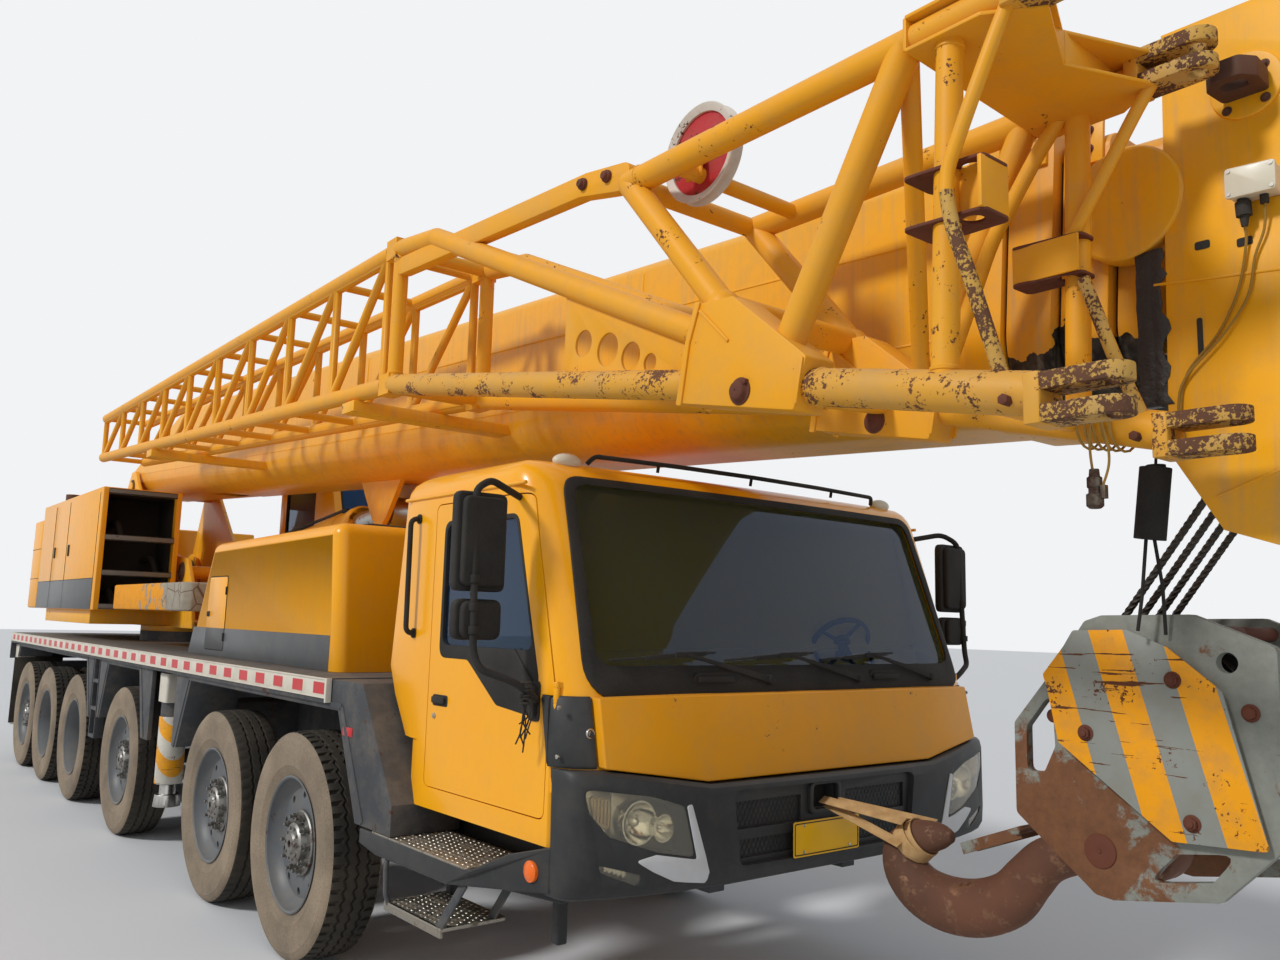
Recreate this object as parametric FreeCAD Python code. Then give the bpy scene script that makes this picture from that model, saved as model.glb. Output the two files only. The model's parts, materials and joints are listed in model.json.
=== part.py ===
import FreeCAD, Part
import math
import os

from FreeCAD import Vector

# A six-axle telescopic mobile crane, parked for the road: boom laid down over the cab,
# lattice jib folded along its right side, hook block strapped back to the bumper.
# Millimetres. +X is forwards, +Y is the crane's left, +Z is up from the ground.
# Places along the crane are measured from the first axle.
AXLE_1_AHEAD = 2400            # the first axle, ahead of the middle of the whole crane

# Wheels and axles
TYRE_R = 613
TYRE_W = 315
RIM_R = 362
TYRE_OUTER_Y = 1470            # outer sidewall of every outermost tyre
TWIN_PITCH = 350               # between the middles of twin tyres
KINGPIN_Y = 1020
KINGPIN_R = 36
SPINDLE_R = 60
FIT = 0.3                      # clearance of a seated or turning fit
AXLES = (                      # number, place, kind, differential
    (1, 0, "steered", False),
    (2, -1430, "steered", False),
    (3, -3950, "steered", False),
    (4, -5900, "twin", True),
    (5, -7360, "twin", True),
    (6, -8670, "steered", True),
)

# Carrier frame
RAIL_Y = 400                   # inner face of each frame rail
RAIL_T = 90
RAIL_TOP = 1250
RAIL_BOTTOM = 760
FRAME_FRONT = 2400
FRAME_REAR = -9790
DECK_TOP = 1550
DECK_T = 45
DECK_Y = 1500
DECK_FRONT = 510

# Outriggers
BEAM_W = 180
BEAM_H = 240
BEAM_Z = 1040                  # middle height of the sliding beams
BOX_WALL = 20
BOX_Y = 1230
OUTRIGGERS = (                 # name, beam place, side
    ("front_left", -2575, 1),
    ("front_right", -2825, -1),
    ("rear_left", -9480, 1),
    ("rear_right", -9695, -1),
)
JACK_Y = 1340
JACK_R = 95
JACK_ROD_R = 60
JACK_TOP = 1400
JACK_BOTTOM = 560
PAD_R = 190
PAD_Z = 430

# Driving cab
CAB_Y = 1360
CAB_WALL = 60
DOOR_GAP = 6
CAB_SIDE = (                   # x, z round the side outline
    (1310, 1010), (880, 1600), (1000, 2600), (2130, 2600), (2220, 2530),
    (2530, 1640), (2600, 1310), (2440, 1310), (2440, 1010),
)
DOOR_SIDE = ((1370, 1110), (2370, 1110), (2372, 1380), (2400, 1600), (2160, 2420), (1370, 2420))
DOOR_HINGE = (2412, 1345)      # x, y of the standing hinge line
DOOR_HINGE_Z = (1240, 1560)
HINGE_R = 14
HINGE_H = 60
DOOR_WINDOW = (
    (1455, 1700), (1720, 1700), (1980, 1520), (2310, 1490), (2300, 1660), (2095, 2340), (1455, 2340),
)

# Bonnet over the carrier's engine
HOOD_Y = 1250
HOOD_WALL = 40
HOOD_R = 80
HOOD_SIDE = ((-2920, 1550), (-2470, 2410), (-90, 2440), (20, 1550))

# Superstructure
SLEW_X = -6650
RING_R = 700
RING_TOP = 1700
WEB_Y = 470                    # inner face of each turntable web
WEB_T = 40
HOUSE_BOTTOM = 1870
TAIL_X = -10100
TAIL_Y = 1350
HOUSE_FRONT = -6000
HOUSE_TOP = 3150

# Boom: along and across are measured from the foot pin, square to the boom
FOOT = Vector(-8550, 0, 3420)
BOOM_SLOPE = 3                 # degrees down towards the head
FOOT_PIN_R = 90
SECTION_STEP = 45              # each section is this much smaller all round
SECTION_T = 20
SECTION_Y = 450                # half width of the base section
SECTION_TOP = 885
SECTION_BOTTOM = -110
BELLY_R = 300
TOP_R = 60
BASE_FRONT = 12420
BASE_REAR = -300
NEST_REAR = 2250
COLLAR_STEP = 180
COLLAR_L = 150
COLLAR_OUT = 30

# Luffing cylinder
CYLINDER_FOOT = Vector(-6000, 0, 2300)
CYLINDER_EYE = Vector(-1900, 0, 2720)
BARREL_R = 155
ROD_R = 105
BARREL_L = 3500
EYE_W = 180
EYE_PIN_R = 60
EAR_Y = 120
EAR_T = 40


def box(x0, x1, y0, y1, z0, z1):
    return Part.makeBox(x1 - x0, y1 - y0, z1 - z0, Vector(x0, y0, z0))


def rod(start, end, radius):
    along = end - start
    return Part.makeCylinder(radius, along.Length, start, along)


def face_of(points):
    return Part.Face(Part.makePolygon(list(points) + [points[0]]))


def plate_xz(points, y0, y1):
    """A side outline of x, z points, from y0 to y1."""
    return face_of([Vector(x, y0, z) for x, z in points]).extrude(Vector(0, y1 - y0, 0))


def plate_xy(points, z0, z1):
    return face_of([Vector(x, y, z0) for x, y in points]).extrude(Vector(0, 0, z1 - z0))


def plate_yz(points, x0, x1):
    return face_of([Vector(x0, y, z) for y, z in points]).extrude(Vector(x1 - x0, 0, 0))


def fuse(shapes):
    return shapes[0].multiFuse(shapes[1:]).removeSplitter() if len(shapes) > 1 else shapes[0]


def mirrored(shape):
    return shape.mirror(Vector(0, 0, 0), Vector(0, 1, 0))


def on_side(shape, side):
    """A shape drawn on the left, on the left (1) or the right (-1)."""
    return shape if side > 0 else mirrored(shape)


def both_sides(shape):
    return [shape, mirrored(shape)]


def save(node, shapes):
    shapes = shapes if isinstance(shapes, list) else [shapes]
    solids = [solid for shape in shapes for solid in shape.Solids]
    shape = solids[0] if len(solids) == 1 else Part.makeCompound(solids)
    shape.translate(Vector(AXLE_1_AHEAD, 0, 0))
    shape.exportStep("parts/" + node + ".step")
    print(node, len(solids), round(shape.Volume / 1e9, 4))


# Wheels, drawn about the axle line on the left and then turned to their side

def revolved(profile, x, z):
    """A ring from y, radius points, turned about the line through x, z along Y."""
    face = face_of([Vector(x, y, z + r) for y, r in profile])
    return face.revolve(Vector(x, 0, z), Vector(0, 1, 0), 360)


def tyre(x, middle):
    half = TYRE_W / 2
    shoulder = 38
    bead = half - 30
    profile = (
        (middle - bead, RIM_R + FIT), (middle - half, RIM_R + 110), (middle - half, TYRE_R - 90),
        (middle - half + shoulder, TYRE_R), (middle + half - shoulder, TYRE_R),
        (middle + half, TYRE_R - 90), (middle + half, RIM_R + 110), (middle + bead, RIM_R + FIT),
    )
    return revolved(profile, x, TYRE_R)


def rim(x, middle, disc_out):
    """A rim with its disc's outer face disc_out beyond the tyre's middle."""
    half = TYRE_W / 2 - 30
    face = middle + disc_out
    profile = (
        (middle - half, RIM_R), (middle + half, RIM_R), (middle + half, RIM_R - 30),
        (face, RIM_R - 62), (face, SPINDLE_R + FIT), (face - 120, SPINDLE_R + FIT),
        (face - 120, 150), (face - 20, 170), (face - 20, RIM_R - 82), (middle - half, RIM_R - 34),
    )
    return revolved(profile, x, TYRE_R)


def hub_cap(x, face):
    return Part.makeCylinder(105, 70, Vector(x, face, TYRE_R), Vector(0, 1, 0))


def steered_wheel(x):
    middle = TYRE_OUTER_Y - TYRE_W / 2
    disc = fuse([rim(x, middle, 60), hub_cap(x, middle + 60)])
    return [tyre(x, middle), disc]


def twin_wheel(x):
    outer = TYRE_OUTER_Y - TYRE_W / 2
    inner = outer - TWIN_PITCH
    rims = fuse([
        rim(x, outer, -60),
        rim(x, inner, 60).cut(Part.makeCylinder(170, 400, Vector(x, inner - 60, TYRE_R), Vector(0, 1, 0))),
        revolved(((inner + 40, 170), (outer - 60, 170), (outer - 60, 230), (inner + 40, 230)), x, TYRE_R),
        hub_cap(x, outer - 60),
    ])
    return [tyre(x, outer), tyre(x, inner), rims]


# Knuckles: a fork round the axle's eye, with its kingpin and spindle

EYE_HALF = 85
EYE_R = 75
FORK_T = 45


def knuckle(x):
    pin = Vector(x, KINGPIN_Y, TYRE_R)
    arm_z = EYE_HALF + 2
    arms = [
        box(x - 65, x + 65, KINGPIN_Y - 60, KINGPIN_Y + 130, TYRE_R + z, TYRE_R + z + FORK_T)
        for z in (arm_z, -arm_z - FORK_T)
    ]
    web = box(x - 65, x + 65, KINGPIN_Y + 84, KINGPIN_Y + 130, TYRE_R - arm_z - FORK_T, TYRE_R + arm_z + FORK_T)
    kingpin = Part.makeCylinder(
        KINGPIN_R - FIT, 2 * (arm_z + FORK_T) + 20, pin - Vector(0, 0, arm_z + FORK_T + 10))
    spindle_end = TYRE_OUTER_Y - TYRE_W / 2 + 55
    spindle = Part.makeCylinder(
        SPINDLE_R, spindle_end - KINGPIN_Y - 100, Vector(x, KINGPIN_Y + 100, TYRE_R), Vector(0, 1, 0))
    return fuse(arms + [web, kingpin, spindle])


# Axle beams with their leaf springs

SPRING_Y = RAIL_Y + RAIL_T / 2
SPRING_W = 80


def leaf_spring(x):
    """A flat-arched spring between the axle and two hangers under the rail."""
    reach = 520
    sag = 50
    top = RAIL_BOTTOM - FIT
    leaves = [
        (x - reach, top), (x + reach, top), (x + reach, top - 30),
        (x + 160, top - 30 - sag), (x - 160, top - 30 - sag), (x - reach, top - 30),
    ]
    return plate_xz(leaves, SPRING_Y - SPRING_W / 2, SPRING_Y + SPRING_W / 2)


def axle_beam(x, kind, driven):
    line = Vector(x, 0, TYRE_R)
    reach = KINGPIN_Y if kind == "steered" else TYRE_OUTER_Y - TYRE_W / 2 - 70
    pieces = []
    for side in (1, -1):
        end = Vector(x, side * reach, TYRE_R)
        if kind == "steered":
            inner = Vector(x, side * (reach - EYE_R + 10), TYRE_R)
            pieces += [rod(line, inner, 62)]
            pieces += [Part.makeCylinder(EYE_R, 2 * EYE_HALF, end - Vector(0, 0, EYE_HALF))]
        else:
            pieces += [rod(line, Vector(x, side * 860, TYRE_R), 80)]
            pieces += [rod(line, end, SPINDLE_R)]
        pieces += [on_side(leaf_spring(x), side)]
        pieces += [on_side(box(x - 90, x + 90, SPRING_Y - 50, SPRING_Y + 50, TYRE_R, RAIL_BOTTOM - 70), side)]
    if driven:
        pieces += [rod(line - Vector(110, 0, 0), line + Vector(110, 0, 0), 215)]
    whole = fuse(pieces)
    if kind == "steered":
        bores = [
            Part.makeCylinder(KINGPIN_R, 4 * EYE_HALF, Vector(x, side * KINGPIN_Y, TYRE_R - 2 * EYE_HALF))
            for side in (1, -1)
        ]
        whole = whole.cut(bores)
    return whole


# Carrier frame: two rails, cross members, outrigger boxes and the slewing seat

RAIL_SIDE = (
    (FRAME_FRONT, 720), (FRAME_FRONT, 950), (760, 950), (420, RAIL_TOP), (FRAME_REAR, RAIL_TOP),
    (FRAME_REAR, 860), (-9300, RAIL_BOTTOM), (560, RAIL_BOTTOM), (760, 720),
)
CROSS_MEMBERS = (              # place, bottom, top
    (2300, 730, 940), (900, 730, 940), (-700, 900, 1240), (-3400, 800, 1240), (-4800, 800, 1240),
    (-5150, 800, 1240), (-6650, 800, 1240), (-8050, 800, 1240),
)


def outrigger_chamber(place):
    """The beam's way through its box: it rests on the floor, clear at the sides and above."""
    half_w = BEAM_W / 2 + 6
    floor = BEAM_Z - BEAM_H / 2 - FIT
    return box(place - half_w, place + half_w, -BOX_Y - 10, BOX_Y + 10, floor, BEAM_Z + BEAM_H / 2 + 6)


def outrigger_box(places):
    half_w = BEAM_W / 2 + 6 + BOX_WALL
    half_h = BEAM_H / 2 + 6 + BOX_WALL
    return box(min(places) - half_w, max(places) + half_w, -BOX_Y, BOX_Y, BEAM_Z - half_h, BEAM_Z + half_h)


def carrier_frame():
    rail = plate_xz(RAIL_SIDE, RAIL_Y, RAIL_Y + RAIL_T)
    crosses = [
        box(place - 60, place + 60, -RAIL_Y - 10, RAIL_Y + 10, bottom, top)
        for place, bottom, top in CROSS_MEMBERS
    ]
    front = [place for name, place, side in OUTRIGGERS if name.startswith("front")]
    rear = [place for name, place, side in OUTRIGGERS if name.startswith("rear")]
    seat = box(SLEW_X - 760, SLEW_X + 760, -RAIL_Y - RAIL_T - 210, RAIL_Y + RAIL_T + 210, RAIL_TOP - 250, RAIL_TOP + 200)
    ring = Part.makeCylinder(RING_R, RING_TOP - 45 - RAIL_TOP - 190, Vector(SLEW_X, 0, RAIL_TOP + 190))
    beams = [
        box(place - 60, place + 60, -ARCH_Y + 20, ARCH_Y - 20, RAIL_TOP - 20, DECK_TOP - DECK_T)
        for place in (-3450, -4700, -5200)
    ]
    beams += [
        on_side(box(place - 70, place + 70, RAIL_Y, RAIL_Y + RAIL_T, 940, CAB_SIDE[0][1] - FIT), side)
        for place in (1500, 2250) for side in (1, -1)
    ]
    whole = fuse(both_sides(rail) + crosses + [outrigger_box(front), outrigger_box(rear), seat, ring] + beams)
    return whole.cut([outrigger_chamber(place) for name, place, side in OUTRIGGERS])


# Deck with its side boards and ladders, and the pressed arches with their skirts over the wheels

ARCHES = (                     # skirt's front foot and head, front foot, shoulder, rear shoulder, foot, skirt, its foot z
    (940, 700, 930, 640, -2010, -2260, -2340, 900),
    (-3010, -3010, -3180, -3390, -4510, -4720, -4800, 900),
    (-5090, -5090, -5160, -5370, -9210, -9290, -9330, 1260),
)
ARCH_TOP = 1420
ARCH_T = 30
ARCH_Y = 1110
ARCH_FOOT_Z = 870
BOARD_T = 25
SKIRT_Y = DECK_Y - BOARD_T - FIT
END_PANEL = ((515, 1545), (893, 1545), (1285, 1010), (1285, 870), (930, 870), (640, 1420), (515, 1420))
LADDER_X = (-5060, -4830)
RUNG_Z = (700, 950, 1200)


def arch(skirt_foot, skirt_head, foot, shoulder, rear_shoulder, rear_foot, rear_skirt, rear_z):
    band = [
        (foot, ARCH_FOOT_Z), (shoulder, ARCH_TOP), (rear_shoulder, ARCH_TOP), (rear_foot, rear_z),
        (rear_foot + ARCH_T, rear_z), (rear_shoulder + ARCH_T, ARCH_TOP - ARCH_T),
        (shoulder - ARCH_T, ARCH_TOP - ARCH_T), (foot - 1.2 * ARCH_T, ARCH_FOOT_Z),
    ]
    head = DECK_TOP - DECK_T - FIT
    skirt = [
        (foot, ARCH_FOOT_Z), (skirt_foot, ARCH_FOOT_Z), (skirt_head, head), (rear_skirt, head),
        (rear_skirt, rear_z), (rear_foot, rear_z), (rear_shoulder, ARCH_TOP), (shoulder, ARCH_TOP),
    ]
    return fuse([plate_xz(band, ARCH_Y, SKIRT_Y), plate_xz(skirt, SKIRT_Y - ARCH_T, SKIRT_Y)])


def arches():
    """Three a side; the first ends in a closed panel behind the cab's steps."""
    shapes = [arch(*row) for row in ARCHES]
    shapes[0] = fuse([shapes[0], plate_xz(END_PANEL, ARCH_Y, SKIRT_Y)])
    return [shape for piece in shapes for shape in both_sides(piece)]


def ladder():
    rear, front = LADDER_X
    rails = [box(x, x + 20, SKIRT_Y - 75, SKIRT_Y, RUNG_Z[0], DECK_TOP - DECK_T + 5) for x in (rear, front - 20)]
    rungs = [box(rear, front, SKIRT_Y - 75, SKIRT_Y, z, z + 30) for z in RUNG_Z]
    return fuse(rails + rungs)


def deck():
    plate = box(FRAME_REAR, DECK_FRONT, -DECK_Y, DECK_Y, DECK_TOP - DECK_T, DECK_TOP)
    hole = box(HOOD_SIDE[0][0] + 260, HOOD_SIDE[3][0] - 120, -HOOD_Y + 120, HOOD_Y - 120, DECK_TOP - 100, DECK_TOP + 10)
    ring_hole = Part.makeCylinder(RING_R + 60, 300, Vector(SLEW_X, 0, DECK_TOP - 150))
    board = box(FRAME_REAR, DECK_FRONT, DECK_Y - BOARD_T, DECK_Y, ARCH_TOP, DECK_TOP - 5)
    rear_wall = box(FRAME_REAR - 25, FRAME_REAR, -DECK_Y, DECK_Y, 1220, DECK_TOP)
    floor = fuse([plate.cut([hole, ring_hole]), rear_wall] + both_sides(board) + both_sides(ladder()))
    return [floor] + arches()


# Outrigger beams with their jack housings, and the jacks

def outrigger_beam(place, side):
    half = BEAM_W / 2
    beam = box(place - half, place + half, -BOX_Y + 30, JACK_Y, BEAM_Z - BEAM_H / 2, BEAM_Z + BEAM_H / 2)
    housing = Part.makeCylinder(JACK_R, JACK_TOP - JACK_BOTTOM, Vector(place, JACK_Y, JACK_BOTTOM))
    bore = Part.makeCylinder(JACK_ROD_R + FIT, JACK_TOP - JACK_BOTTOM - 30, Vector(place, JACK_Y, JACK_BOTTOM))
    return on_side(fuse([beam, housing]).cut(bore), side)


def jack(place, side):
    stem = Part.makeCylinder(JACK_ROD_R, JACK_TOP - 60 - PAD_Z, Vector(place, JACK_Y, PAD_Z))
    pad_r = min(PAD_R, BEAM_W / 2 + 10)
    pad = Part.makeCone(pad_r, 90, 90, Vector(place, JACK_Y, PAD_Z - 40))
    return on_side(fuse([stem, pad]), side)


# Driving cab: one hollow shell, cut where the doors and windows sit

def inset_face(points, inset, place):
    wire = Part.makePolygon([place(a, b) for a, b in points] + [place(*points[0])])
    if inset:
        wire = wire.makeOffset2D(-inset, 2)
    return Part.Face(wire)


def cab_volume(inset):
    side = inset_face(CAB_SIDE, inset, lambda x, z: Vector(x, 0, z)).extrude(Vector(0, 4000, 0))
    side.translate(Vector(0, -2000, 0))
    plan = ((800, -CAB_Y), (2330, -CAB_Y), (2700, -CAB_Y + 190), (2700, CAB_Y - 190), (2330, CAB_Y), (800, CAB_Y))
    plan_body = inset_face(plan, inset, lambda x, y: Vector(x, y, 0)).extrude(Vector(0, 0, 4000))
    front = (
        (-CAB_Y, 900), (-CAB_Y, 2480), (-CAB_Y + 40, 2560), (-CAB_Y + 190, 2600),
        (CAB_Y - 190, 2600), (CAB_Y - 40, 2560), (CAB_Y, 2480), (CAB_Y, 900),
    )
    front_body = inset_face(front, inset, lambda y, z: Vector(0, y, z)).extrude(Vector(4000, 0, 0))
    return side.common(plan_body).common(front_body)


def grown(points, gap):
    wire = Part.makePolygon([Vector(x, 0, z) for x, z in points] + [Vector(points[0][0], 0, points[0][1])])
    return Part.Face(wire.makeOffset2D(gap, 2)) if gap else Part.Face(wire)


def door_prism(points, gap):
    """The outline as a block that reaches through the left wall only."""
    block = grown(points, gap).extrude(Vector(0, 600, 0))
    block.translate(Vector(0, CAB_Y - 300, 0))
    return block


WINDSCREEN_Y = 1180


def windscreen_block(gap):
    """A block along the windscreen, wider by gap than the glass."""
    bottom_x, bottom_z = 2530, 1700
    top_x, top_z = 2235, 2470
    slope = Vector(top_x - bottom_x, 0, top_z - bottom_z)
    reach = slope.Length
    slope.normalize()
    start = Vector(bottom_x, 0, bottom_z) - slope * gap
    end = Vector(bottom_x, 0, bottom_z) + slope * (reach + gap)
    out = Vector(slope.z, 0, -slope.x) * 200
    corners = [start - out, end - out, end + out, start + out]
    face = face_of([point - Vector(0, WINDSCREEN_Y + gap, 0) for point in corners])
    return face.extrude(Vector(0, 2 * (WINDSCREEN_Y + gap), 0))


def rear_window_block(gap):
    return box(700, 1180, -900 - gap, 900 + gap, 1800 - gap, 2380 + gap)


def cab_parts():
    shell = cab_volume(0).cut(cab_volume(CAB_WALL))
    glass_layer = cab_volume(18).cut(cab_volume(30))
    door_blocks = both_sides(door_prism(DOOR_SIDE, DOOR_GAP))
    body = shell.cut(door_blocks + [windscreen_block(0), rear_window_block(0)])
    door = shell.common(door_prism(DOOR_SIDE, 0)).cut(door_prism(DOOR_WINDOW, 0))
    glass = [
        glass_layer.common(windscreen_block(-FIT)),
        glass_layer.common(rear_window_block(-FIT)),
    ]
    door_glass = glass_layer.common(door_prism(DOOR_WINDOW, -FIT))
    lugs, pins = door_hinges()
    return fuse([body] + lugs + mirrored_all(lugs)), fuse([door, mirror_arm()] + pins), glass, door_glass


def door_hinges():
    """Hinge lugs on the front pillar, and the barrels between them on the door."""
    x, y = DOOR_HINGE
    lugs, pins = [], []
    for z in DOOR_HINGE_Z:
        pins += [Part.makeCylinder(HINGE_R, HINGE_H, Vector(x, y, z))]
        pins += [box(x - 60, x, y - 9, y - 1, z, z + HINGE_H)]
        for low in (z - 22 - FIT, z + HINGE_H + FIT):
            lugs += [Part.makeCylinder(HINGE_R, 22, Vector(x, y, low)), box(x - 8, x + 12, y - 60, y, low, low + 22)]
    return lugs, pins


def mirror_arm():
    """A bent tube on the door that carries the two mirrors."""
    points = (
        (2250, CAB_Y - 10, 1560), (2330, CAB_Y + 190, 1600), (2290, CAB_Y + 250, 1700),
        (2250, CAB_Y + 250, 2390), (2180, CAB_Y + 150, 2440), (2090, CAB_Y - 20, 2390),
    )
    corners = [Vector(*point) for point in points]
    tubes = [rod(start, end, 16) for start, end in zip(corners, corners[1:])]
    balls = [Part.makeSphere(16, point) for point in corners[1:-1]]
    large = box(2200, 2270, CAB_Y + 150, CAB_Y + 380, 1960, 2360)
    small = box(2210, 2280, CAB_Y + 150, CAB_Y + 370, 1680, 1900)
    return fuse(tubes + balls + [large, small])


def mirrored_all(shapes):
    return [mirrored(shape) for shape in shapes]


def cab_interior():
    floor = CAB_SIDE[0][1] + CAB_WALL + FIT
    ledge = 1310 + CAB_WALL + FIT
    dash = box(2100, 2430, -1150, 1150, ledge, 1600)
    dash_leg = box(2250, 2370, -1100, 1100, floor, ledge + 10)
    column = rod(Vector(2200, 600, 1500), Vector(2000, 600, 1720), 35)
    wheel = Part.makeTorus(210, 16, Vector(1990, 600, 1731), Vector(-220, 0, 220))
    spokes = rod(Vector(1990, 390, 1731), Vector(1990, 810, 1731), 14)
    seats = []
    for y in (600, -600):
        seats += [fuse([
            box(1330, 1830, y - 240, y + 240, 1330, 1480),
            box(1250, 1390, y - 230, y + 230, 1400, 2120),
            box(1420, 1740, y - 180, y + 180, floor, 1340),
        ])]
    return [fuse([dash, dash_leg, column, wheel, spokes])] + seats


# Bumper with its lamps, grille and steps

BUMPER_PLAN = ((2575, 1370), (2580, 1369), (2640, 1180), (2700, 900), (2720, 0))
BUMPER_BOTTOM = 830
BUMPER_TOP = 1300
BUMPER_DEPTH = 130
STEP_TOP = 860
LAMP_X = (2570, 2660)
LAMP_Y = (820, 1200)
LAMP_Z = (960, 1200)


def bumper():
    outer = list(BUMPER_PLAN) + [(x, -y) for x, y in reversed(BUMPER_PLAN[:-1])]
    inner = [(x - BUMPER_DEPTH, y * 0.93) for x, y in outer]
    wrap = plate_xy(outer + list(reversed(inner)), BUMPER_BOTTOM, BUMPER_TOP)
    lamp_pocket = box(LAMP_X[0] - FIT, LAMP_X[1] + 100, LAMP_Y[0], LAMP_Y[1], *LAMP_Z)
    grille_gap = box(2560, 2800, -560, 560, 900, 1130)
    bars = [box(2650, 2690, -570, 570, z, z + 22) for z in (945, 1000, 1055)]
    mount = box(FRAME_FRONT + FIT, 2630, RAIL_Y, RAIL_Y + RAIL_T, 835, 895)
    wrap = wrap.cut(both_sides(lamp_pocket) + [grille_gap])
    return fuse([wrap] + bars + both_sides(mount))


def steps():
    tread = box(970, 2420, 1060, 1480, STEP_TOP - 40, STEP_TOP)
    link = box(2380, 2520, 1060, 1330, STEP_TOP - 40, STEP_TOP)
    riser = box(970, 2340, 1040, 1080, STEP_TOP - 40, 1004)
    arms = [box(x, x + 50, 1100, 1160, 560, STEP_TOP - 30) for x in (1250, 2150)]
    lower = box(1200, 2250, 1100, 1440, 540, 570)
    hanger = box(1500, 1700, RAIL_Y + RAIL_T + FIT, 1060, STEP_TOP - 60, STEP_TOP - 20)
    return fuse([tread, link, riser, lower, hanger] + arms)


def lamps():
    low_y, high_y = LAMP_Y
    low_z, high_z = LAMP_Z
    head = box(LAMP_X[0], LAMP_X[1], low_y + FIT, high_y - FIT, low_z + FIT, high_z - FIT)
    marker = box(2260, 2330, 1480 + FIT, 1496, STEP_TOP - 38, STEP_TOP - 4)
    return both_sides(head) + both_sides(marker)


# Bonnet and engine

def hood():
    outer = plate_xz(HOOD_SIDE, -HOOD_Y, HOOD_Y)
    outer = outer.makeFillet(HOOD_R, [edge for edge in outer.Edges if edge.BoundBox.ZMax > HOOD_SIDE[0][1] + 1])
    wall = HOOD_WALL
    inner_side = (
        (HOOD_SIDE[0][0] + 1.2 * wall, HOOD_SIDE[0][1] - 1), (HOOD_SIDE[1][0] + wall, HOOD_SIDE[1][1] - wall),
        (HOOD_SIDE[2][0] - wall, HOOD_SIDE[2][1] - wall), (HOOD_SIDE[3][0] - 1.2 * wall, HOOD_SIDE[3][1] - 1),
    )
    inner = plate_xz(inner_side, -HOOD_Y + wall, HOOD_Y - wall)
    return outer.cut(inner)


def engine():
    block = box(-2100, -780, -RAIL_Y + 20, RAIL_Y - 20, 900, 2150)
    feet = [
        box(place - 60, place + 60, -RAIL_Y + FIT, RAIL_Y - FIT, 980, 1060) for place in (-1900, -950)
    ]
    return fuse([block] + feet)


# Turntable with the webs that carry the boom and the cylinder

WEB_SIDE = (
    (-9300, 1760), (-9150, 2700), (-8790, 3480), (-8640, 3640), (-8460, 3640), (-8310, 3480),
    (-7500, 2760), (-6200, 2480), (-5840, 2440), (-5640, 2200), (-5500, 1760),
)
SLAB_FRONT = -3080
SLAB_REAR = -5500
SLAB_Z = (1880, 2120)
SLAB_Y = 1270


def turntable():
    ring = Part.makeCylinder(RING_R, 60, Vector(SLEW_X, 0, RING_TOP - 45 + FIT))
    base = box(-9300, -5400, -WEB_Y - WEB_T, WEB_Y + WEB_T, RING_TOP, 1770)
    web = plate_xz(WEB_SIDE, WEB_Y, WEB_Y + WEB_T)
    arms = box(-5500, SLAB_FRONT + 200, 300, 440, RING_TOP + 20, SLAB_Z[0] - FIT)
    house_arm = box(-8900, -6400, WEB_Y, TAIL_Y - 60, RING_TOP + 20, HOUSE_BOTTOM - FIT)
    tail = box(-9500, -9200, -TAIL_Y + 200, TAIL_Y - 200, RING_TOP + 20, HOUSE_BOTTOM - FIT)
    cab_arm = box(-6300, -5700, WEB_Y, 1300, 2040, 2140 - FIT)
    foot_pin = rod(FOOT - Vector(0, WEB_Y + WEB_T + 30, 0), FOOT + Vector(0, WEB_Y + WEB_T + 30, 0), FOOT_PIN_R)
    eye_pin = rod(CYLINDER_FOOT - Vector(0, WEB_Y + 10, 0), CYLINDER_FOOT + Vector(0, WEB_Y + 10, 0), 70)
    return fuse([ring, base] + both_sides(web) + both_sides(arms) + both_sides(house_arm)
                + [tail, cab_arm, foot_pin, eye_pin])


def engine_house():
    y_in = -WEB_Y - WEB_T - 60
    outer = box(-9290, HOUSE_FRONT, -TAIL_Y, y_in, HOUSE_BOTTOM, HOUSE_TOP)
    inner = box(-6700, HOUSE_FRONT + 10, -TAIL_Y + 50, y_in - 50, HOUSE_BOTTOM + 60, HOUSE_TOP - 60)
    bars = [
        box(HOUSE_FRONT - 60, HOUSE_FRONT - 10, -TAIL_Y + 40, y_in - 40, z, z + 50)
        for z in (2230, 2600)
    ]
    stack = Part.makeCylinder(80, 180, Vector(-9000, -1100, HOUSE_TOP - 10))
    return fuse([outer.cut(inner), stack] + bars)


def counterweight():
    points = (
        (TAIL_X, -1150), (TAIL_X, 1150), (TAIL_X + 200, TAIL_Y), (-9320, TAIL_Y),
        (-9320, -TAIL_Y), (TAIL_X + 200, -TAIL_Y),
    )
    return plate_xy(points, HOUSE_BOTTOM, 3000)


def slab():
    points = (
        (SLAB_FRONT - 60, -SLAB_Y), (SLAB_FRONT, -SLAB_Y + 60), (SLAB_FRONT, SLAB_Y - 60),
        (SLAB_FRONT - 60, SLAB_Y), (SLAB_REAR, SLAB_Y), (SLAB_REAR, -SLAB_Y),
    )
    return plate_xy(points, *SLAB_Z)


def winch():
    """Drum and flanges between the webs, behind the boom foot."""
    drum = rod(Vector(-8950, -WEB_Y + FIT, 2350), Vector(-8950, WEB_Y - FIT, 2350), 190)
    flanges = [
        Part.makeCylinder(290, 30, Vector(-8950, y, 2350), Vector(0, 1, 0)) for y in (-420, 390)
    ]
    return fuse([drum] + flanges)


# Operator's cab on the left of the turntable

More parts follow.
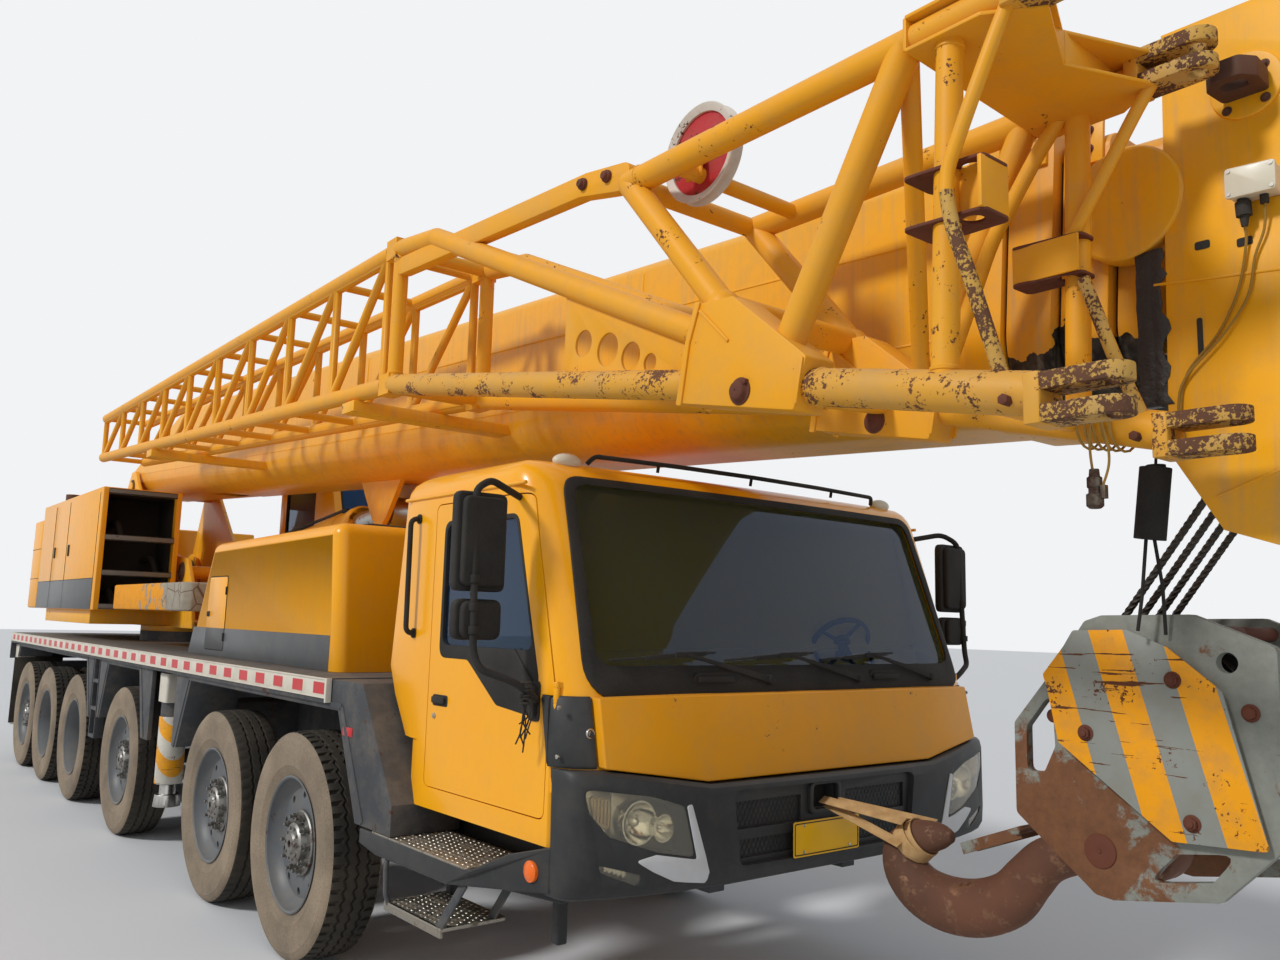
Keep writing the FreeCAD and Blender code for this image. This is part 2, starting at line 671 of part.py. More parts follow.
OPCAB_SIDE = ((-6350, 2140), (-6350, 3560), (-6230, 3640), (-4980, 3640), (-4650, 2750), (-4750, 2140))
OPCAB_Y = (640, 1470)
OPCAB_WALL = 50
OPDOOR = ((-6200, 2230), (-6200, 3520), (-5350, 3520), (-5350, 2230))
OPDOOR_HINGE = (-6200, 1484)


def opcab_parts():
    low, high = OPCAB_Y
    outer = plate_xz(OPCAB_SIDE, low, high)
    inner_face = inset_face(OPCAB_SIDE, OPCAB_WALL, lambda x, z: Vector(x, 0, z))
    inner = inner_face.extrude(Vector(0, high - low - 2 * OPCAB_WALL, 0))
    inner.translate(Vector(0, low + OPCAB_WALL, 0))
    shell = outer.cut(inner)
    opening = plate_xz(OPDOOR, high - OPCAB_WALL - 20, high + 60)
    front = plate_yz(((low + 90, 2320), (low + 90, 3520), (high - 90, 3520), (high - 90, 2320)), -5060, -4500)
    side_window = box(-6150, -5300, low - 20, low + OPCAB_WALL + 20, 2750, 3480)
    body = shell.cut([opening, front, side_window])
    seat = fuse([
        box(-5900, -5400, 830, 1280, 2500, 2620), box(-6020, -5880, 830, 1280, 2540, 3250),
        box(-5800, -5500, 920, 1190, 2190 + FIT, 2520),
    ])
    glass = box(-6150 + FIT, -5300 - FIT, low + 15, low + 27, 2750 + FIT, 3480 - FIT)
    gap = DOOR_GAP
    door = box(OPDOOR[0][0] + gap, OPDOOR[2][0] - gap, high - 40, high, OPDOOR[0][1] + gap, OPDOOR[1][1] - gap)
    window = plate_xz(((-6110, 2800), (-6110, 3440), (-5440, 3440), (-5440, 2800)), high - 60, high + 60)
    x, y = OPDOOR_HINGE
    lugs, pins = [], []
    for z in (2450, 3250):
        pins += [Part.makeCylinder(HINGE_R, HINGE_H, Vector(x, y, z)), box(x, x + 60, y - 30, y, z, z + HINGE_H)]
        for low_z in (z - 22 - FIT, z + HINGE_H + FIT):
            lugs += [Part.makeCylinder(HINGE_R, 22, Vector(x, y, low_z)), box(x - 12, x + 6, y - 50, y, low_z, low_z + 22)]
    return fuse([body] + lugs), [seat], glass, fuse([door.cut(window)] + pins)


# Boom sections: a flat-sided tube with a rounded belly, each inside the last

def section_outline(out, along):
    """The tube's outline at a place along the boom, out beyond the base section's."""
    half = SECTION_Y + out
    top = SECTION_TOP + out
    bottom = SECTION_BOTTOM - out
    radius = BELLY_R + out
    flat = half - radius
    x = FOOT.x + along

    def at(y, across):
        return Vector(x, y, FOOT.z + across)

    bend = radius * (1 - math.sqrt(0.5))
    crown = TOP_R * (1 - math.sqrt(0.5))
    edges = [
        Part.LineSegment(at(-flat, bottom), at(flat, bottom)),
        Part.Arc(at(flat, bottom), at(half - bend, bottom + bend), at(half, bottom + radius)),
        Part.LineSegment(at(half, bottom + radius), at(half, top - TOP_R)),
        Part.Arc(at(half, top - TOP_R), at(half - crown, top - crown), at(half - TOP_R, top)),
        Part.LineSegment(at(half - TOP_R, top), at(-half + TOP_R, top)),
        Part.Arc(at(-half + TOP_R, top), at(-half + crown, top - crown), at(-half, top - TOP_R)),
        Part.LineSegment(at(-half, top - TOP_R), at(-half, bottom + radius)),
        Part.Arc(at(-half, bottom + radius), at(-half + bend, bottom + bend), at(-flat, bottom)),
    ]
    return Part.Face(Part.Wire([edge.toShape() for edge in edges]))


def section_bar(out, start, end):
    return section_outline(out, start).extrude(Vector(end - start, 0, 0))


def laid(shape):
    """Turns what is drawn along the boom down to its slope on the road."""
    shape.rotate(FOOT, Vector(0, 1, 0), BOOM_SLOPE)
    return shape


def boom_point(along, y, across):
    slope = math.radians(BOOM_SLOPE)
    return Vector(
        FOOT.x + along * math.cos(slope) + across * math.sin(slope), y,
        FOOT.z - along * math.sin(slope) + across * math.cos(slope))


def drawn_plate(points, y0, y1):
    """A side outline of along, across points, before the boom is laid down."""
    return plate_xz([(FOOT.x + along, FOOT.z + across) for along, across in points], y0, y1)


def base_section():
    body = fuse([
        section_bar(0, BASE_REAR, BASE_FRONT),
        section_bar(COLLAR_OUT, BASE_FRONT - COLLAR_L, BASE_FRONT),
    ])
    hollow = section_bar(-SECTION_T, NEST_REAR - 100, BASE_FRONT + 10)
    rear = drawn_plate(((-400, 200), (-400, 1000), (2150, 1000), (2150, SECTION_TOP), (1900, SECTION_TOP)), -600, 600)
    belly_end = drawn_plate(((-400, -200), (-400, -90), (2700, -90), (3000, -115), (3000, -200)), -600, 600)
    pin = rod(FOOT - Vector(0, 700, 0), FOOT + Vector(0, 700, 0), FOOT_PIN_R + FIT)
    pad = front_pad(0, BASE_FRONT)
    body = laid(fuse([body.cut([hollow, rear, belly_end, pin]), pad]))
    inside = laid(section_bar(-SECTION_T / 2, BASE_REAR, BASE_FRONT))
    return fuse([body] + [piece.cut(inside) for piece in ears() + jib_brackets()])


def front_pad(out, front):
    """The wear pad inside a section's mouth, under the next section's belly."""
    floor = FOOT.z + SECTION_BOTTOM - out + SECTION_T
    flat = SECTION_Y - BELLY_R
    x = FOOT.x + front
    return box(x - COLLAR_L, x, -flat, flat, floor - 5, floor + SECTION_STEP - SECTION_T - FIT)


def rear_pad(out, rear):
    """The wear pad on a section's tail, under the roof of the one outside it."""
    top = FOOT.z + SECTION_TOP + out
    x = FOOT.x + rear
    return box(x, x + COLLAR_L, -150, 150, top - 5, top + SECTION_STEP - SECTION_T - FIT)


def ears():
    """Two fins under the belly that take the rod's eye between them."""
    eye = CYLINDER_EYE
    points = (
        (eye.x - 420, eye.z + 330), (eye.x - 130, eye.z - 60), (eye.x - 60, eye.z - 120),
        (eye.x + 60, eye.z - 120), (eye.x + 130, eye.z - 60), (eye.x + 420, eye.z + 300),
    )
    fin = plate_xz(points, EAR_Y, EAR_Y + EAR_T)
    return both_sides(fin)


def sliding_section(number):
    """Section 2 to 5, with its collar ahead of the last one's."""
    out = -SECTION_STEP * (number - 1)
    collar_end = BASE_FRONT + COLLAR_STEP * (number - 1)
    start = NEST_REAR + 60 * (number - 2)
    collar = section_bar(out + SECTION_STEP + COLLAR_OUT - 20, collar_end - COLLAR_STEP + 12, collar_end)
    body = fuse([section_bar(out, start, collar_end), collar])
    hollow = section_bar(out - SECTION_T, start - 10, collar_end + 10)
    return laid(fuse([body.cut(hollow), front_pad(out, collar_end), rear_pad(out, start)]))


HEAD_AT = BASE_FRONT + 3 * COLLAR_STEP + 12
HEAD_SIDE = (                  # beyond the last collar, across
    (0, 1080), (40, -290), (200, -530), (440, -600), (680, -455), (860, 0), (870, 600), (700, 1020), (450, 1100),
)
HEAD_Y = 430
HEAD_T = 45
SHELF_L = 250                  # the tube's last stretch, between the cheeks
LOWER_SHEAVE = (440, -300, 275)   # beyond the last collar, across, radius
UPPER_SHEAVE = (520, 800, 230)
FALL_Y = (-180, -60, 60, 180)
ROPE_R = 13
BLOCK_AXLE = Vector(4250, 0, 1600)
BLOCK_SHEAVE_R = 290


def head_section():
    out = -SECTION_STEP * 4
    start = NEST_REAR + 180
    tube = section_bar(out, start, HEAD_AT + SHELF_L).cut(
        section_bar(out - SECTION_T, start - 10, HEAD_AT + SHELF_L + 10))
    points = [(HEAD_AT + along, across) for along, across in HEAD_SIDE]
    cheek = drawn_plate(points, HEAD_Y, HEAD_Y + HEAD_T)
    shelf = [
        drawn_plate(((HEAD_AT, across), (HEAD_AT, across + 40), (HEAD_AT + SHELF_L, across + 40),
                     (HEAD_AT + SHELF_L, across)), -HEAD_Y - 5, HEAD_Y + 5)
        for across in (SECTION_TOP + out - 5, SECTION_BOTTOM - out - 35)
    ] + [rear_pad(out, start)]
    pins = [
        rod(Vector(FOOT.x + HEAD_AT + along, -HEAD_Y - 80, FOOT.z + across),
            Vector(FOOT.x + HEAD_AT + along, HEAD_Y + 80, FOOT.z + across), 55)
        for along, across, radius in (LOWER_SHEAVE, UPPER_SHEAVE)
    ]
    return laid(fuse([tube] + both_sides(cheek) + shelf + pins))


def sheaves():
    wheels = []
    for along, across, radius in (LOWER_SHEAVE, UPPER_SHEAVE):
        for y in FALL_Y if across < 0 else (0,):
            middle = Vector(FOOT.x + HEAD_AT + along, y - 25, FOOT.z + across)
            disc = Part.makeCylinder(radius, 50, middle, Vector(0, 1, 0))
            bore = Part.makeCylinder(55 + FIT, 60, middle - Vector(0, 5, 0), Vector(0, 1, 0))
            wheels += [laid(disc.cut(bore))]
    return wheels


# Luffing cylinder

def along_cylinder(distance):
    line = CYLINDER_EYE - CYLINDER_FOOT
    line.normalize()
    return CYLINDER_FOOT + line * distance


def luff_barrel():
    eye = rod(CYLINDER_FOOT - Vector(0, 150, 0), CYLINDER_FOOT + Vector(0, 150, 0), 150)
    barrel = rod(along_cylinder(100), along_cylinder(BARREL_L), BARREL_R)
    bore = rod(along_cylinder(300), along_cylinder(BARREL_L + 10), ROD_R + FIT)
    pin = rod(CYLINDER_FOOT - Vector(0, 200, 0), CYLINDER_FOOT + Vector(0, 200, 0), 70 + FIT)
    return fuse([eye, barrel]).cut([bore, pin])


def luff_rod():
    reach = (CYLINDER_EYE - CYLINDER_FOOT).Length
    stem = rod(along_cylinder(400), along_cylinder(reach), ROD_R)
    eye = rod(CYLINDER_EYE - Vector(0, EYE_W / 2, 0), CYLINDER_EYE + Vector(0, EYE_W / 2, 0), 125)
    bore = rod(CYLINDER_EYE - Vector(0, 200, 0), CYLINDER_EYE + Vector(0, 200, 0), EYE_PIN_R)
    return fuse([stem, eye]).cut(bore)


# Jib stowed on the boom's right side: tubes between named points

LATTICE_CHORD_R = 47
LACE_R = 24
NEAR = -1395
JIB_REAR_X = -5940
JIB_JOINT_X = 780
JOINT_GAP = 97                 # from the lattice's end to the root's end, filled by the joint lugs
PANELS = 9
LAST_FRAME = 0.994            # the last ring of laces stands just inside the chords' ends


def chord_z(share, upper):
    return 3850 - 10 * share if upper else 3440 - 340 * share


def chord_y(share, far):
    return NEAR + (400 + 130 * share if far else 0)


def lattice_point(share, far, upper):
    x = JIB_REAR_X + (JIB_JOINT_X - JIB_REAR_X) * share
    return Vector(x, chord_y(share, far), chord_z(share, upper))


def jib_lattice():
    members = []
    for far in (False, True):
        for upper in (False, True):
            members += [rod(lattice_point(0, far, upper), lattice_point(1, far, upper), LATTICE_CHORD_R)]
    for index in range(PANELS + 1):
        share = min(index / PANELS, LAST_FRAME)
        corners = [(False, False), (False, True), (True, True), (True, False)]
        for first, second in zip(corners, corners[1:] + corners[:1]):
            members += [rod(lattice_point(share, *first), lattice_point(share, *second), LACE_R)]
        if index < PANELS:
            after = min((index + 1) / PANELS, LAST_FRAME)
            for far in (False, True):
                members += [rod(lattice_point(share, far, False), lattice_point(after, far, True), LACE_R)]
    return fuse(members)


ROOT_POINTS = {
    "near_low": (880, NEAR, 3096), "near_up": (880, NEAR, 3840), "kink": (1280, NEAR, 3790),
    "up_end": (3280, NEAR, 2880), "low_end": (3290, NEAR, 2660), "hinge": (3570, NEAR, 2650),
    "apex": (3390, NEAR, 2950), "fork_low": (4530, NEAR, 2470), "tip_low": (4730, NEAR, 2440),
    "post_low": (4280, NEAR, 2580), "post_up": (4330, NEAR, 3550), "diagonal_up": (4180, NEAR, 3570),
    "diagonal_low": (3770, NEAR, 2760), "strut_up": (2860, NEAR, 3560), "chord_up": (3560, NEAR, 3610),
    "fork_up": (4500, NEAR, 3560), "tip_up": (4690, NEAR, 3560),
    "far_low": (880, -865, 3096), "far_up": (880, -865, 3840), "far_hinge": (3570, -720, 2700),
    "far_apex": (3390, -720, 2950), "far_fork_low": (4530, -720, 2470), "far_tip_low": (4730, -720, 2440),
    "far_post_low": (4280, -720, 2580), "far_post_up": (4330, -720, 3550), "far_strut_up": (2860, -720, 3560),
    "far_fork_up": (4500, -720, 3560), "far_tip_up": (4690, -720, 3560), "far_kink": (1280, -860, 3790), "far_up_end": (3280, -730, 2880),
}
ROOT_TUBES = (                 # from, to, radius
    ("near_low", "hinge", 55), ("near_up", "kink", 50), ("kink", "up_end", 50), ("hinge", "fork_low", 58),
    ("apex", "strut_up", 50), ("strut_up", "fork_up", 50), ("post_low", "post_up", 45),
    ("diagonal_low", "diagonal_up", 50), ("near_up", "near_low", 40), ("apex", "hinge", 60),
    ("far_low", "far_hinge", 55), ("far_up", "far_kink", 50), ("far_kink", "far_up_end", 50),
    ("far_hinge", "far_fork_low", 58), ("far_apex", "far_strut_up", 50), ("far_strut_up", "far_fork_up", 50),
    ("far_post_low", "far_post_up", 45), ("far_apex", "far_hinge", 60), ("far_up", "far_low", 40),
    ("apex", "far_apex", 50), ("hinge", "far_hinge", 50), ("strut_up", "far_strut_up", 40),
    ("post_low", "far_post_low", 36), ("post_up", "far_post_up", 36), ("near_up", "far_up", 36),
    ("near_low", "far_low", 36), ("kink", "far_kink", 30), ("up_end", "hinge", 50),
    ("far_up_end", "far_hinge", 50),
)


def fork(tip, root_x):
    """Two lugs one above the other, with a standing pin bore."""
    x, y, z = tip
    body = box(root_x, x + 70, y - 55, y + 55, z - 85, z + 85)
    gap = box(root_x + 90, x + 90, y - 60, y + 60, z - 40, z + 40)
    bore = Part.makeCylinder(28, 300, Vector(x, y, z - 150))
    return body.cut([gap, bore])


FAR = -720
GUSSET_Y = (NEAR, -760)        # middle of the near and the far gusset
GUSSET = ((2460, 2850), (2460, 3240), (3302, 2870), (3312, 2690))
GUSSET_HOLES = ((2590, 2980, 55), (2750, 2925, 66), (2895, 2870, 56), (3010, 2825, 36))    # x, z, radius
HINGE_BOX = ((3330, 2960), (3500, 2950), (3820, 2690), (3770, 2530), (3240, 2630), (3280, 2830))
HEAD_PLATE = ((4180, NEAR - 60), (4420, NEAR - 60), (4420, FAR + 60), (4150, FAR + 60))
LINK = ((900, 3682), (900, 3778), (2885, 3598), (2885, 3522))


def root_plates():
    """Gussets with their lightening holes, welded hinge boxes, the plate across the head, and the link bar."""
    pieces = [plate_xy(HEAD_PLATE, 3504, 3616), plate_xz(LINK, NEAR - 12, NEAR + 12)]
    for y in GUSSET_Y:
        holes = [Part.makeCylinder(r, 60, Vector(x, y - 30, z), Vector(0, 1, 0)) for x, z, r in GUSSET_HOLES]
        pieces += [plate_xz(GUSSET, y - 6, y + 6).cut(holes)]
    for y in (NEAR, FAR):
        pieces += [plate_xz(HINGE_BOX, y - 66, y + 66)]
        pieces += [Part.makeCylinder(35, 160, Vector(ROOT_POINTS["hinge"][0], y - 80, 2650), Vector(0, 1, 0))]
    return pieces


def jib_root():
    tubes = [
        rod(Vector(*ROOT_POINTS[start]), Vector(*ROOT_POINTS[end]), radius)
        for start, end, radius in ROOT_TUBES
    ]
    forks = [
        fork(ROOT_POINTS[name], ROOT_POINTS[name][0] - 200)
        for name in ("tip_low", "far_tip_low", "tip_up", "far_tip_up")
    ]
    joint_lugs = [
        box(x - JOINT_GAP, x + 20, y - 45, y + 45, z - 55, z + 55)
        for x, y, z in (ROOT_POINTS[name] for name in ("near_low", "near_up", "far_low", "far_up"))
    ]
    return fuse(tubes + forks + joint_lugs + root_plates())


def jib_brackets():
    """Brackets from the boom's side to the jib, fixed on the base section."""
    pieces = []
    for x in (-3900, 400):
        share = (x - JIB_REAR_X) / (JIB_JOINT_X - JIB_REAR_X)
        fall = (chord_z(0, False) - chord_z(1, False)) / (JIB_JOINT_X - JIB_REAR_X)
        top = chord_z(share, False) - LATTICE_CHORD_R - 80 * fall - 2 * FIT
        pieces += [box(x - 80, x + 80, NEAR - LATTICE_CHORD_R, -SECTION_Y + 150, top - 60, top)]
    return pieces


# Hook block, its rope falls and its hook

BLOCK_SIDE = (
    (4050, 1930), (4400, 1960), (4640, 1860), (4640, 1290), (4450, 1095), (4080, 1030),
    (3780, 1260), (3780, 1570), (3920, 1745),
)
BLOCK_HANDLES = (              # the holes that leave a handle at the block's back and at its foot
    ((3825, 1410), (3825, 1560), (3925, 1690), (3930, 1500), (3890, 1410)),
    ((4235, 1110), (4430, 1150), (4500, 1240), (4330, 1215)),
)
CHEEK_T = 40
CHEEK_Y = 270
GUARD = ((3990, 1900), (4210, 1900), (4490, 1720), (4600, 1275), (4335, 1255), (3965, 1515), (3915, 1745))
GUARD_BOLTS = ((4350, 1750), (4060, 1560), (4390, 1320))
GUARD_Y = (335, 343)
CROSSHEAD = Vector(4080, 0, 1180)      # the hook swings about it
CROSSHEAD_R = 90
HOOK_EYE_R = 135
BOWL = Vector(3330, 0, 960)
BOWL_R = 230
HOOK_R = 85


def hook_block():
    holes = [plate_xz(hole, 0, 2 * CHEEK_Y) for hole in BLOCK_HANDLES]
    cheek = plate_xz(BLOCK_SIDE, CHEEK_Y, CHEEK_Y + CHEEK_T).cut(holes)
    bolts = [Part.makeCylinder(22, 75, Vector(x, CHEEK_Y + 10, z), Vector(0, 1, 0)) for x, z in GUARD_BOLTS]
    side = fuse([cheek, plate_xz(GUARD, *GUARD_Y)] + bolts)
    across = Vector(0, CHEEK_Y + 5, 0)
    axle = rod(BLOCK_AXLE - across, BLOCK_AXLE + across, 70)
    wheels = [
        Part.makeCylinder(BLOCK_SHEAVE_R, 50, BLOCK_AXLE + Vector(0, y - 25, 0), Vector(0, 1, 0))
        for y in FALL_Y
    ]
    cross = rod(CROSSHEAD - across, CROSSHEAD + across, CROSSHEAD_R)
    return fuse(both_sides(side) + [axle, cross] + wheels)


def hook():
    eye = Part.makeCylinder(HOOK_EYE_R, 160, CROSSHEAD - Vector(0, 80, 0), Vector(0, 1, 0))
    shank = rod(CROSSHEAD, Vector(3700, 0, 1060), 75)
    mouth = box(BOWL.x - 30, BOWL.x + 230, -200, 200, BOWL.z, BOWL.z + 340)
    bowl = Part.makeTorus(BOWL_R, HOOK_R, BOWL, Vector(0, 1, 0)).cut(mouth)
    neck = rod(Vector(3720, 0, 1070), Vector(3500, 0, 900), 90)
    bore = Part.makeCylinder(CROSSHEAD_R + FIT, 400, CROSSHEAD - Vector(0, 200, 0), Vector(0, 1, 0))
    return fuse([eye, shank, bowl, neck]).cut(bore)


def ropes():
    """Each fall runs straight from the head sheave's rim to the block sheave's, fore and aft."""
    along, across, head_r = LOWER_SHEAVE
    top = boom_point(HEAD_AT + along, 0, across)
    line = BLOCK_AXLE - top
    span = line.Length
    line.normalize()
    out = Vector(-line.z, 0, line.x)
    falls = []
    for side in (1, -1):
        lean = side * (head_r - BLOCK_SHEAVE_R) / span
        normal = line * lean * side + out * side * math.sqrt(1 - lean * lean)
        start = top + normal * (head_r + ROPE_R + FIT)
        end = BLOCK_AXLE + normal * (BLOCK_SHEAVE_R + ROPE_R + FIT)
        falls += [rod(start + Vector(0, y, 0), end + Vector(0, y, 0), ROPE_R) for y in FALL_Y]
    return falls


def wheel_nodes():
    for number, place, kind, driven in AXLES:
        for name, side in (("left", 1), ("right", -1)):
            pieces = steered_wheel(place) if kind == "steered" else twin_wheel(place)
            save("wheel_%d_%s" % (number, name), [on_side(piece, side) for piece in pieces])
            if kind == "steered":
                save("knuckle_%d_%s" % (number, name), on_side(knuckle(place), side))


def carrier_nodes():
    save("carrier_frame", carrier_frame())
    save("deck", deck())
    save("axle_beams", [axle_beam(place, kind, driven) for number, place, kind, driven in AXLES])
    for name, place, side in OUTRIGGERS:
        save("outrigger_beam_" + name, outrigger_beam(place, side))
        save("outrigger_jack_" + name, jack(place, side))
    body, door, glass, door_glass = cab_parts()
    save("cab_shell", body)
    save("cab_glass", glass)
    save("cab_door_left", [door, door_glass])
    save("cab_door_right", [mirrored(door), mirrored(door_glass)])
    save("cab_interior", cab_interior())
    save("front_bumper", fuse([bumper()] + both_sides(steps())))
    save("cab_lamps", lamps())
    save("engine_hood", hood())
    save("engine_block", engine())


def superstructure_nodes():
    save("turntable", turntable())
    save("engine_house", engine_house())
    save("counterweight", counterweight())
    save("counterweight_slab", slab())
    save("winch", winch())
    body, seat, glass, door = opcab_parts()
    save("operator_cab", [body, glass] + seat)
    save("operator_cab_door", door)


def boom_nodes():
    save("boom_1", base_section())
    for number in (2, 3, 4):
        save("boom_%d" % number, sliding_section(number))
    save("boom_5", head_section())
    save("head_sheaves", sheaves())
    save("luff_barrel", luff_barrel())
    save("luff_rod", luff_rod())
    save("jib_lattice", jib_lattice())
    save("jib_root", jib_root())
    save("hook_block", hook_block())
    save("hook", hook())
    save("hoist_ropes", ropes())


os.makedirs("parts", exist_ok=True)
wheel_nodes()
carrier_nodes()
superstructure_nodes()
boom_nodes()
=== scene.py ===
import json
import math
import random

import bmesh
import bpy
from mathutils import Matrix, Vector

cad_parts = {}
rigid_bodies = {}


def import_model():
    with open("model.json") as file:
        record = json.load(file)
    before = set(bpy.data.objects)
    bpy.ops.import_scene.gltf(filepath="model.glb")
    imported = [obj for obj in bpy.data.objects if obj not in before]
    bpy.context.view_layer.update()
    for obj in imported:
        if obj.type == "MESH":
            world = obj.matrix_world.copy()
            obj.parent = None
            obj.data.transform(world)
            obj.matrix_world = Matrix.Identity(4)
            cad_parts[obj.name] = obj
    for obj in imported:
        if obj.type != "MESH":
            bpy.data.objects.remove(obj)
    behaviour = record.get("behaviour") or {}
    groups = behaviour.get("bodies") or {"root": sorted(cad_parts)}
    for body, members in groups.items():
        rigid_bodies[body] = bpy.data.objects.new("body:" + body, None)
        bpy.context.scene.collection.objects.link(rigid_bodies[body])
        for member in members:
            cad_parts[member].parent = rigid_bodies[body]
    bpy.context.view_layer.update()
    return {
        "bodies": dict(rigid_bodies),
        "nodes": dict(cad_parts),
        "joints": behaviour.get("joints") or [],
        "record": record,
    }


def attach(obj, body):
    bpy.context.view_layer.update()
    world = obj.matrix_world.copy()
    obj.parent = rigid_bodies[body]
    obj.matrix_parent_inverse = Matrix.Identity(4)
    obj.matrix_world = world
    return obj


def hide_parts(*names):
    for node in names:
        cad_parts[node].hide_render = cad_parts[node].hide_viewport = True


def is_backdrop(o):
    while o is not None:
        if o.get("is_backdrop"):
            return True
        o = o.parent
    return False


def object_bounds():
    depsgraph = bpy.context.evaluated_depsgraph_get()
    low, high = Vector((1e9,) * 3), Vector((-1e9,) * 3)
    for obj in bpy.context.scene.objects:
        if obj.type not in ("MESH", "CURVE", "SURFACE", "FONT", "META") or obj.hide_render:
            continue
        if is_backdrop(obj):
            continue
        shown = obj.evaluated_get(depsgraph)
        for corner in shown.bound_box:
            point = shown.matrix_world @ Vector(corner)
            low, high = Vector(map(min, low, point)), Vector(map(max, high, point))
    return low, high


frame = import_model()

# The camera stands at the crane's front right corner, a little lower than the windscreen, and looks
# back along the right side. Places here and below are millimetres from the first axle on the ground.
FIRST_AXLE_AHEAD = 2400
PICTURE = (1280, 960)
FOCAL_PIXELS = 1031.43
SENSOR = 36.0


def at(x, y, z):
    """A place on the drawing, in the frame's metres."""
    return Vector(((x + FIRST_AXLE_AHEAD) / 1000, y / 1000, z / 1000))


yaw, pitch, roll = 2.46248435, 0.13685163, 0.02595029
ahead = Vector((math.cos(yaw) * math.cos(pitch), math.sin(yaw) * math.cos(pitch), math.sin(pitch)))
level_right = ahead.cross(Vector((0, 0, 1))).normalized()
level_up = level_right.cross(ahead)
right = math.cos(roll) * level_right + math.sin(roll) * level_up
up = -math.sin(roll) * level_right + math.cos(roll) * level_up
camera = bpy.data.objects.new("camera", bpy.data.cameras.new("camera"))
camera.data.sensor_width = SENSOR
camera.data.lens = FOCAL_PIXELS / PICTURE[0] * SENSOR
camera.data.clip_start = 0.05
camera.data.clip_end = 300
turned = Matrix((right, up, -ahead)).transposed().to_4x4()
camera.matrix_world = Matrix.Translation(at(5849.7, -3724.1, 1887.5)) @ turned
bpy.context.scene.collection.objects.link(camera)
bpy.context.scene.camera = camera

# Pale studio: a plain floor, a white backdrop and a broad lamp from the crane's right, where the sun stood.
PALE = "#D9DADB"


def linear(code):
    """A colour written as sRGB hex, as the linear value that shaders take."""
    parts = [int(code[i:i + 2], 16) / 255 for i in (1, 3, 5)]
    return [c / 12.92 if c <= 0.04045 else ((c + 0.055) / 1.055) ** 2.4 for c in parts] + [1.0]


def add(tree, kind, sockets=None, **settings):
    """Adds one node; sockets takes a value or another node's output for each input."""
    node = tree.nodes.new(kind)
    for name, value in settings.items():
        setattr(node, name, value)
    for key, value in (sockets or {}).items():
        if isinstance(value, bpy.types.NodeSocket):
            tree.links.new(value, node.inputs[key])
        else:
            node.inputs[key].default_value = value
    return node


def blank(name):
    """A new material with its tree, its surface shader and nothing else."""
    made = bpy.data.materials.new(name)
    made.use_nodes = True
    tree = made.node_tree
    tree.nodes.clear()
    surface = add(tree, "ShaderNodeBsdfPrincipled")
    add(tree, "ShaderNodeOutputMaterial", {"Surface": surface.outputs["BSDF"]})
    return made, tree, surface


floor_mesh = bpy.data.meshes.new("floor")
floor_mesh.from_pydata([(-90, -90, 0), (90, -90, 0), (90, 90, 0), (-90, 90, 0)], [], [(0, 1, 2, 3)])
floor = bpy.data.objects.new("floor", floor_mesh)
bpy.context.scene.collection.objects.link(floor)
floor_finish, tree, surface = blank("matt studio floor")
surface.inputs["Base Color"].default_value = linear(PALE)
surface.inputs["Roughness"].default_value = 0.9
floor_mesh.materials.append(floor_finish)
floor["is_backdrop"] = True

world = bpy.data.worlds.new("studio")
bpy.context.scene.world = world
world.use_nodes = True
tree = world.node_tree
tree.nodes.clear()
lit = add(tree, "ShaderNodeBackground", {"Color": linear("#E4E9F0"), "Strength": 0.42})
seen = add(tree, "ShaderNodeBackground", {"Color": linear("#F2F3F5"), "Strength": 1.0})
path = add(tree, "ShaderNodeLightPath")
direct = add(tree, "ShaderNodeMath", {0: path.outputs["Is Camera Ray"], 1: path.outputs["Is Glossy Ray"]},
             operation="MAXIMUM")
either = add(tree, "ShaderNodeMath", {0: direct.outputs[0], 1: path.outputs["Is Transmission Ray"]},
             operation="MAXIMUM")
shown = add(tree, "ShaderNodeMixShader", {0: either.outputs[0], 1: lit.outputs[0], 2: seen.outputs[0]})
add(tree, "ShaderNodeOutputWorld", {"Surface": shown.outputs[0]})

LAMPS = (                      # name, strength, angle across in degrees, direction the light goes
    ("key", 1.95, 8, (0.10, 0.80, -0.62)),
    ("fill", 0.35, 60, (-0.80, 0.25, -0.45)),
)
for name, strength, across, direction in LAMPS:
    lamp = bpy.data.objects.new(name, bpy.data.lights.new(name, "SUN"))
    lamp.data.energy = strength
    lamp.data.angle = math.radians(across)
    lamp.rotation_mode = "QUATERNION"
    lamp.rotation_quaternion = Vector(direction).to_track_quat("-Z", "Y")
    bpy.context.scene.collection.objects.link(lamp)
view = bpy.context.scene.view_settings
view.view_transform = "Standard"

# Wheels: twelve-hundred tyres on pressed steel rims. Axles one to three and six carry one wheel a side,
# axles four and five carry twins. The tyres are dusty rubber, the rims grey enamel, the nuts bare
# steel.
TYRE_R = 613
TYRE_W = 315
RIM_R = 362
TYRE_OUTER_Y = 1470
TWIN_PITCH = 350
DRAWING = Matrix.Translation((FIRST_AXLE_AHEAD / 1000, 0, 0)) @ Matrix.Scale(0.001, 4)


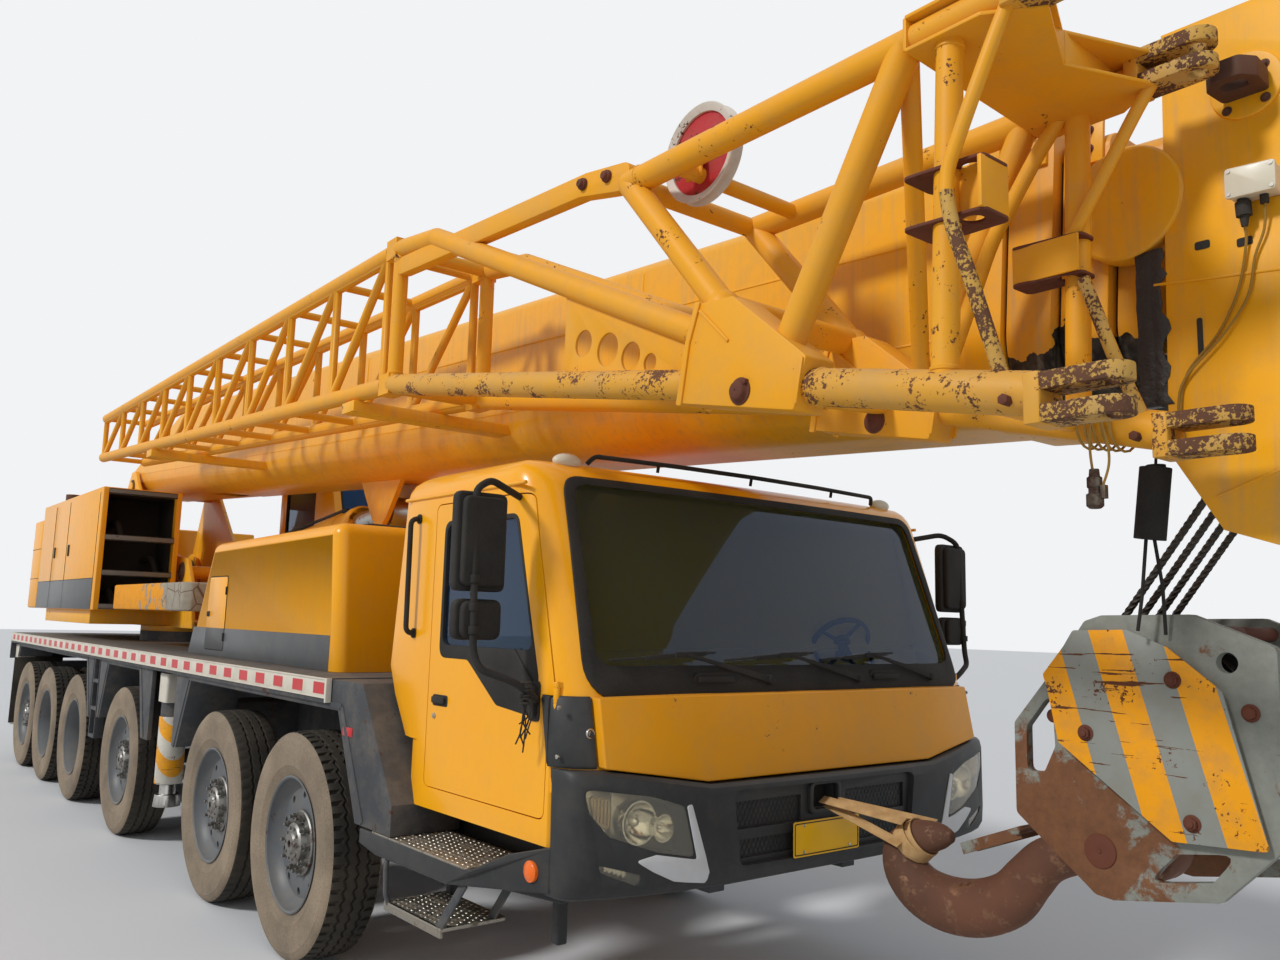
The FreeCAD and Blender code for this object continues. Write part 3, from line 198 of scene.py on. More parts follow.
def rubber(name, colour, dust, least, most, scale=3.0):
    """Carbon-black rubber under dried mud, from the least share of dust to the most."""
    made, tree, surface = blank(name)
    place = add(tree, "ShaderNodeTexCoord").outputs["Object"]
    patches = add(tree, "ShaderNodeTexNoise", {"Vector": place, "Scale": scale, "Detail": 4.0,
                                               "Roughness": 0.55})
    grit = add(tree, "ShaderNodeTexNoise", {"Vector": place, "Scale": 110.0, "Detail": 3.0})
    soft = add(tree, "ShaderNodeMapRange", {0: patches.outputs[0], 1: 0.3, 2: 0.7, 3: least, 4: most})
    fine = add(tree, "ShaderNodeMapRange", {0: grit.outputs[0], 1: 0.35, 2: 0.65, 3: 0.8, 4: 1.1})
    share = add(tree, "ShaderNodeMath", {0: soft.outputs[0], 1: fine.outputs[0]}, operation="MULTIPLY",
                use_clamp=True)
    shade = add(tree, "ShaderNodeMix", {0: share.outputs[0], 6: linear(colour), 7: linear(dust)},
                data_type="RGBA")
    tree.links.new(shade.outputs[2], surface.inputs["Base Color"])
    surface.inputs["Roughness"].default_value = 0.82
    surface.inputs["Specular IOR Level"].default_value = 0.3
    bump = add(tree, "ShaderNodeBump", {"Height": grit.outputs[0], "Strength": 0.25, "Distance": 0.002})
    tree.links.new(bump.outputs[0], surface.inputs["Normal"])
    return made


def enamel(name, colour, faded="#E0B040", dust="#9C8F78", rust="#6A4028", gloss=0.38,
           dusty=0.25, chips=0.0, chip_mm=30, worn_edges=0.0, streaks=0.0, coat=0.25, below=None):
    """Sprayed enamel on steel: clouded by sun, dusted, streaked by rain and chipped down to rust.

    below is a height in metres and the colour under it, for pieces in two colours and for painted shade
    low on a piece, and how ragged the edge between them is.
    """
    made, tree, surface = blank(name)
    place = add(tree, "ShaderNodeTexCoord").outputs["Object"]
    clouds = add(tree, "ShaderNodeTexNoise", {"Vector": place, "Scale": 1.6, "Detail": 5.0,
                                              "Roughness": 0.6})
    fade = add(tree, "ShaderNodeMapRange", {0: clouds.outputs[0], 1: 0.42, 2: 0.68, 3: 0.0, 4: 0.45})
    paint = add(tree, "ShaderNodeMix", {0: fade.outputs[0], 6: linear(colour), 7: linear(faded)},
                data_type="RGBA")
    # Colour under a height: two-tone paint on some pieces, painted shade on others.
    if below:
        height = add(tree, "ShaderNodeSeparateXYZ", {0: place}).outputs["Z"]
        if len(below) > 2:
            height = add(tree, "ShaderNodeMath",
                         {0: add(tree, "ShaderNodeTexNoise",
                                 {"Vector": place, "Scale": 7.0, "Detail": 9.0}).outputs[0],
                                                  1: below[2], 2: height},
                                                  operation="MULTIPLY_ADD").outputs[0]
        lower = add(tree, "ShaderNodeMapRange",
                    {0: height, 1: below[0] - 0.001, 2: below[0] + 0.001, 3: 1.0, 4: 0.0})
        paint = add(tree, "ShaderNodeMix", {0: lower.outputs[0], 6: paint.outputs[2], 7: linear(below[1])},
                    data_type="RGBA")
    grime = add(tree, "ShaderNodeTexNoise", {"Vector": place, "Scale": 6.0, "Detail": 8.0,
                                             "Roughness": 0.7})
    facing = add(tree, "ShaderNodeSeparateXYZ", {0: add(tree, "ShaderNodeNewGeometry").outputs["Normal"]})
    lying = add(tree, "ShaderNodeMapRange", {0: facing.outputs["Z"], 1: 0.2, 2: 1.0, 3: 0.0,
                                             4: 0.5 * dusty})
    clinging = add(tree, "ShaderNodeMapRange", {0: grime.outputs[0], 1: 0.45, 2: 0.75, 3: 0.0, 4: dusty})
    film = add(tree, "ShaderNodeMath", {0: lying.outputs[0], 1: clinging.outputs[0]}, operation="ADD")
    if streaks:
        drawn = add(tree, "ShaderNodeMapping", {"Vector": place, "Scale": (9.0, 9.0, 0.7)})
        rain = add(tree, "ShaderNodeTexNoise", {"Vector": drawn.outputs[0], "Scale": 3.0, "Detail": 4.0})
        run = add(tree, "ShaderNodeMapRange", {0: rain.outputs[0], 1: 0.52, 2: 0.7, 3: 0.0, 4: streaks})
        film = add(tree, "ShaderNodeMath", {0: film.outputs[0], 1: run.outputs[0]}, operation="ADD")
    dusted = add(tree, "ShaderNodeMix", {0: film.outputs[0], 6: paint.outputs[2], 7: linear(dust)},
                 data_type="RGBA")
    base, rough = dusted.outputs[2], gloss
    if chips or worn_edges:
        flakes = add(tree, "ShaderNodeTexNoise",
                     {"Vector": place, "Scale": 1000 / chip_mm, "Detail": 6.0, "Roughness": 0.62})
        areas = add(tree, "ShaderNodeTexNoise", {"Vector": place, "Scale": 110 / chip_mm, "Detail": 2.0})
        heavy = add(tree, "ShaderNodeMath", {0: flakes.outputs[0], 1: areas.outputs[0]}, operation="ADD")
        if worn_edges:
            edge = add(tree, "ShaderNodeMapRange",
                       {0: add(tree, "ShaderNodeNewGeometry").outputs["Pointiness"],
                                                    1: 0.5, 2: 0.62, 3: 0.0, 4: worn_edges})
            heavy = add(tree, "ShaderNodeMath", {0: heavy.outputs[0], 1: edge.outputs[0]}, operation="ADD")
        bare = add(tree, "ShaderNodeMapRange",
                   {0: heavy.outputs[0], 1: 1.34 - chips, 2: 1.38 - chips, 3: 0.0, 4: 1.0})
        tone = add(tree, "ShaderNodeMix", {0: grime.outputs[0], 6: linear(rust), 7: linear("#3B2A22")},
                   data_type="RGBA")
        base = add(tree, "ShaderNodeMix", {0: bare.outputs[0], 6: base, 7: tone.outputs[2]},
                   data_type="RGBA").outputs[2]
        rough = add(tree, "ShaderNodeMapRange", {0: bare.outputs[0], 3: gloss, 4: 0.85}).outputs[0]
        sunk = add(tree, "ShaderNodeBump", {"Height": bare.outputs[0], "Strength": 0.5, "Distance": 0.0015},
                   invert=True)
        tree.links.new(sunk.outputs[0], surface.inputs["Normal"])
    else:
        surface.inputs["Coat Weight"].default_value = 0.4 * coat
        surface.inputs["Coat Roughness"].default_value = 0.12
    surface.inputs["Specular IOR Level"].default_value = 0.3
    tree.links.new(base, surface.inputs["Base Color"])
    if isinstance(rough, float):
        surface.inputs["Roughness"].default_value = rough
    else:
        tree.links.new(rough, surface.inputs["Roughness"])
    return made


def metal(name, colour, rough, rust=0.0, rust_colour="#5B3524", dark="#2A2724"):
    """Bare steel with handled bright places, dark grease and blooms of rust."""
    made, tree, surface = blank(name)
    place = add(tree, "ShaderNodeTexCoord").outputs["Object"]
    bloom = add(tree, "ShaderNodeTexNoise", {"Vector": place, "Scale": 14.0, "Detail": 8.0,
                                             "Roughness": 0.7})
    share = add(tree, "ShaderNodeMapRange", {0: bloom.outputs[0], 1: 0.62 - 0.35 * rust,
                                             2: 0.72 - 0.35 * rust})
    smear = add(tree, "ShaderNodeTexNoise", {"Vector": place, "Scale": 4.0, "Detail": 3.0})
    tone = add(tree, "ShaderNodeMix", {0: smear.outputs[0], 6: linear(rust_colour), 7: linear(dark)},
               data_type="RGBA")
    base = add(tree, "ShaderNodeMix", {0: share.outputs[0], 6: linear(colour), 7: tone.outputs[2]},
               data_type="RGBA")
    shine = add(tree, "ShaderNodeMapRange", {0: share.outputs[0], 3: 1.0, 4: 0.15})
    dull = add(tree, "ShaderNodeMapRange", {0: share.outputs[0], 3: rough, 4: 0.8})
    tree.links.new(base.outputs[2], surface.inputs["Base Color"])
    tree.links.new(shine.outputs[0], surface.inputs["Metallic"])
    tree.links.new(dull.outputs[0], surface.inputs["Roughness"])
    pits = add(tree, "ShaderNodeBump", {"Height": bloom.outputs[0], "Strength": 0.25, "Distance": 0.002})
    tree.links.new(pits.outputs[0], surface.inputs["Normal"])
    return made


def put(name, shape, finish, body, stands_for=(), bevel=0.0, smooth=40, closed=True, segments=2):
    """Sets a drawn shape down as a finished piece: bevelled, shaded, painted and fixed to its body."""
    if closed:
        bmesh.ops.recalc_face_normals(shape, faces=shape.faces)
    shape.transform(DRAWING)
    mesh = bpy.data.meshes.new(name)
    shape.to_mesh(mesh)
    shape.free()
    made = bpy.data.objects.new(name, mesh)
    bpy.context.scene.collection.objects.link(made)
    if bevel:
        round_off = made.modifiers.new("round", "BEVEL")
        round_off.width = bevel / 1000
        round_off.segments = segments
        round_off.limit_method = "ANGLE"
        round_off.angle_limit = math.radians(35)
        round_off.harden_normals = False
        settled(made)
    made.data.polygons.foreach_set("use_smooth", [True] * len(made.data.polygons))
    made.data.set_sharp_from_angle(angle=math.radians(smooth))
    if not made.data.materials:
        for one in finish if isinstance(finish, (list, tuple)) else [finish]:
            made.data.materials.append(one)
    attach(made, body)
    if stands_for:
        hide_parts(*stands_for)
    return made


def settled(made):
    """Applies a piece's modifiers."""
    graph = bpy.context.evaluated_depsgraph_get()
    mesh = bpy.data.meshes.new_from_object(made.evaluated_get(graph))
    made.modifiers.clear()
    old = made.data
    made.data = mesh
    bpy.data.meshes.remove(old)


def softened(node, finish, body, bevel=6, smooth=35):
    """A carried-over solid with its edges broken as a welder's or a caster's are."""
    shape = bmesh.new()
    shape.from_mesh(frame["nodes"][node].data)
    bmesh.ops.remove_doubles(shape, verts=shape.verts, dist=0.00005)
    bmesh.ops.dissolve_limit(shape, angle_limit=math.radians(2), verts=shape.verts, edges=shape.edges)
    shape.transform(DRAWING.inverted())
    return put(node + "_dressed", shape, finish, body, [node], bevel=bevel, smooth=smooth,
               closed=False)


def walls(shape, rings, round_again=False):
    """The faces between rings of like count, and from the last to the first if they come round."""
    for one, two in zip(rings, rings[1:] + rings[:1] if round_again else rings[1:]):
        for i in range(len(one)):
            j = (i + 1) % len(one)
            shape.faces.new((one[i], one[j], two[j], two[i]))


def lathe(shape, profile, centre, steps=48, axis="Y", matrix=None):
    """Turns a closed profile of along, radius points about a line through centre."""
    rings = []
    for k in range(steps):
        turn = 2 * math.pi * k / steps
        ring = []
        for along, radius in profile:
            a, b = radius * math.cos(turn), radius * math.sin(turn)
            spot = Vector({"X": (along, a, b), "Y": (a, along, b), "Z": (a, b, along)}[axis])
            ring.append(shape.verts.new((matrix @ spot if matrix else spot) + Vector(centre)))
        rings.append(ring)
    walls(shape, rings, True)


def rod(shape, start, end, radius, sides=20, end_radius=None):
    """A round bar between two places."""
    start, end = Vector(start), Vector(end)
    line = end - start
    turn = line.to_track_quat("Z", "Y").to_matrix().to_4x4()
    bmesh.ops.create_cone(
        shape, cap_ends=True, segments=sides, radius1=radius,
        radius2=radius if end_radius is None else end_radius,
        depth=line.length, matrix=Matrix.Translation((start + end) / 2) @ turn)


def prism(shape, plane, outline, low, high):
    """A flat outline drawn in a plane (xz, xy or yz) and drawn out from low to high across it."""
    a, b, c = {"xz": (0, 2, 1), "xy": (0, 1, 2), "yz": (1, 2, 0)}[plane]
    rings = []
    for level in (low, high):
        ring = []
        for u, v in outline:
            spot = [0.0, 0.0, 0.0]
            spot[a], spot[b], spot[c] = u, v, level
            ring.append(shape.verts.new(spot))
        rings.append(ring)
    shape.faces.new(rings[0])
    shape.faces.new(list(reversed(rings[1])))
    for i in range(len(outline)):
        j = (i + 1) % len(outline)
        shape.faces.new((rings[0][i], rings[1][i], rings[1][j], rings[0][j]))


def block(shape, x0, x1, y0, y1, z0, z1):
    prism(shape, "xy", rectangle(x0, x1, y0, y1), z0, z1)


def rectangle(a0, a1, b0, b1):
    return [(a0, b0), (a1, b0), (a1, b1), (a0, b1)]


def beside(side, one, other):
    """Two places across the crane on one side of it, the lower first."""
    return sorted((side * one, side * other))


def rounded(outline, radius, steps=5):
    """An outline with its corners turned into arcs."""
    result = []
    count = len(outline)
    for i, corner in enumerate(outline):
        here = Vector(corner)
        back, on = Vector(outline[i - 1]) - here, Vector(outline[(i + 1) % count]) - here
        reach = radius[i] if isinstance(radius, (list, tuple)) else radius
        half = back.angle(on) / 2
        cut = min(reach / math.tan(half), 0.49 * back.length, 0.49 * on.length)
        first, last = here + back.normalized() * cut, here + on.normalized() * cut
        for k in range(steps + 1):
            t = k / steps
            result.append(tuple((1 - t) ** 2 * first + 2 * t * (1 - t) * here + t ** 2 * last))
    return result


def combined(shape, tool, operation="DIFFERENCE"):
    """One drawn shape cut by another, or kept within it."""
    pair = []
    for part in (shape, tool):
        bmesh.ops.recalc_face_normals(part, faces=part.faces)
        mesh = bpy.data.meshes.new("cutting")
        part.to_mesh(mesh)
        pair.append(bpy.data.objects.new("cutting", mesh))
        bpy.context.scene.collection.objects.link(pair[-1])
    cutting = pair[0].modifiers.new("cut", "BOOLEAN")
    cutting.object = pair[1]
    cutting.operation = operation
    cutting.solver = "EXACT"
    graph = bpy.context.evaluated_depsgraph_get()
    mesh = bpy.data.meshes.new_from_object(pair[0].evaluated_get(graph))
    shape.free()
    tool.free()
    result = bmesh.new()
    result.from_mesh(mesh)
    for one in pair:
        old = one.data
        bpy.data.objects.remove(one)
        bpy.data.meshes.remove(old)
    bpy.data.meshes.remove(mesh)
    return result


def joined(shape, part):
    """Adds a part that was drawn on its own to a shape."""
    mesh = bpy.data.meshes.new("part")
    part.to_mesh(mesh)
    part.free()
    shape.from_mesh(mesh)
    bpy.data.meshes.remove(mesh)
    return shape


def mirrored(shape):
    """Adds the same shape on the other side of the crane."""
    copy = shape.copy()
    bmesh.ops.scale(copy, vec=(1, -1, 1), verts=copy.verts)
    bmesh.ops.reverse_faces(copy, faces=copy.faces)
    return joined(shape, copy)


tread_rubber = rubber("tyre tread rubber", "#201F1D", "#6A6051", 0.05, 0.35)
wall_rubber = rubber("dusty tyre sidewall", "#3A3631", "#978671", 0.5, 1.0)
rim_enamel = enamel("grey rim enamel", "#5C5F62", faded="#6C6F70", dust="#807564", gloss=0.45, dusty=0.4,
                    chips=0.05)
bare_steel = metal("bare steel", "#8A8883", 0.42, rust=0.25)

PITCHES = 60
PITCH_STEPS = (0.0, 0.60, 0.64, 0.96)     # shares of a lug's pitch: lug top, lug foot, gap, gap foot
TREAD_DEPTH = 15
SIDEWALL = (                              # across from the tyre's middle, radius
    (132, 603), (145, 588), (152, 570), (153, 566), (156, 562), (157, 530), (157.5, 495), (156, 462),
    (151, 430), (152, 426), (148, 418), (139, 396), (130, 378), (127.5, 363),
)
ROWS = (                                  # across, deep in a lug gap, deep all round, zigzag
    (122, 1.0, 0, 0), (96, 1.0, 0, 0), (80, 0.0, 0, 8), (68, 0, 0, 8), (64, 0, 1, 8), (54, 0, 1, 8),
    (50, 0, 0, 8),
    (24, 0, 0, 8), (8, 0, 0, 8), (5, 0, 1, 8), (-5, 0, 1, 8), (-8, 0, 0, 8), (-24, 0, 0, 8), (-50, 0, 0, 8),
    (-54, 0, 1, 8), (-64, 0, 1, 8), (-68, 0, 0, 8), (-80, 0, 0, 8), (-96, 1.0, 0, 0), (-122, 1.0, 0, 0),
)


def tyre(shape, centre, lugs):
    """A tyre whose tread is lugs at the shoulder and zigzag ribs between."""
    rings = []
    for k in range(PITCHES):
        for share in PITCH_STEPS:
            turn = 2 * math.pi * (k + share) / PITCHES
            gap = share > 0.6
            side = 1 if share < 0.3 or share > 0.9 else -1
            profile = [(-across, radius) for across, radius in reversed(SIDEWALL)]
            for across, in_gap, groove, zigzag in reversed(ROWS):
                deep = TREAD_DEPTH * (groove or (in_gap * lugs if gap else 0))
                crown = 5 * (across / 122) ** 2
                profile.append((across + zigzag * side * (0.4 + 0.6 * lugs), TYRE_R - crown - deep))
            profile += [(across, radius - (8 * lugs if gap and across < 150 else 0)) for across,
                        radius in SIDEWALL]
            ring = [
                shape.verts.new((centre[0] + radius * math.cos(turn), centre[1] + across,
                                 centre[2] + radius * math.sin(turn)))
                for across, radius in profile
            ]
            rings.append(ring)
    count = len(rings[0])
    wall = len(SIDEWALL)
    for k, one in enumerate(rings):
        two = rings[(k + 1) % len(rings)]
        for i in range(count):
            face = shape.faces.new((one[i], one[(i + 1) % count], two[(i + 1) % count], two[i]))
            face.material_index = 0 if wall - 2 < i < count - wall else 1


RIM_FACE = ((127.2, 362), (137, 368), (140, 360), (133, 351), (112, 345), (92, 331))


def rim(centre, disc, outward):
    """A pressed rim with ten hand holes; disc is where its face stands, outward which way it looks."""
    shape = bmesh.new()
    profile = list(RIM_FACE) + [(disc + 12, 314), (disc, 296), (disc + 6, 240), (disc, 188), (disc, 100)]
    profile += [(disc - 90, 100), (disc - 90, 150), (disc - 18, 175), (disc - 16, 280), (disc - 30, 322)]
    if disc - 30 > -60:
        profile += [(-60, 330)]
    profile += [(-127, 336), (-137, 368), (-127.2, 362)]
    lathe(shape, profile, (0, 0, 0), 72)
    holes = bmesh.new()
    for k in range(10):
        turn = 2 * math.pi * (k + 0.5) / 10
        spot = Vector((262 * math.cos(turn), 0, 262 * math.sin(turn)))
        rod(holes, spot + Vector((0, disc - 60, 0)), spot + Vector((0, disc + 40, 0)), 21, 16)
    shape = combined(shape, holes)
    bmesh.ops.rotate(shape, matrix=Matrix.Rotation(0 if outward > 0 else math.pi, 3, "Z"),
                     verts=shape.verts)
    bmesh.ops.translate(shape, vec=centre, verts=shape.verts)
    return shape


def hub(shape, centre, disc, outward):
    """Hub with its flange, ten wheel nuts on studs and the cap's ring of bolts."""
    part = bmesh.new()
    lathe(part, ((disc - 8, 20), (disc - 8, 178), (disc + 14, 178), (disc + 20, 170), (disc + 20, 120),
                 (disc + 52, 112),
                 (disc + 62, 100), (disc + 64, 60), (disc + 74, 52), (disc + 76, 20)), (0, 0, 0), 40)
    for k in range(10):
        turn = 2 * math.pi * k / 10
        spot = Vector((146 * math.cos(turn), 0, 146 * math.sin(turn)))
        rod(part, spot + Vector((0, disc + 20, 0)), spot + Vector((0, disc + 27, 0)), 22, 16)
        rod(part, spot + Vector((0, disc + 27, 0)), spot + Vector((0, disc + 50, 0)), 17, 6)
        rod(part, spot + Vector((0, disc + 50, 0)), spot + Vector((0, disc + 68, 0)), 10, 10)
        spot = Vector((84 * math.cos(turn), 0, 84 * math.sin(turn)))
        rod(part, spot + Vector((0, disc + 60, 0)), spot + Vector((0, disc + 70, 0)), 9, 6)
    bmesh.ops.rotate(part, matrix=Matrix.Rotation(0 if outward > 0 else math.pi, 3, "Z"), verts=part.verts)
    bmesh.ops.translate(part, vec=centre, verts=part.verts)
    joined(shape, part)


SIDES = (("left", 1), ("right", -1))
AXLES = (                      # number, place, twin, how far the tread is lugs rather than ribs
    (1, 0, False, 1.0), (2, -1430, False, 0.15), (3, -3950, False, 0.3),
    (4, -5900, True, 0.8), (5, -7360, True, 0.8), (6, -8670, False, 0.8),
)
for number, place, twin, lugs in AXLES:
    for name, side in SIDES:
        node = "wheel_%d_%s" % (number, name)
        outer = Vector((place, side * (TYRE_OUTER_Y - TYRE_W / 2), TYRE_R))
        inner = outer - Vector((0, side * TWIN_PITCH, 0))
        rubber_shape = bmesh.new()
        steel_shape = bmesh.new()
        tyre(rubber_shape, outer, lugs)
        disc = -60 if twin else 60
        rims = [rim(outer, disc, side)]
        if twin:
            tyre(rubber_shape, inner, lugs)
            rims.append(rim(inner, -60, -side))
        hub(steel_shape, outer, disc, side)
        for k, shape in enumerate(rims):
            put("%s_rim_%d" % (node, k + 1), shape, rim_enamel, node, smooth=30)
        put(node + "_hub", steel_shape, bare_steel, node, smooth=30)
        put(node + "_tyre", rubber_shape, (tread_rubber, wall_rubber), node, [node],
            smooth=28)

# Axles, knuckles and the frame: welded plate and forgings under grey-black chassis paint, thick with
# road dust.
chassis_paint = enamel("grey chassis paint", "#3D3F42", faded="#55575A", dust="#7C7264", gloss=0.6,
                       dusty=0.5, chips=0.05)
forged_steel = metal("greasy forging", "#3A3836", 0.55, rust=0.45)
for number, place, twin, lugs in AXLES:
    for name in ("left", "right"):
        if not twin:
            node = "knuckle_%d_%s" % (number, name)
            softened(node, forged_steel, node, bevel=5)
softened("axle_beams", chassis_paint, "carrier", bevel=6)
softened("carrier_frame", chassis_paint, "carrier", bevel=4)
softened("deck", chassis_paint, "carrier", bevel=5)

# Outriggers: box beams with standing jack housings, grey like the frame, and bright jack rods.
jack_steel = metal("ground jack rod", "#A9A7A2", 0.3, rust=0.1)
for name in ("front_left", "front_right", "rear_left", "rear_right"):
    softened("outrigger_beam_" + name, chassis_paint, "outrigger_beam_" + name, bevel=6)
    softened("outrigger_jack_" + name, jack_steel, "outrigger_jack_" + name, bevel=3)

# Driving cab: pressed and welded steel shell in yellow enamel with a bowed, rounded front. It is drawn as
# level outlines one above the other and cut where the doors and windows sit.
CAB_Y = 1360
CAB_WALL = 60
CAB_REAR = ((1010, 1310), (1600, 880), (2600, 1000))          # height, place of the rear wall
CAB_FRONT = ((1310, 2600), (1640, 2530), (2530, 2222))        # height, foremost place of the skin
CORNER_Y = 1190                                               # where the front starts to turn the corner
CORNER_DEPTH = 175
BOW = 38


def between(table, height):
    """Reads a table of height, value pairs along straight lines."""
    for (low, a), (high, b) in zip(table, table[1:]):
        if height <= high:
            return a + (b - a) * (height - low) / (high - low)
    return table[-1][1]


def fallback(y):
    """How far the front skin stands behind its foremost line at a place across the cab."""
    reach = abs(y)
    if reach <= CORNER_Y:
        return BOW * (reach / CORNER_Y) ** 2
    share = min((reach - CORNER_Y) / (CAB_Y - CORNER_Y), 1.0)
    return BOW + CORNER_DEPTH * (1 - math.sqrt(max(0.0, 1 - share * share)))


def front(y, z):
    """The front skin's place ahead, for a place across and a height."""
    return between(CAB_FRONT, z) - fallback(y)


ACROSS = [CAB_Y * math.sin(math.pi / 2 * k / 14) for k in range(15)]
ROOF_LEVELS = ((2470, 0), (2510, 6), (2545, 22), (2570, 48), (2588, 90), (2597, 150))


def cab_outline(z, inset, drop_front):
    """One level of the shell, from the middle of the front round the left side and back."""
    low_front = z < 1310
    right_half = []
    for y in ACROSS:
        x = (2440 - 0.2 * fallback(y)) if low_front else front(y, z)
        right_half.append((x - inset - drop_front, min(y, CAB_Y - inset)))
    rear = between(CAB_REAR, z) + inset
    half = right_half + [(rear + 120, CAB_Y - inset), (rear + 30, CAB_Y - inset - 20),
                         (rear, CAB_Y - inset - 100), (rear, 0)]
    return half + [(x, -y) for x, y in reversed(half[1:-1])]


def cab_body(inset):
    """The cab as a closed body, drawn in by inset all round."""
    shape = bmesh.new()
    levels = [(1010 + inset, 0), (1130, 0), (1309.5 + inset, 0), (1310 + inset, 0),
              (1400, 0), (1500, 0), (1640, 0), (1800, 0), (2000, 0), (2200, 0), (2400, 0)]
    levels += [(z - inset * (z > 2470), back) for z, back in ROOF_LEVELS]
    rings = []
    for z, back in levels:
        low = z < 1310 + inset - 0.1
        points = cab_outline(1200 if low else max(z, 1310), inset + back, 0.6 * back)
        rings.append([shape.verts.new((x, y, z)) for x, y in points])
    walls(shape, rings)
    shape.faces.new(list(reversed(rings[0])))
    shape.faces.new(rings[-1])
    return shape


DOOR = ((1370, 1110), (2370, 1110), (2372, 1380), (2400, 1600), (2160, 2420), (1370, 2420))
DOOR_WINDOW = ((1455, 1700), (1720, 1700), (1980, 1520), (2310, 1490), (2300, 1660), (2095, 2340),
               (1455, 2340))
SCREEN = ((-1232, 1690), (1232, 1690), (1190, 2492), (-1190, 2492))


def side_block(outline, gap, radius):
    """A door or window outline as a block through the left wall."""
    shape = bmesh.new()
    centre = Vector((sum(p[0] for p in outline) / len(outline), sum(p[1] for p in outline) / len(outline)))
    wide = [tuple(Vector(p) + (Vector(p) - centre).normalized() * gap * 1.3) for p in outline]
    prism(shape, "xz", rounded(wide, radius), 1240, 1700)
    return shape


cab_yellow = enamel("cab yellow enamel", "#FAAA00", faded="#FBB20A", gloss=0.3, dusty=0.06, coat=0.5,
                    streaks=0.03)
shell = combined(cab_body(0), cab_body(CAB_WALL))
opening = side_block(DOOR, 5, 45)
shell = combined(shell, mirrored(opening))
hole = bmesh.new()
prism(hole, "yz", rounded(SCREEN, 70), 2000, 2900)
shell = combined(shell, hole)
hole = bmesh.new()
block(hole, 600, 1200, -900, 900, 1800, 2380)
shell = combined(shell, hole)
HINGE_X, HINGE_Y = 2412, 1345
HINGE_LEVELS = (1240, 1560)
hinges = bmesh.new()
for side in (1, -1):
    for z in HINGE_LEVELS:
        for low in (z - 22.3, z + 60.3):
            rod(hinges, (HINGE_X, side * HINGE_Y, low), (HINGE_X, side * HINGE_Y, low + 22), 14, 16)
            block(hinges, HINGE_X - 8, HINGE_X + 12, *beside(side, 1285, HINGE_Y), low, low + 22)
put("cab_hinge_lugs", hinges, cab_yellow, "carrier", bevel=1)
put("cab_body_shell", shell, cab_yellow, "carrier", ["cab_shell"], smooth=32)

# Cab doors: the shell's own pressing, hung on two lugs, with a black lower window panel, glass and
# mirror arm.
# Black trim, also used for flat patches of painted shade: the grille's back and the head's slots.
trim_and_shade_black = rubber("black moulded trim and painted shade", "#191919", "#5E5950", 0.05, 0.28)
grey_plastic = enamel("grained grey plastic", "#2A2B2D", faded="#363737", dust="#6F675B", gloss=0.5,
                      dusty=0.15, coat=0.0)
door_shape = combined(combined(cab_body(0), cab_body(CAB_WALL)), side_block(DOOR, 0, 42), "INTERSECT")
door_shape = combined(door_shape, side_block(DOOR_WINDOW, 0, 60))
door_mesh = bpy.data.meshes.new("door")
door_shape.to_mesh(door_mesh)
door_shape.free()


def glazing(name, tint, painted_sky_tint="#FFFFFF", roughness=0.02):
    """Laminated safety glass, seen through; a tint on its reflections paints in a sky reflection."""
    made, tree, surface = blank(name)
    surface.inputs["Base Color"].default_value = linear(tint)
    surface.inputs["Roughness"].default_value = roughness
    surface.inputs["IOR"].default_value = 1.52
    surface.inputs["Transmission Weight"].default_value = 0.95
    surface.inputs["Specular Tint"].default_value = linear(painted_sky_tint)
    return made


# The blue reflection tint is a painted sky reflection.
screen_glass = glazing("tinted screen glass", "#5C80A8", "#6A9AE8")
for name, side in SIDES:
    body = "cab_door_" + name
    shape = bmesh.new()
    shape.from_mesh(door_mesh)
    if side < 0:
        bmesh.ops.scale(shape, vec=(1, -1, 1), verts=shape.verts)
        bmesh.ops.reverse_faces(shape, faces=shape.faces)
    put(body + "_panel", shape, cab_yellow, body, [body], smooth=32)
    shape = bmesh.new()
    low, high = beside(side, 1341, 1347)
    prism(shape, "xz", rounded([(1470, 1752), (2262, 1752), (2088, 2325), (1470, 2325)], 45), low, high)
    put(body + "_glass", shape, screen_glass, body)
    shape = bmesh.new()
    outer_line = rounded(DOOR_WINDOW, 60)
    low, high = beside(side, 1330, 1361)
    prism(shape, "xz", outer_line, low, high)
    window = bmesh.new()
    low, high = beside(side, 1300, 1400)
    prism(window, "xz", rounded([(1480, 1760), (2252, 1760), (2082, 2318), (1480, 2318)], 45), low, high)
    put(body + "_trim", combined(shape, window), trim_and_shade_black, body, bevel=2)
    shape = bmesh.new()
    for z in HINGE_LEVELS:
        rod(shape, (HINGE_X, side * HINGE_Y, z), (HINGE_X, side * HINGE_Y, z + 60), 14, 16)
        block(shape, HINGE_X - 60, HINGE_X, *beside(side, 1336, 1344), z, z + 60)
    put(body + "_hinges", shape, cab_yellow, body, bevel=1)

# Windscreen surround and glass: a moulded black frame is bonded round the glass, deeper below it, where
# three wipers sit between two grab recesses.
SCREEN_GLASS = ((-1200, 1708), (1200, 1708), (1162, 2478), (-1162, 2478))
SURROUND = ((-1264, 1576), (1264, 1576), (1206, 2514), (-1206, 2514))
WIPERS = ((-1141, -579, -278), (-520, 53, 346), (96, 671, 958))     # blade's ends and the pivot, across
GRABS = (-600, 570)


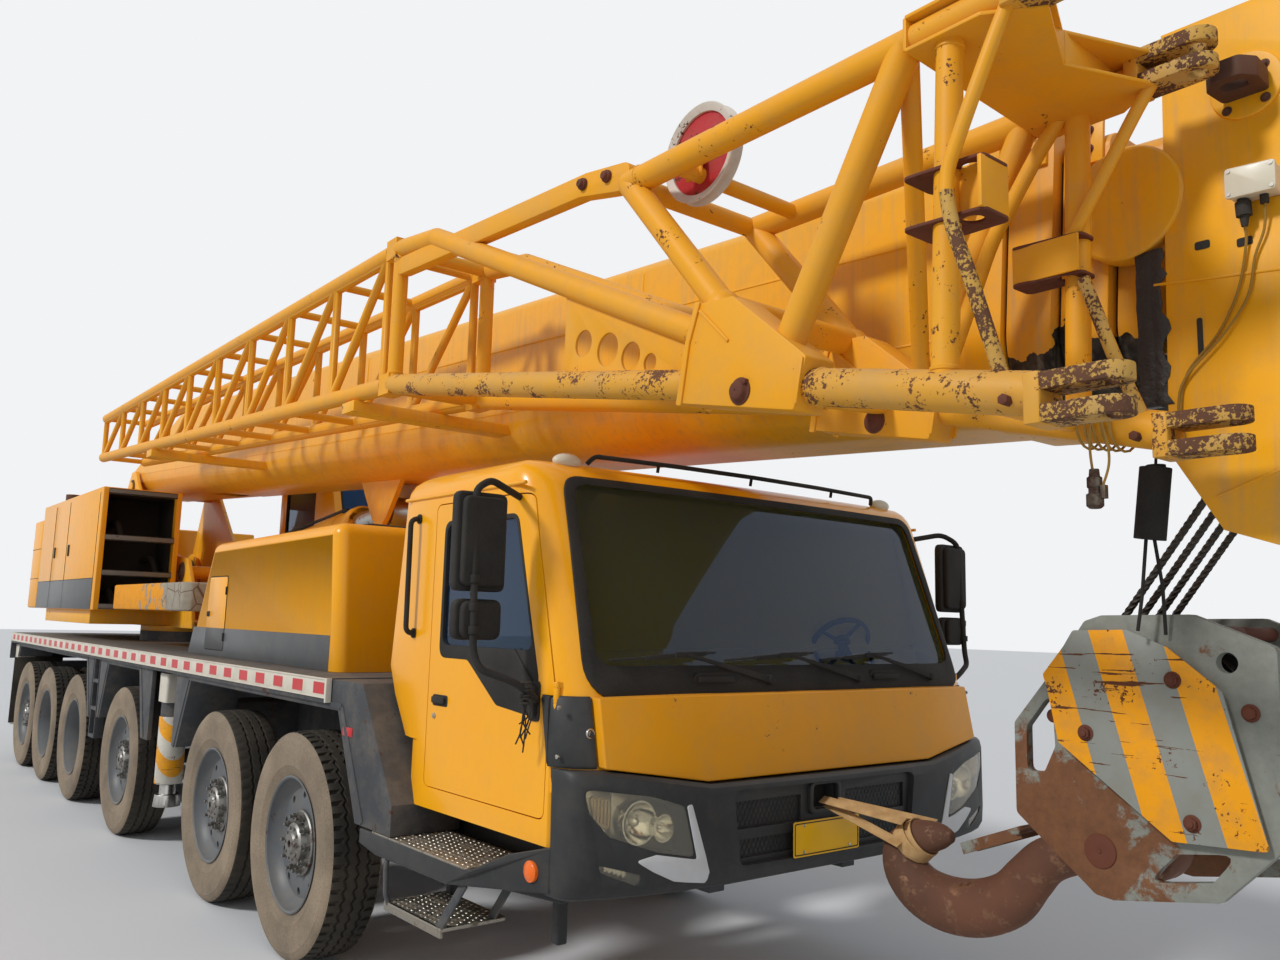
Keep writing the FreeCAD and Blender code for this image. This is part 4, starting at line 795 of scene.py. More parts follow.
def skin(outline, corners, low, high):
    """A patch of the front skin, from low to high outside it, cut to an outline seen from ahead."""
    shape = bmesh.new()
    prism(shape, "yz", rounded(outline, corners, 7), 1900, 2900)
    return combined(combined(cab_body(-high), cab_body(-low)), shape, "INTERSECT")


def on_skin(y, z, out=0):
    return Vector((front(y, z) + out, y, z))


def bar(shape, start, end, wide, deep, end_wide=None, side=(1, 0, 0)):
    """A flat bar between two places: wide across, deep along side, and narrower at its end if asked."""
    start, end, side = Vector(start), Vector(end), Vector(side).normalized()
    across = (end - start).cross(side).normalized()
    side = across.cross(end - start).normalized()
    rings = []
    for spot, width in ((start, wide), (end, wide if end_wide is None else end_wide)):
        rings.append([shape.verts.new(spot + across * a * width / 2 + side * b * deep / 2)
                      for a, b in ((-1, -1), (1, -1), (1, 1), (-1, 1))])
    shape.faces.new(rings[0])
    shape.faces.new(list(reversed(rings[1])))
    for i in range(4):
        j = (i + 1) % 4
        shape.faces.new((rings[0][i], rings[1][i], rings[1][j], rings[0][j]))


def pipe(shape, points, radius, sides=12, bend=0.0):
    """A bent tube through the given places, with its corners turned at a radius."""
    line = [Vector(point) for point in points]
    if bend:
        turned = [line[0]]
        for back, here, on in zip(line, line[1:], line[2:]):
            reach = min(bend, 0.45 * (here - back).length, 0.45 * (on - here).length)
            first, last = here + (back - here).normalized() * reach, here + (on - here).normalized() * reach
            turned += [(1 - t) ** 2 * first + 2 * t * (1 - t) * here + t * t * last
                       for t in (0, 0.25, 0.5, 0.75, 1)]
        line = turned + [line[-1]]
    radii = radius if isinstance(radius, (list, tuple)) else [radius] * len(line)
    heading = (line[1] - line[0]).normalized()
    across = heading.orthogonal().normalized()
    rings = []
    for k, spot in enumerate(line):
        ahead_of = (line[min(k + 1, len(line) - 1)] - line[max(k - 1, 0)]).normalized()
        across = (across - across.dot(ahead_of) * ahead_of).normalized()
        beside = ahead_of.cross(across)
        rings.append([shape.verts.new(spot + radii[k] * (math.cos(a) * across + math.sin(a) * beside))
                      for a in (2 * math.pi * i / sides for i in range(sides))])
    shape.faces.new(list(reversed(rings[0])))
    shape.faces.new(rings[-1])
    walls(shape, rings)


hole = bmesh.new()
prism(hole, "yz", rounded(SCREEN_GLASS, 78, 7), 1900, 2950)
put("screen_surround", combined(skin(SURROUND, (150, 150, 95, 95), 1, 12), hole), trim_and_shade_black, "carrier",
    bevel=3)
panes = bmesh.new()
prism(panes, "yz", rounded([(y * 1.012, z + (8 if z > 2000 else -8)) for y, z in SCREEN_GLASS], 80, 7),
      1900, 2900)
prism(panes, "yz", ((-899, 1801), (899, 1801), (899, 2379), (-899, 2379)), 600, 1200)
panes = combined(combined(cab_body(16), cab_body(22)), panes, "INTERSECT")
put("cab_panes", panes, screen_glass, "carrier", ["cab_glass"])
shape = bmesh.new()
for blade_right, blade_left, pivot in WIPERS:
    near, far = on_skin(blade_right, 1731, 24), on_skin(blade_left, 1764, 24)
    joint = near.lerp(far, 0.68)
    bar(shape, near, far, 9, 22)
    bar(shape, near.lerp(far, 0.3) + Vector((14, 0, 0)), near.lerp(far, 0.9) + Vector((14, 0, 0)), 18, 8)
    bar(shape, on_skin(pivot, 1645, 34), joint + Vector((24, 0, 3)), 30, 12, 13)
    bar(shape, joint + Vector((22, -60, 0)), joint + Vector((22, 60, 2)), 24, 10)
    rod(shape, on_skin(pivot, 1645, 8), on_skin(pivot, 1645, 44), 24, 20, 19)
put("wipers", shape, trim_and_shade_black, "carrier", bevel=2)
shape = bmesh.new()
for middle in GRABS:
    for reach, tall, out in ((118, 34, 14), (96, 20, 17)):
        lozenge = bmesh.new()
        outline = rectangle(middle - reach, middle + reach, 1646 - tall, 1646 + tall)
        prism(lozenge, "yz", rounded(outline, tall * 0.9, 6), front(middle, 1646) - 20,
              front(middle, 1646) + out)
        joined(shape, lozenge)
    bar(shape, on_skin(middle - 100, 1650, 26), on_skin(middle + 100, 1650, 26), 24, 16)
put("grab_recesses", shape, trim_and_shade_black, "carrier", bevel=3)

# Front panel: a folded yellow pressing under the windscreen, flat in the middle and turned back at two
# folds, between dark corner caps that carry a round lock each.
FOLDS = (                      # across, height and place ahead, each at the foot and at the head
    (-1238, -1238, 1322, 1586, 2606, 2552), (-748, -800, 1248, 1590, 2664, 2598),
    (748, 800, 1248, 1590, 2664, 2598), (1238, 1238, 1322, 1586, 2606, 2552),
)
shape = bmesh.new()
rings = []
for foot_y, head_y, foot_z, head_z, foot_x, head_x in FOLDS:
    rings.append([shape.verts.new(spot) for spot in (
        (foot_x - 90, foot_y, foot_z), (foot_x, foot_y, foot_z), (head_x, head_y, head_z),
        (head_x - 90, head_y, head_z + 4))])
shape.faces.new(rings[0])
shape.faces.new(list(reversed(rings[-1])))
walls(shape, rings)
panel_yellow = enamel("front panel enamel", "#E89C08", faded="#D8930E", gloss=0.42, dusty=0.16, coat=0.1,
                      chips=0.02, chip_mm=20)
put("front_panel", shape, panel_yellow, "carrier", bevel=7, segments=3)


def corner_cap(side):
    """A cap that follows the cab's corner from the front panel back to the door."""
    spots = [(None, y) for y in (1242, 1262, 1284, 1304, 1322, 1337, 1348, 1355, 1359)] + [(2398, 1360)]
    shape = bmesh.new()
    rings = []
    for z, out in ((1318, 10), (1330, 15), (1576, 15), (1590, 8)):
        line = [Vector((front(y, z) if x is None else x, y)) for x, y in spots]
        outside, inside = [], []
        for k, spot in enumerate(line):
            along = (line[min(k + 1, len(line) - 1)] - line[max(k - 1, 0)]).normalized()
            normal = Vector((-along.y, along.x))
            normal = normal if normal.x + normal.y > 0 else -normal
            outside.append((spot.x + out * normal.x, side * (spot.y + out * normal.y), z))
            inside.append((spot.x - 12 * normal.x, side * (spot.y - 12 * normal.y), z))
        rings.append([shape.verts.new(spot) for spot in outside + list(reversed(inside))])
    shape.faces.new(rings[0])
    shape.faces.new(list(reversed(rings[-1])))
    walls(shape, rings)
    return shape


dark_plastic = enamel("dark grey moulded plastic", "#2B2C2D", faded="#3B3B3A", dust="#6F675B", gloss=0.5,
                      dusty=0.16, coat=0.0)
bright_metal = metal("bright fastening steel", "#B9B7B0", 0.32, rust=0.12)
for name, side in SIDES:
    put("corner_cap_" + name, corner_cap(side), dark_plastic, "carrier", bevel=2)
    shape = bmesh.new()
    lock = Vector((front(1262, 1450) + 12, side * 1262, 1450))
    lathe(shape, ((0, 13), (6, 13), (9, 17), (6, 21), (0, 21)), lock, 24, "X")
    rod(shape, lock, lock + Vector((4, 0, 0)), 9, 16)
    for z in (1362, 1548):
        rod(shape, (2470, side * 1366, z), (2470, side * 1377, z), 9, 12)
    put("corner_lock_" + name, shape, bright_metal, "carrier", bevel=0.8)

# Roof: two cream marker lamps at the corners, a black rail along the front edge, and a rain gutter each
# side.
lamp_cream = enamel("cream lamp moulding", "#D9D2BC", faded="#C9C0A4", gloss=0.35, dusty=0.2, coat=0.1)
shape = bmesh.new()
for y in (-1110, 1110):
    dome = bmesh.new()
    bmesh.ops.create_uvsphere(dome, u_segments=20, v_segments=12, radius=1)
    bmesh.ops.scale(dome, vec=(40, 74, 36), verts=dome.verts)
    bmesh.ops.translate(dome, vec=(2085, y, 2592), verts=dome.verts)
    joined(shape, dome)
put("roof_lamps", shape, lamp_cream, "carrier")
shape = bmesh.new()
pipe(shape, ((2100, -1010, 2590), (2125, -985, 2626), (2142, -500, 2632), (2148, 0, 2634),
             (2142, 500, 2632), (2125, 985, 2626), (2100, 1010, 2590)), 11, 10, 40)
for y in (-620, 0, 620):
    rod(shape, (2135, y, 2590), (2143, y, 2630), 8, 10)
put("roof_rail", shape, trim_and_shade_black, "carrier")
shape = bmesh.new()
for side in (1, -1):
    pipe(shape, ((1040, side * 1362, 2468), (2150, side * 1362, 2468)), 9, 10)
put("rain_gutters", shape, cab_yellow, "carrier")

# Door furniture: flap handle and lock, a tall grab rail behind the door, and two mirrors on a bent arm
# whose bracket is screwed to the black window panel. The loose cables were tied round the arm by hand.
ARM = ((2250, 1352, 1560), (2335, 1385, 1570), (2345, 1500, 1640), (2300, 1640, 1690), (2275, 1655, 1760),
       (2240, 1655, 2400), (2195, 1560, 2452), (2090, 1345, 2405))
silvering = metal("mirror silvering", "#C8CCD0", 0.03)
cable_black = rubber("black cable jacket", "#202020", "#6B6255", 0.05, 0.3)


def tied_cables(side):
    """Loops of cable wound on the arm and the ends that hang below the bracket."""
    chance = random.Random(7)
    shape = bmesh.new()
    for k in range(6):
        z = 1700 - 16 * k + chance.uniform(-5, 5)
        lathe(shape, ((-5, 19), (0, 23), (5, 19), (0, 15)), (2340, side * 1446, z - 60), 14, "Z")
    for k in range(7):
        x, out = 2338 + chance.uniform(-14, 14), 1440 + chance.uniform(-16, 16)
        fall = chance.uniform(120, 260)
        points = [(x, side * out, 1600)]
        for step in range(1, 5):
            points.append((x + chance.uniform(-9, 9) * step, side * (out + chance.uniform(-7, 7) * step),
                           1600 - fall * step / 4))
        pipe(shape, points, 3.2, 6, 30)
    return shape


for name, side in SIDES:
    body = "cab_door_" + name
    shape = bmesh.new()
    outline = rounded(rectangle(1418, 1560, 1478, 1530), 16)
    prism(shape, "xz", outline, *beside(side, 1352, 1363))
    prism(shape, "xz", rounded(rectangle(1432, 1548, 1492, 1522), 10), *beside(side, 1360, 1378))
    put(body + "_handle", shape, trim_and_shade_black, body, bevel=3)
    shape = bmesh.new()
    rod(shape, (1440, side * 1352, 1432), (1440, side * 1366, 1432), 13, 20)
    rod(shape, (1440, side * 1366, 1432), (1440, side * 1369, 1432), 8, 16)
    put(body + "_lock", shape, bright_metal, body, bevel=1)
    shape = bmesh.new()
    pipe(shape, [(x, side * y, z) for x, y, z in ARM], 15, 14, 45)
    for x, y, z in ((2243, 1655, 2330), (2262, 1655, 2040), (2264, 1655, 1930), (2273, 1655, 1840)):
        rod(shape, (x, side * y, z - 16), (x, side * y, z + 16), 21, 14)
    prism(shape, "xz", rounded(rectangle(2240, 2320, 1480, 1640), 22), *beside(side, 1352, 1366))
    prism(shape, "xz", rounded(rectangle(2268, 2306, 1500, 1622), 12), *beside(side, 1362, 1384))
    bar(shape, (2275, side * 1368, 1620), (2110, side * 1362, 1760), 14, 8, side=(0, 1, 0))
    put(body + "_mirror_arm", shape, trim_and_shade_black, body, bevel=1)
    for part, low, high, wide, corner in (("large", 1992, 2392, 118, 34), ("small", 1800, 1962, 108, 40)):
        shape = bmesh.new()
        middle = side * 1612
        outline = rectangle(middle - wide, middle + wide, low, high)
        prism(shape, "yz", rounded(outline, corner, 5), 2185, 2232)
        inner = [(middle + (y - middle) * 0.82, (low + high) / 2 + (z - (low + high) / 2) * 0.9) for y,
                 z in outline]
        prism(shape, "yz", rounded(inner, corner, 5), 2228, 2262)
        put("%s_mirror_%s" % (body, part), shape, trim_and_shade_black, body, bevel=12, segments=3)
        shape = bmesh.new()
        inner = [(middle + (y - middle) * 0.9, (low + high) / 2 + (z - (low + high) / 2) * 0.93) for y,
                 z in outline]
        prism(shape, "yz", rounded(inner, corner * 0.8, 5), 2181, 2186)
        put("%s_mirror_%s_glass" % (body, part), shape, silvering, body)
    put(body + "_cables", tied_cables(side), cable_black, body)
    shape = bmesh.new()
    pipe(shape, ((1190, side * 1345, 1800), (1196, side * 1408, 1812), (1196, side * 1412, 2360),
                 (1190, side * 1345, 2372)), 13, 12, 34)
    for z in (1806, 2366):
        rod(shape, (1191, side * 1352, z), (1191, side * 1368, z), 24, 18)
    put("grab_rail_" + name, shape, trim_and_shade_black, "carrier")

# Bumper: a thick moulded shell wrapped round the cab's foot, with pockets for the lamps, a sunk grille with
# perforated plates either side of the towing hole, and a blank yellow plate.
BUMPER_LINE = (                # place ahead and across, from the side round to the middle
    (2445, 1371), (2520, 1371), (2556, 1362), (2580, 1342), (2598, 1306), (2618, 1245), (2640, 1180),
    (2672, 1040),
    (2699, 900), (2705, 752), (2712, 560), (2718, 300), (2720, 0),
)
HEADLAMP = ((-1326, 1252), (-1040, 1212), (-905, 1168), (-868, 1036), (-850, 968), (-1030, 1003),
            (-1228, 1072), (-1303, 1160))
CRESCENT = ((-1118, 976), (-1040, 930), (-950, 888), (-790, 862), (-776, 905), (-872, 1176), (-896, 1168),
            (-862, 1036), (-842, 960), (-1030, 994))
FOG_LAMP = ((-1268, 972), (-1088, 922), (-1104, 880), (-1252, 940))
GRILLE = ((-645, 1206), (568, 1206), (520, 905), (-606, 905))
GRILLE_WINDOWS = ((-612, -216, 1046, 1158), (82, 508, 1046, 1158), (-586, -216, 930, 1004),
                  (82, 486, 930, 1004))


def bumper_line(inset):
    half = [(x - inset, max(y - inset, 0)) for x, y in BUMPER_LINE]
    return half + [(x, -y) for x, y in reversed(half[:-1])]


def bumper_head(y):
    """The upper edge: low under the flat of the front panel, higher at the corners."""
    return between(((0, 1240), (748, 1240), (1238, 1314), (1400, 1316)), abs(y))


def bumper_body(inset, depth):
    """The bumper as a closed shell, inset from its skin and depth thick from front to back."""
    shape = bmesh.new()
    line = bumper_line(inset)
    outer = [[(x - back, y * (1 - 0.00015 * back),
               (834 + up if up < 200 else bumper_head(y) - inset + (up - 1000)))
              for x, y in line] for up, back in ((0, 46), (10, 24), (44, 5), (130, 0), (950, 3), (985, 12),
                                                 (998, 26))]
    rings = [[shape.verts.new(spot) for spot in ring] for ring in outer]
    back = [[shape.verts.new((x - depth, y * 0.93, z)) for x, y,
             z in ring] for ring in (outer[-1], outer[0])]
    rings += back
    for one, two in zip(rings, rings[1:] + rings[:1]):
        for i in range(len(one) - 1):
            shape.faces.new((one[i], one[i + 1], two[i + 1], two[i]))
    for end in (0, -1):
        shape.faces.new([ring[end] for ring in rings])
    return shape


def ahead_prism(outline, corners, low, high, both=True):
    """An outline seen from ahead, drawn out along the crane, and its mirror image."""
    shape = bmesh.new()
    prism(shape, "yz", rounded(outline, corners) if corners else outline, low, high)
    return mirrored(shape) if both else shape


wrap = combined(bumper_body(0, 115), ahead_prism(HEADLAMP, 26, 2548, 2800))
wrap = combined(wrap, ahead_prism(FOG_LAMP, 14, 2560, 2800))
wrap = combined(wrap, ahead_prism(GRILLE, 40, 2668, 2800, both=False))
wrap = combined(wrap, ahead_prism(((-150, 1092), (12, 1092), (12, 1196), (-150, 1196)), 26, 2500, 2800,
                                  both=False))
put("bumper_shell", wrap, dark_plastic, "carrier", ["front_bumper"], bevel=4, smooth=30)

shape = bmesh.new()
prism(shape, "yz", rounded(GRILLE, 36), 2672, 2684)
holes = bmesh.new()
for low_y, high_y, low_z, high_z in GRILLE_WINDOWS:
    block(holes, 2600, 2720, low_y, high_y, low_z, high_z)
prism(holes, "yz", rounded(rectangle(-158, 20, 1084, 1204), 28), 2600, 2720)
shape = combined(shape, holes)
ring = bmesh.new()
prism(ring, "yz", rounded(rectangle(-172, 34, 1070, 1204), 30), 2676, 2702)
inner = bmesh.new()
prism(inner, "yz", rounded(rectangle(-152, 14, 1090, 1194), 24), 2600, 2720)
ring = combined(ring, inner)
put("grille_plate", shape, dark_plastic, "carrier", bevel=2)
put("tow_hole_rim", ring, dark_plastic, "carrier", bevel=3)


def node_group(name, sockets):
    """A tree of geometry nodes with its group's inputs and outputs."""
    group = bpy.data.node_groups.new(name, "GeometryNodeTree")
    for label, kind, value in sockets:
        made = group.interface.new_socket(label, in_out="INPUT", socket_type="NodeSocket" + kind)
        if value is not None:
            made.default_value = value
    group.interface.new_socket("Geometry", in_out="OUTPUT", socket_type="NodeSocketGeometry")
    return group, group.nodes.new("NodeGroupInput"), group.nodes.new("NodeGroupOutput")


def identifier(group, label):
    return next(item.identifier for item in group.interface.items_tree
                if item.name == label and item.in_out == "INPUT")


def repeated(name, places, pattern, group, values, finish, body, smooth=30):
    """Runs a repeating tree on a mesh of places, with one drawn pattern piece, and sets down the result."""
    places_mesh = bpy.data.meshes.new(name)
    places_mesh.from_pydata([tuple(DRAWING @ Vector(place)) for place in places], [], [])
    made = bpy.data.objects.new(name, places_mesh)
    bpy.context.scene.collection.objects.link(made)
    bmesh.ops.recalc_face_normals(pattern, faces=pattern.faces)
    pattern.transform(Matrix.Scale(0.001, 4))
    mesh = bpy.data.meshes.new(name + "_pattern")
    pattern.to_mesh(mesh)
    pattern.free()
    one = bpy.data.objects.new(name + "_pattern", mesh)
    bpy.context.scene.collection.objects.link(one)
    repeat = made.modifiers.new("repeat", "NODES")
    repeat.node_group = group
    for label, value in {**values, "Pattern": one, "Finish": finish}.items():
        repeat[identifier(group, label)] = value
    settled(made)
    bpy.data.objects.remove(one)
    bpy.data.meshes.remove(mesh)
    made.data.polygons.foreach_set("use_smooth", [True] * len(made.data.polygons))
    made.data.set_sharp_from_angle(angle=math.radians(smooth))
    if not made.data.materials:
        made.data.materials.append(finish)
    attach(made, body)
    return made


# A tree that stands one pattern piece on every place, at a size that may vary a little from piece to piece.
scatter, given, result = node_group("pieces on places", (
    ("Geometry", "Geometry", None), ("Pattern", "Object", None), ("Finish", "Material", None),
    ("Least size", "Float", 1.0), ("Most size", "Float", 1.0), ("Turn", "Vector", None),
    ("Seed", "Int", 3)))
object_info = add(scatter, "GeometryNodeObjectInfo", {"Object": given.outputs["Pattern"]})
size = add(scatter, "FunctionNodeRandomValue", {"Seed": given.outputs["Seed"]}, data_type="FLOAT")
scatter.links.new(given.outputs["Least size"], size.inputs[2])
scatter.links.new(given.outputs["Most size"], size.inputs[3])
spots = add(scatter, "GeometryNodeMeshToPoints", {"Mesh": given.outputs["Geometry"]})
stood = add(scatter, "GeometryNodeInstanceOnPoints", {
    "Points": spots.outputs["Points"], "Instance": object_info.outputs["Geometry"],
    "Rotation": given.outputs["Turn"], "Scale": size.outputs[1]})
real = add(scatter, "GeometryNodeRealizeInstances", {"Geometry": stood.outputs["Instances"]})
finished = add(scatter, "GeometryNodeSetMaterial",
               {"Geometry": real.outputs["Geometry"], "Material": given.outputs["Finish"]})
scatter.links.new(finished.outputs["Geometry"], result.inputs["Geometry"])

HOLE_PITCH = 26
HOLE_R = 9.5


def pierced_cell():
    """One six-sided cell of perforated plate with a round hole through it."""
    shape = bmesh.new()
    rings = []
    for x, hole_ring in ((-1.5, False), (-1.5, True), (1.5, True), (1.5, False)):
        ring = []
        for k in range(12):
            turn = 2 * math.pi * k / 12
            if hole_ring:
                reach = HOLE_R
            else:
                reach = HOLE_PITCH / 2 / math.cos((turn % (math.pi / 3)) - math.pi / 6)
            ring.append(shape.verts.new((x, reach * math.sin(turn + math.pi / 6),
                                         reach * math.cos(turn + math.pi / 6))))
        rings.append(ring)
    walls(shape, rings, True)
    return shape


places = []
for low_y, high_y, low_z, high_z in GRILLE_WINDOWS:
    row = 0
    z = low_z - 4
    while z < high_z + 16:
        y = low_y - 8 + (HOLE_PITCH / 2 if row % 2 else 0)
        while y < high_y + 14:
            places.append((2669, y, z))
            y += HOLE_PITCH
        z += HOLE_PITCH * math.sqrt(3) / 2
        row += 1
repeated("grille_mesh", places, pierced_cell(), scatter, {}, dark_plastic, "carrier")
shape = bmesh.new()
block(shape, 2608, 2614, -640, 560, 900, 1210)
put("grille_shade", shape, trim_and_shade_black, "carrier")

plate_yellow = enamel("stamped plate enamel", "#F2B90E", faded="#E5AE1C", gloss=0.35, dusty=0.12, coat=0.2)
shape = bmesh.new()
plate_line = rounded(rectangle(-306, 128, 904, 1052), 12)
prism(shape, "yz", plate_line, 2722, 2725)
put("number_plate", shape, plate_yellow, "carrier", bevel=1)
shape = bmesh.new()
rim_outline = rounded(rectangle(-299, 121, 911, 1045), 10)
inner = bmesh.new()
prism(shape, "yz", rim_outline, 2723, 2727)
prism(inner, "yz", rounded(rectangle(-295, 117, 915, 1041), 8), 2700, 2740)
put("number_plate_line", combined(shape, inner), trim_and_shade_black, "carrier")
shape = bmesh.new()
for y in (-240, 60):
    for z in (924, 1034):
        rod(shape, (2684, y, z), (2729, y, z), 7, 12)
put("number_plate_bolts", shape, bright_metal, "carrier", bevel=0.6)

# Lamps: clear moulded covers, a little yellowed, over two chrome bowls and an amber corner, with a
# silver blade under each, fog lamps in the chin, and round amber markers on the side skirts.
lens_plastic = glazing("yellowed lamp cover", "#EFE8D2", roughness=0.12)
chrome = metal("lamp reflector chrome", "#D8D8D4", 0.12)
amber = enamel("amber lamp moulding", "#F26A12", faded="#F27D1E", gloss=0.25, dusty=0.08, coat=0.6)
silver_paint = enamel("silver bumper blade paint", "#C9CBCC", faded="#B9BCBD", gloss=0.35, dusty=0.2,
                      coat=0.2)
lamp_layer = combined(bumper_body(2, 115), bumper_body(7, 125))
cover = combined(lamp_layer, ahead_prism([(y * 0.997, z) for y, z in HEADLAMP], 24, 2500, 2800),
                 "INTERSECT")
put("headlamp_covers", cover, lens_plastic, "carrier", smooth=25)
lamp_layer = combined(bumper_body(3, 115), bumper_body(8, 125))
cover = combined(lamp_layer, ahead_prism(FOG_LAMP, 13, 2500, 2800), "INTERSECT")
put("fog_lamp_covers", cover, lens_plastic, "carrier", smooth=25)
blade = combined(bumper_body(-4, 115), bumper_body(2, 125))
blade = combined(blade, ahead_prism(CRESCENT, 10, 2500, 2800), "INTERSECT")
put("bumper_blades", blade, silver_paint, "carrier", bevel=1)
shape = bmesh.new()
for side in (1, -1):
    for y, z, radius, x in ((1078, 1110, 78, 2622), (968, 1082, 47, 2640)):
        lathe(shape, ((x - 52, 1), (x - 46, radius * 0.45), (x - 26, radius * 0.82), (x, radius),
                      (x, radius + 7), (x - 30, radius + 7),
                      (x - 56, radius * 0.5), (x - 58, 1)), (0, side * y, z), 40, "X")
        lathe(shape, ((x - 40, 1), (x - 40, radius * 0.2), (x - 22, radius * 0.22), (x - 16, radius * 0.12),
                      (x - 14, 1)), (0, side * y, z), 20, "X")
    fog_x = 2606
    for step in range(6):
        y = 1112 + 22 * step
        bar(shape, (fog_x - 8 + 2 * (step % 2), side * y, 905 + 8 * step),
            (fog_x - 8 + 2 * (step % 2), side * (y + 6), 952 + 6 * step), 20, 10)
put("lamp_reflectors", shape, chrome, "carrier", smooth=40)
LAMP_SEAM = ((-1180, 1300), (-1180, 900), (-1178, 900),
             (-1178, 1300))     # between the bowls and the corner
back = ahead_prism([(y * 0.998, z) for y, z in HEADLAMP], 24, 2551, 2566)
back = combined(back, ahead_prism(LAMP_SEAM, 0, 2500, 2700))
put("lamp_backs", back, metal("lamp housing chrome", "#B9B6AC", 0.3), "carrier", ["cab_lamps"],
    bevel=2)
shape = bmesh.new()
for side in (1, -1):
    prism(shape, "yz", rounded([(side * 1292, 1222), (side * 1196, 1206), (side * 1190, 1084),
                                (side * 1262, 1120)], 16), 2564, 2580)
    for k in range(5):
        y = 1204 + 17 * k
        bar(shape, (2584, side * y, 1104 + 8 * k), (2584, side * y, 1200 + 3 * k), 9, 9)
put("lamp_corners", shape, enamel("pale amber corner moulding", "#C8B48E", faded="#C9A070", gloss=0.25,
                                  dusty=0.1, coat=0.6),
    "carrier", bevel=2)
shape = bmesh.new()
for side in (1, -1):
    rod(shape, (2344, side * 1377, 914), (2344, side * 1399, 914), 41, 28)
    rod(shape, (2344, side * 1399, 914), (2344, side * 1406, 914), 36, 28, 22)
put("amber_lamps", shape, amber, "carrier", bevel=2)

# Steps: a dark skirt swept back from the bumper carries an aluminium tread with raised buttons, and two
# bent hangers hold a lower tread. The cab's front fender closes the gap to the wheel.
SKIRT = ((960, 860), (2010, 864), (2230, 962), (2445, 1020), (2445, 846), (1823, 770), (1145, 764),
         (960, 790))
tread_metal = metal("worn aluminium tread", "#A09A8E", 0.45, rust=0.35, rust_colour="#7C6D58",
                    dark="#5B5348")
shape = bmesh.new()
ring_out, ring_in = [], []
for x, z in SKIRT:
    reach = between(((900, 1478), (1950, 1476), (2200, 1440), (2446, 1373)), x)
    ring_out.append(shape.verts.new((x, reach, z)))
    ring_in.append(shape.verts.new((x, reach - 60, z)))
shape.faces.new(ring_out)
shape.faces.new(list(reversed(ring_in)))
for i in range(len(SKIRT)):
    j = (i + 1) % len(SKIRT)
    shape.faces.new((ring_out[i], ring_in[i], ring_in[j], ring_out[j]))
block(shape, 970, 2340, 1045, 1080, 800, 1004)
prism(shape, "xy", ((970, 1060), (2440, 1060), (2440, 1310), (1990, 1420), (970, 1420)), 800, 842)
block(shape, 1500, 1700, 490.3, 1075, 806, 838)
for x in (1250, 2150):
    block(shape, x, x + 50, 1100, 1150, 560, 820)
put("side_skirts", mirrored(shape), dark_plastic, "carrier", bevel=8, segments=3)
shape = bmesh.new()
prism(shape, "xy", rounded([(1080, 1150), (2010, 1150), (1980, 1470), (1080, 1474)], 18), 854, 866)
prism(shape, "xy", rounded(rectangle(1210, 1760, 1120, 1452), 18), 556, 572)
block(shape, 1212, 1758, 1436, 1450, 530, 572)
put("step_treads", mirrored(shape), tread_metal, "carrier", bevel=3)
shape = bmesh.new()
pipe(shape, ((1230, 1440, 792), (1236, 1462, 740), (1240, 1456, 600), (1250, 1440, 560)), 13, 10, 30)
bar(shape, (1930, 1440, 792), (1720, 1440, 556), 44, 10, side=(0, 1, 0))
bar(shape, (1930, 1180, 812), (1720, 1180, 560), 44, 10, side=(0, 1, 0))
put("step_hangers", mirrored(shape), chassis_paint, "carrier", bevel=2)
button = bmesh.new()
lathe(button, ((0, 3), (0, 10), (3.5, 8), (4, 3)), (0, 0, 0), 10, "Z")
places = [(1106 + 44 * i + (22 if j % 2 else 0), side * (1176 + 30 * j), 865.5)
          for i in range(20) for j in range(10) for side in (1, -1)]
places += [(1236 + 44 * i + (22 if j % 2 else 0), side * (1146 + 30 * j), 571.5)
           for i in range(12) for j in range(10) for side in (1, -1)]
repeated("tread_buttons", places, button, scatter, {"Least size": 0.9, "Most size": 1.05}, tread_metal,
         "carrier")

# Deck edge: an aluminium board along each side of the deck with the red blocks of a reflecting tape. A
# small red marker sits on the panel behind the steps, and the front jacks stand in yellow and white
# striped sleeves.
board_paint = enamel("whitened board paint", "#D8D1C2", faded="#C8BFAD", dust="#8E8068", gloss=0.5,
                     dusty=0.35, coat=0.05)
tape_red = enamel("red reflecting tape", "#C3121B", faded="#CF2E30", gloss=0.35, dusty=0.12, coat=0.3)
TAPE_PITCH = 303
shape = bmesh.new()
for side in (1, -1):
    block(shape, -9790, 512, *beside(side, 1498, 1503), 1446, 1549)
    for z in (1444, 1541):
        block(shape, -9790, 512, *beside(side, 1498, 1508), z, z + 9)
    block(shape, 498, 517, *beside(side, 1478, 1509), 1424, 1551)
put("deck_edge_boards", shape, board_paint, "carrier", bevel=1)
red_block = bmesh.new()
block(red_block, -72, 72, -1, 1, -30, 30)
places = [(405 - TAPE_PITCH * k, side * 1503.5, 1495) for k in range(34) for side in (1, -1)]
repeated("tape_blocks", places, red_block, scatter, {"Least size": 0.97, "Most size": 1.03}, tape_red,
         "carrier")
shape = bmesh.new()
for side in (1, -1):
    block(shape, 690, 806, *beside(side, 1470, 1479), 1274, 1318)
put("panel_markers", shape, tape_red, "carrier", bevel=3)
shape = bmesh.new()
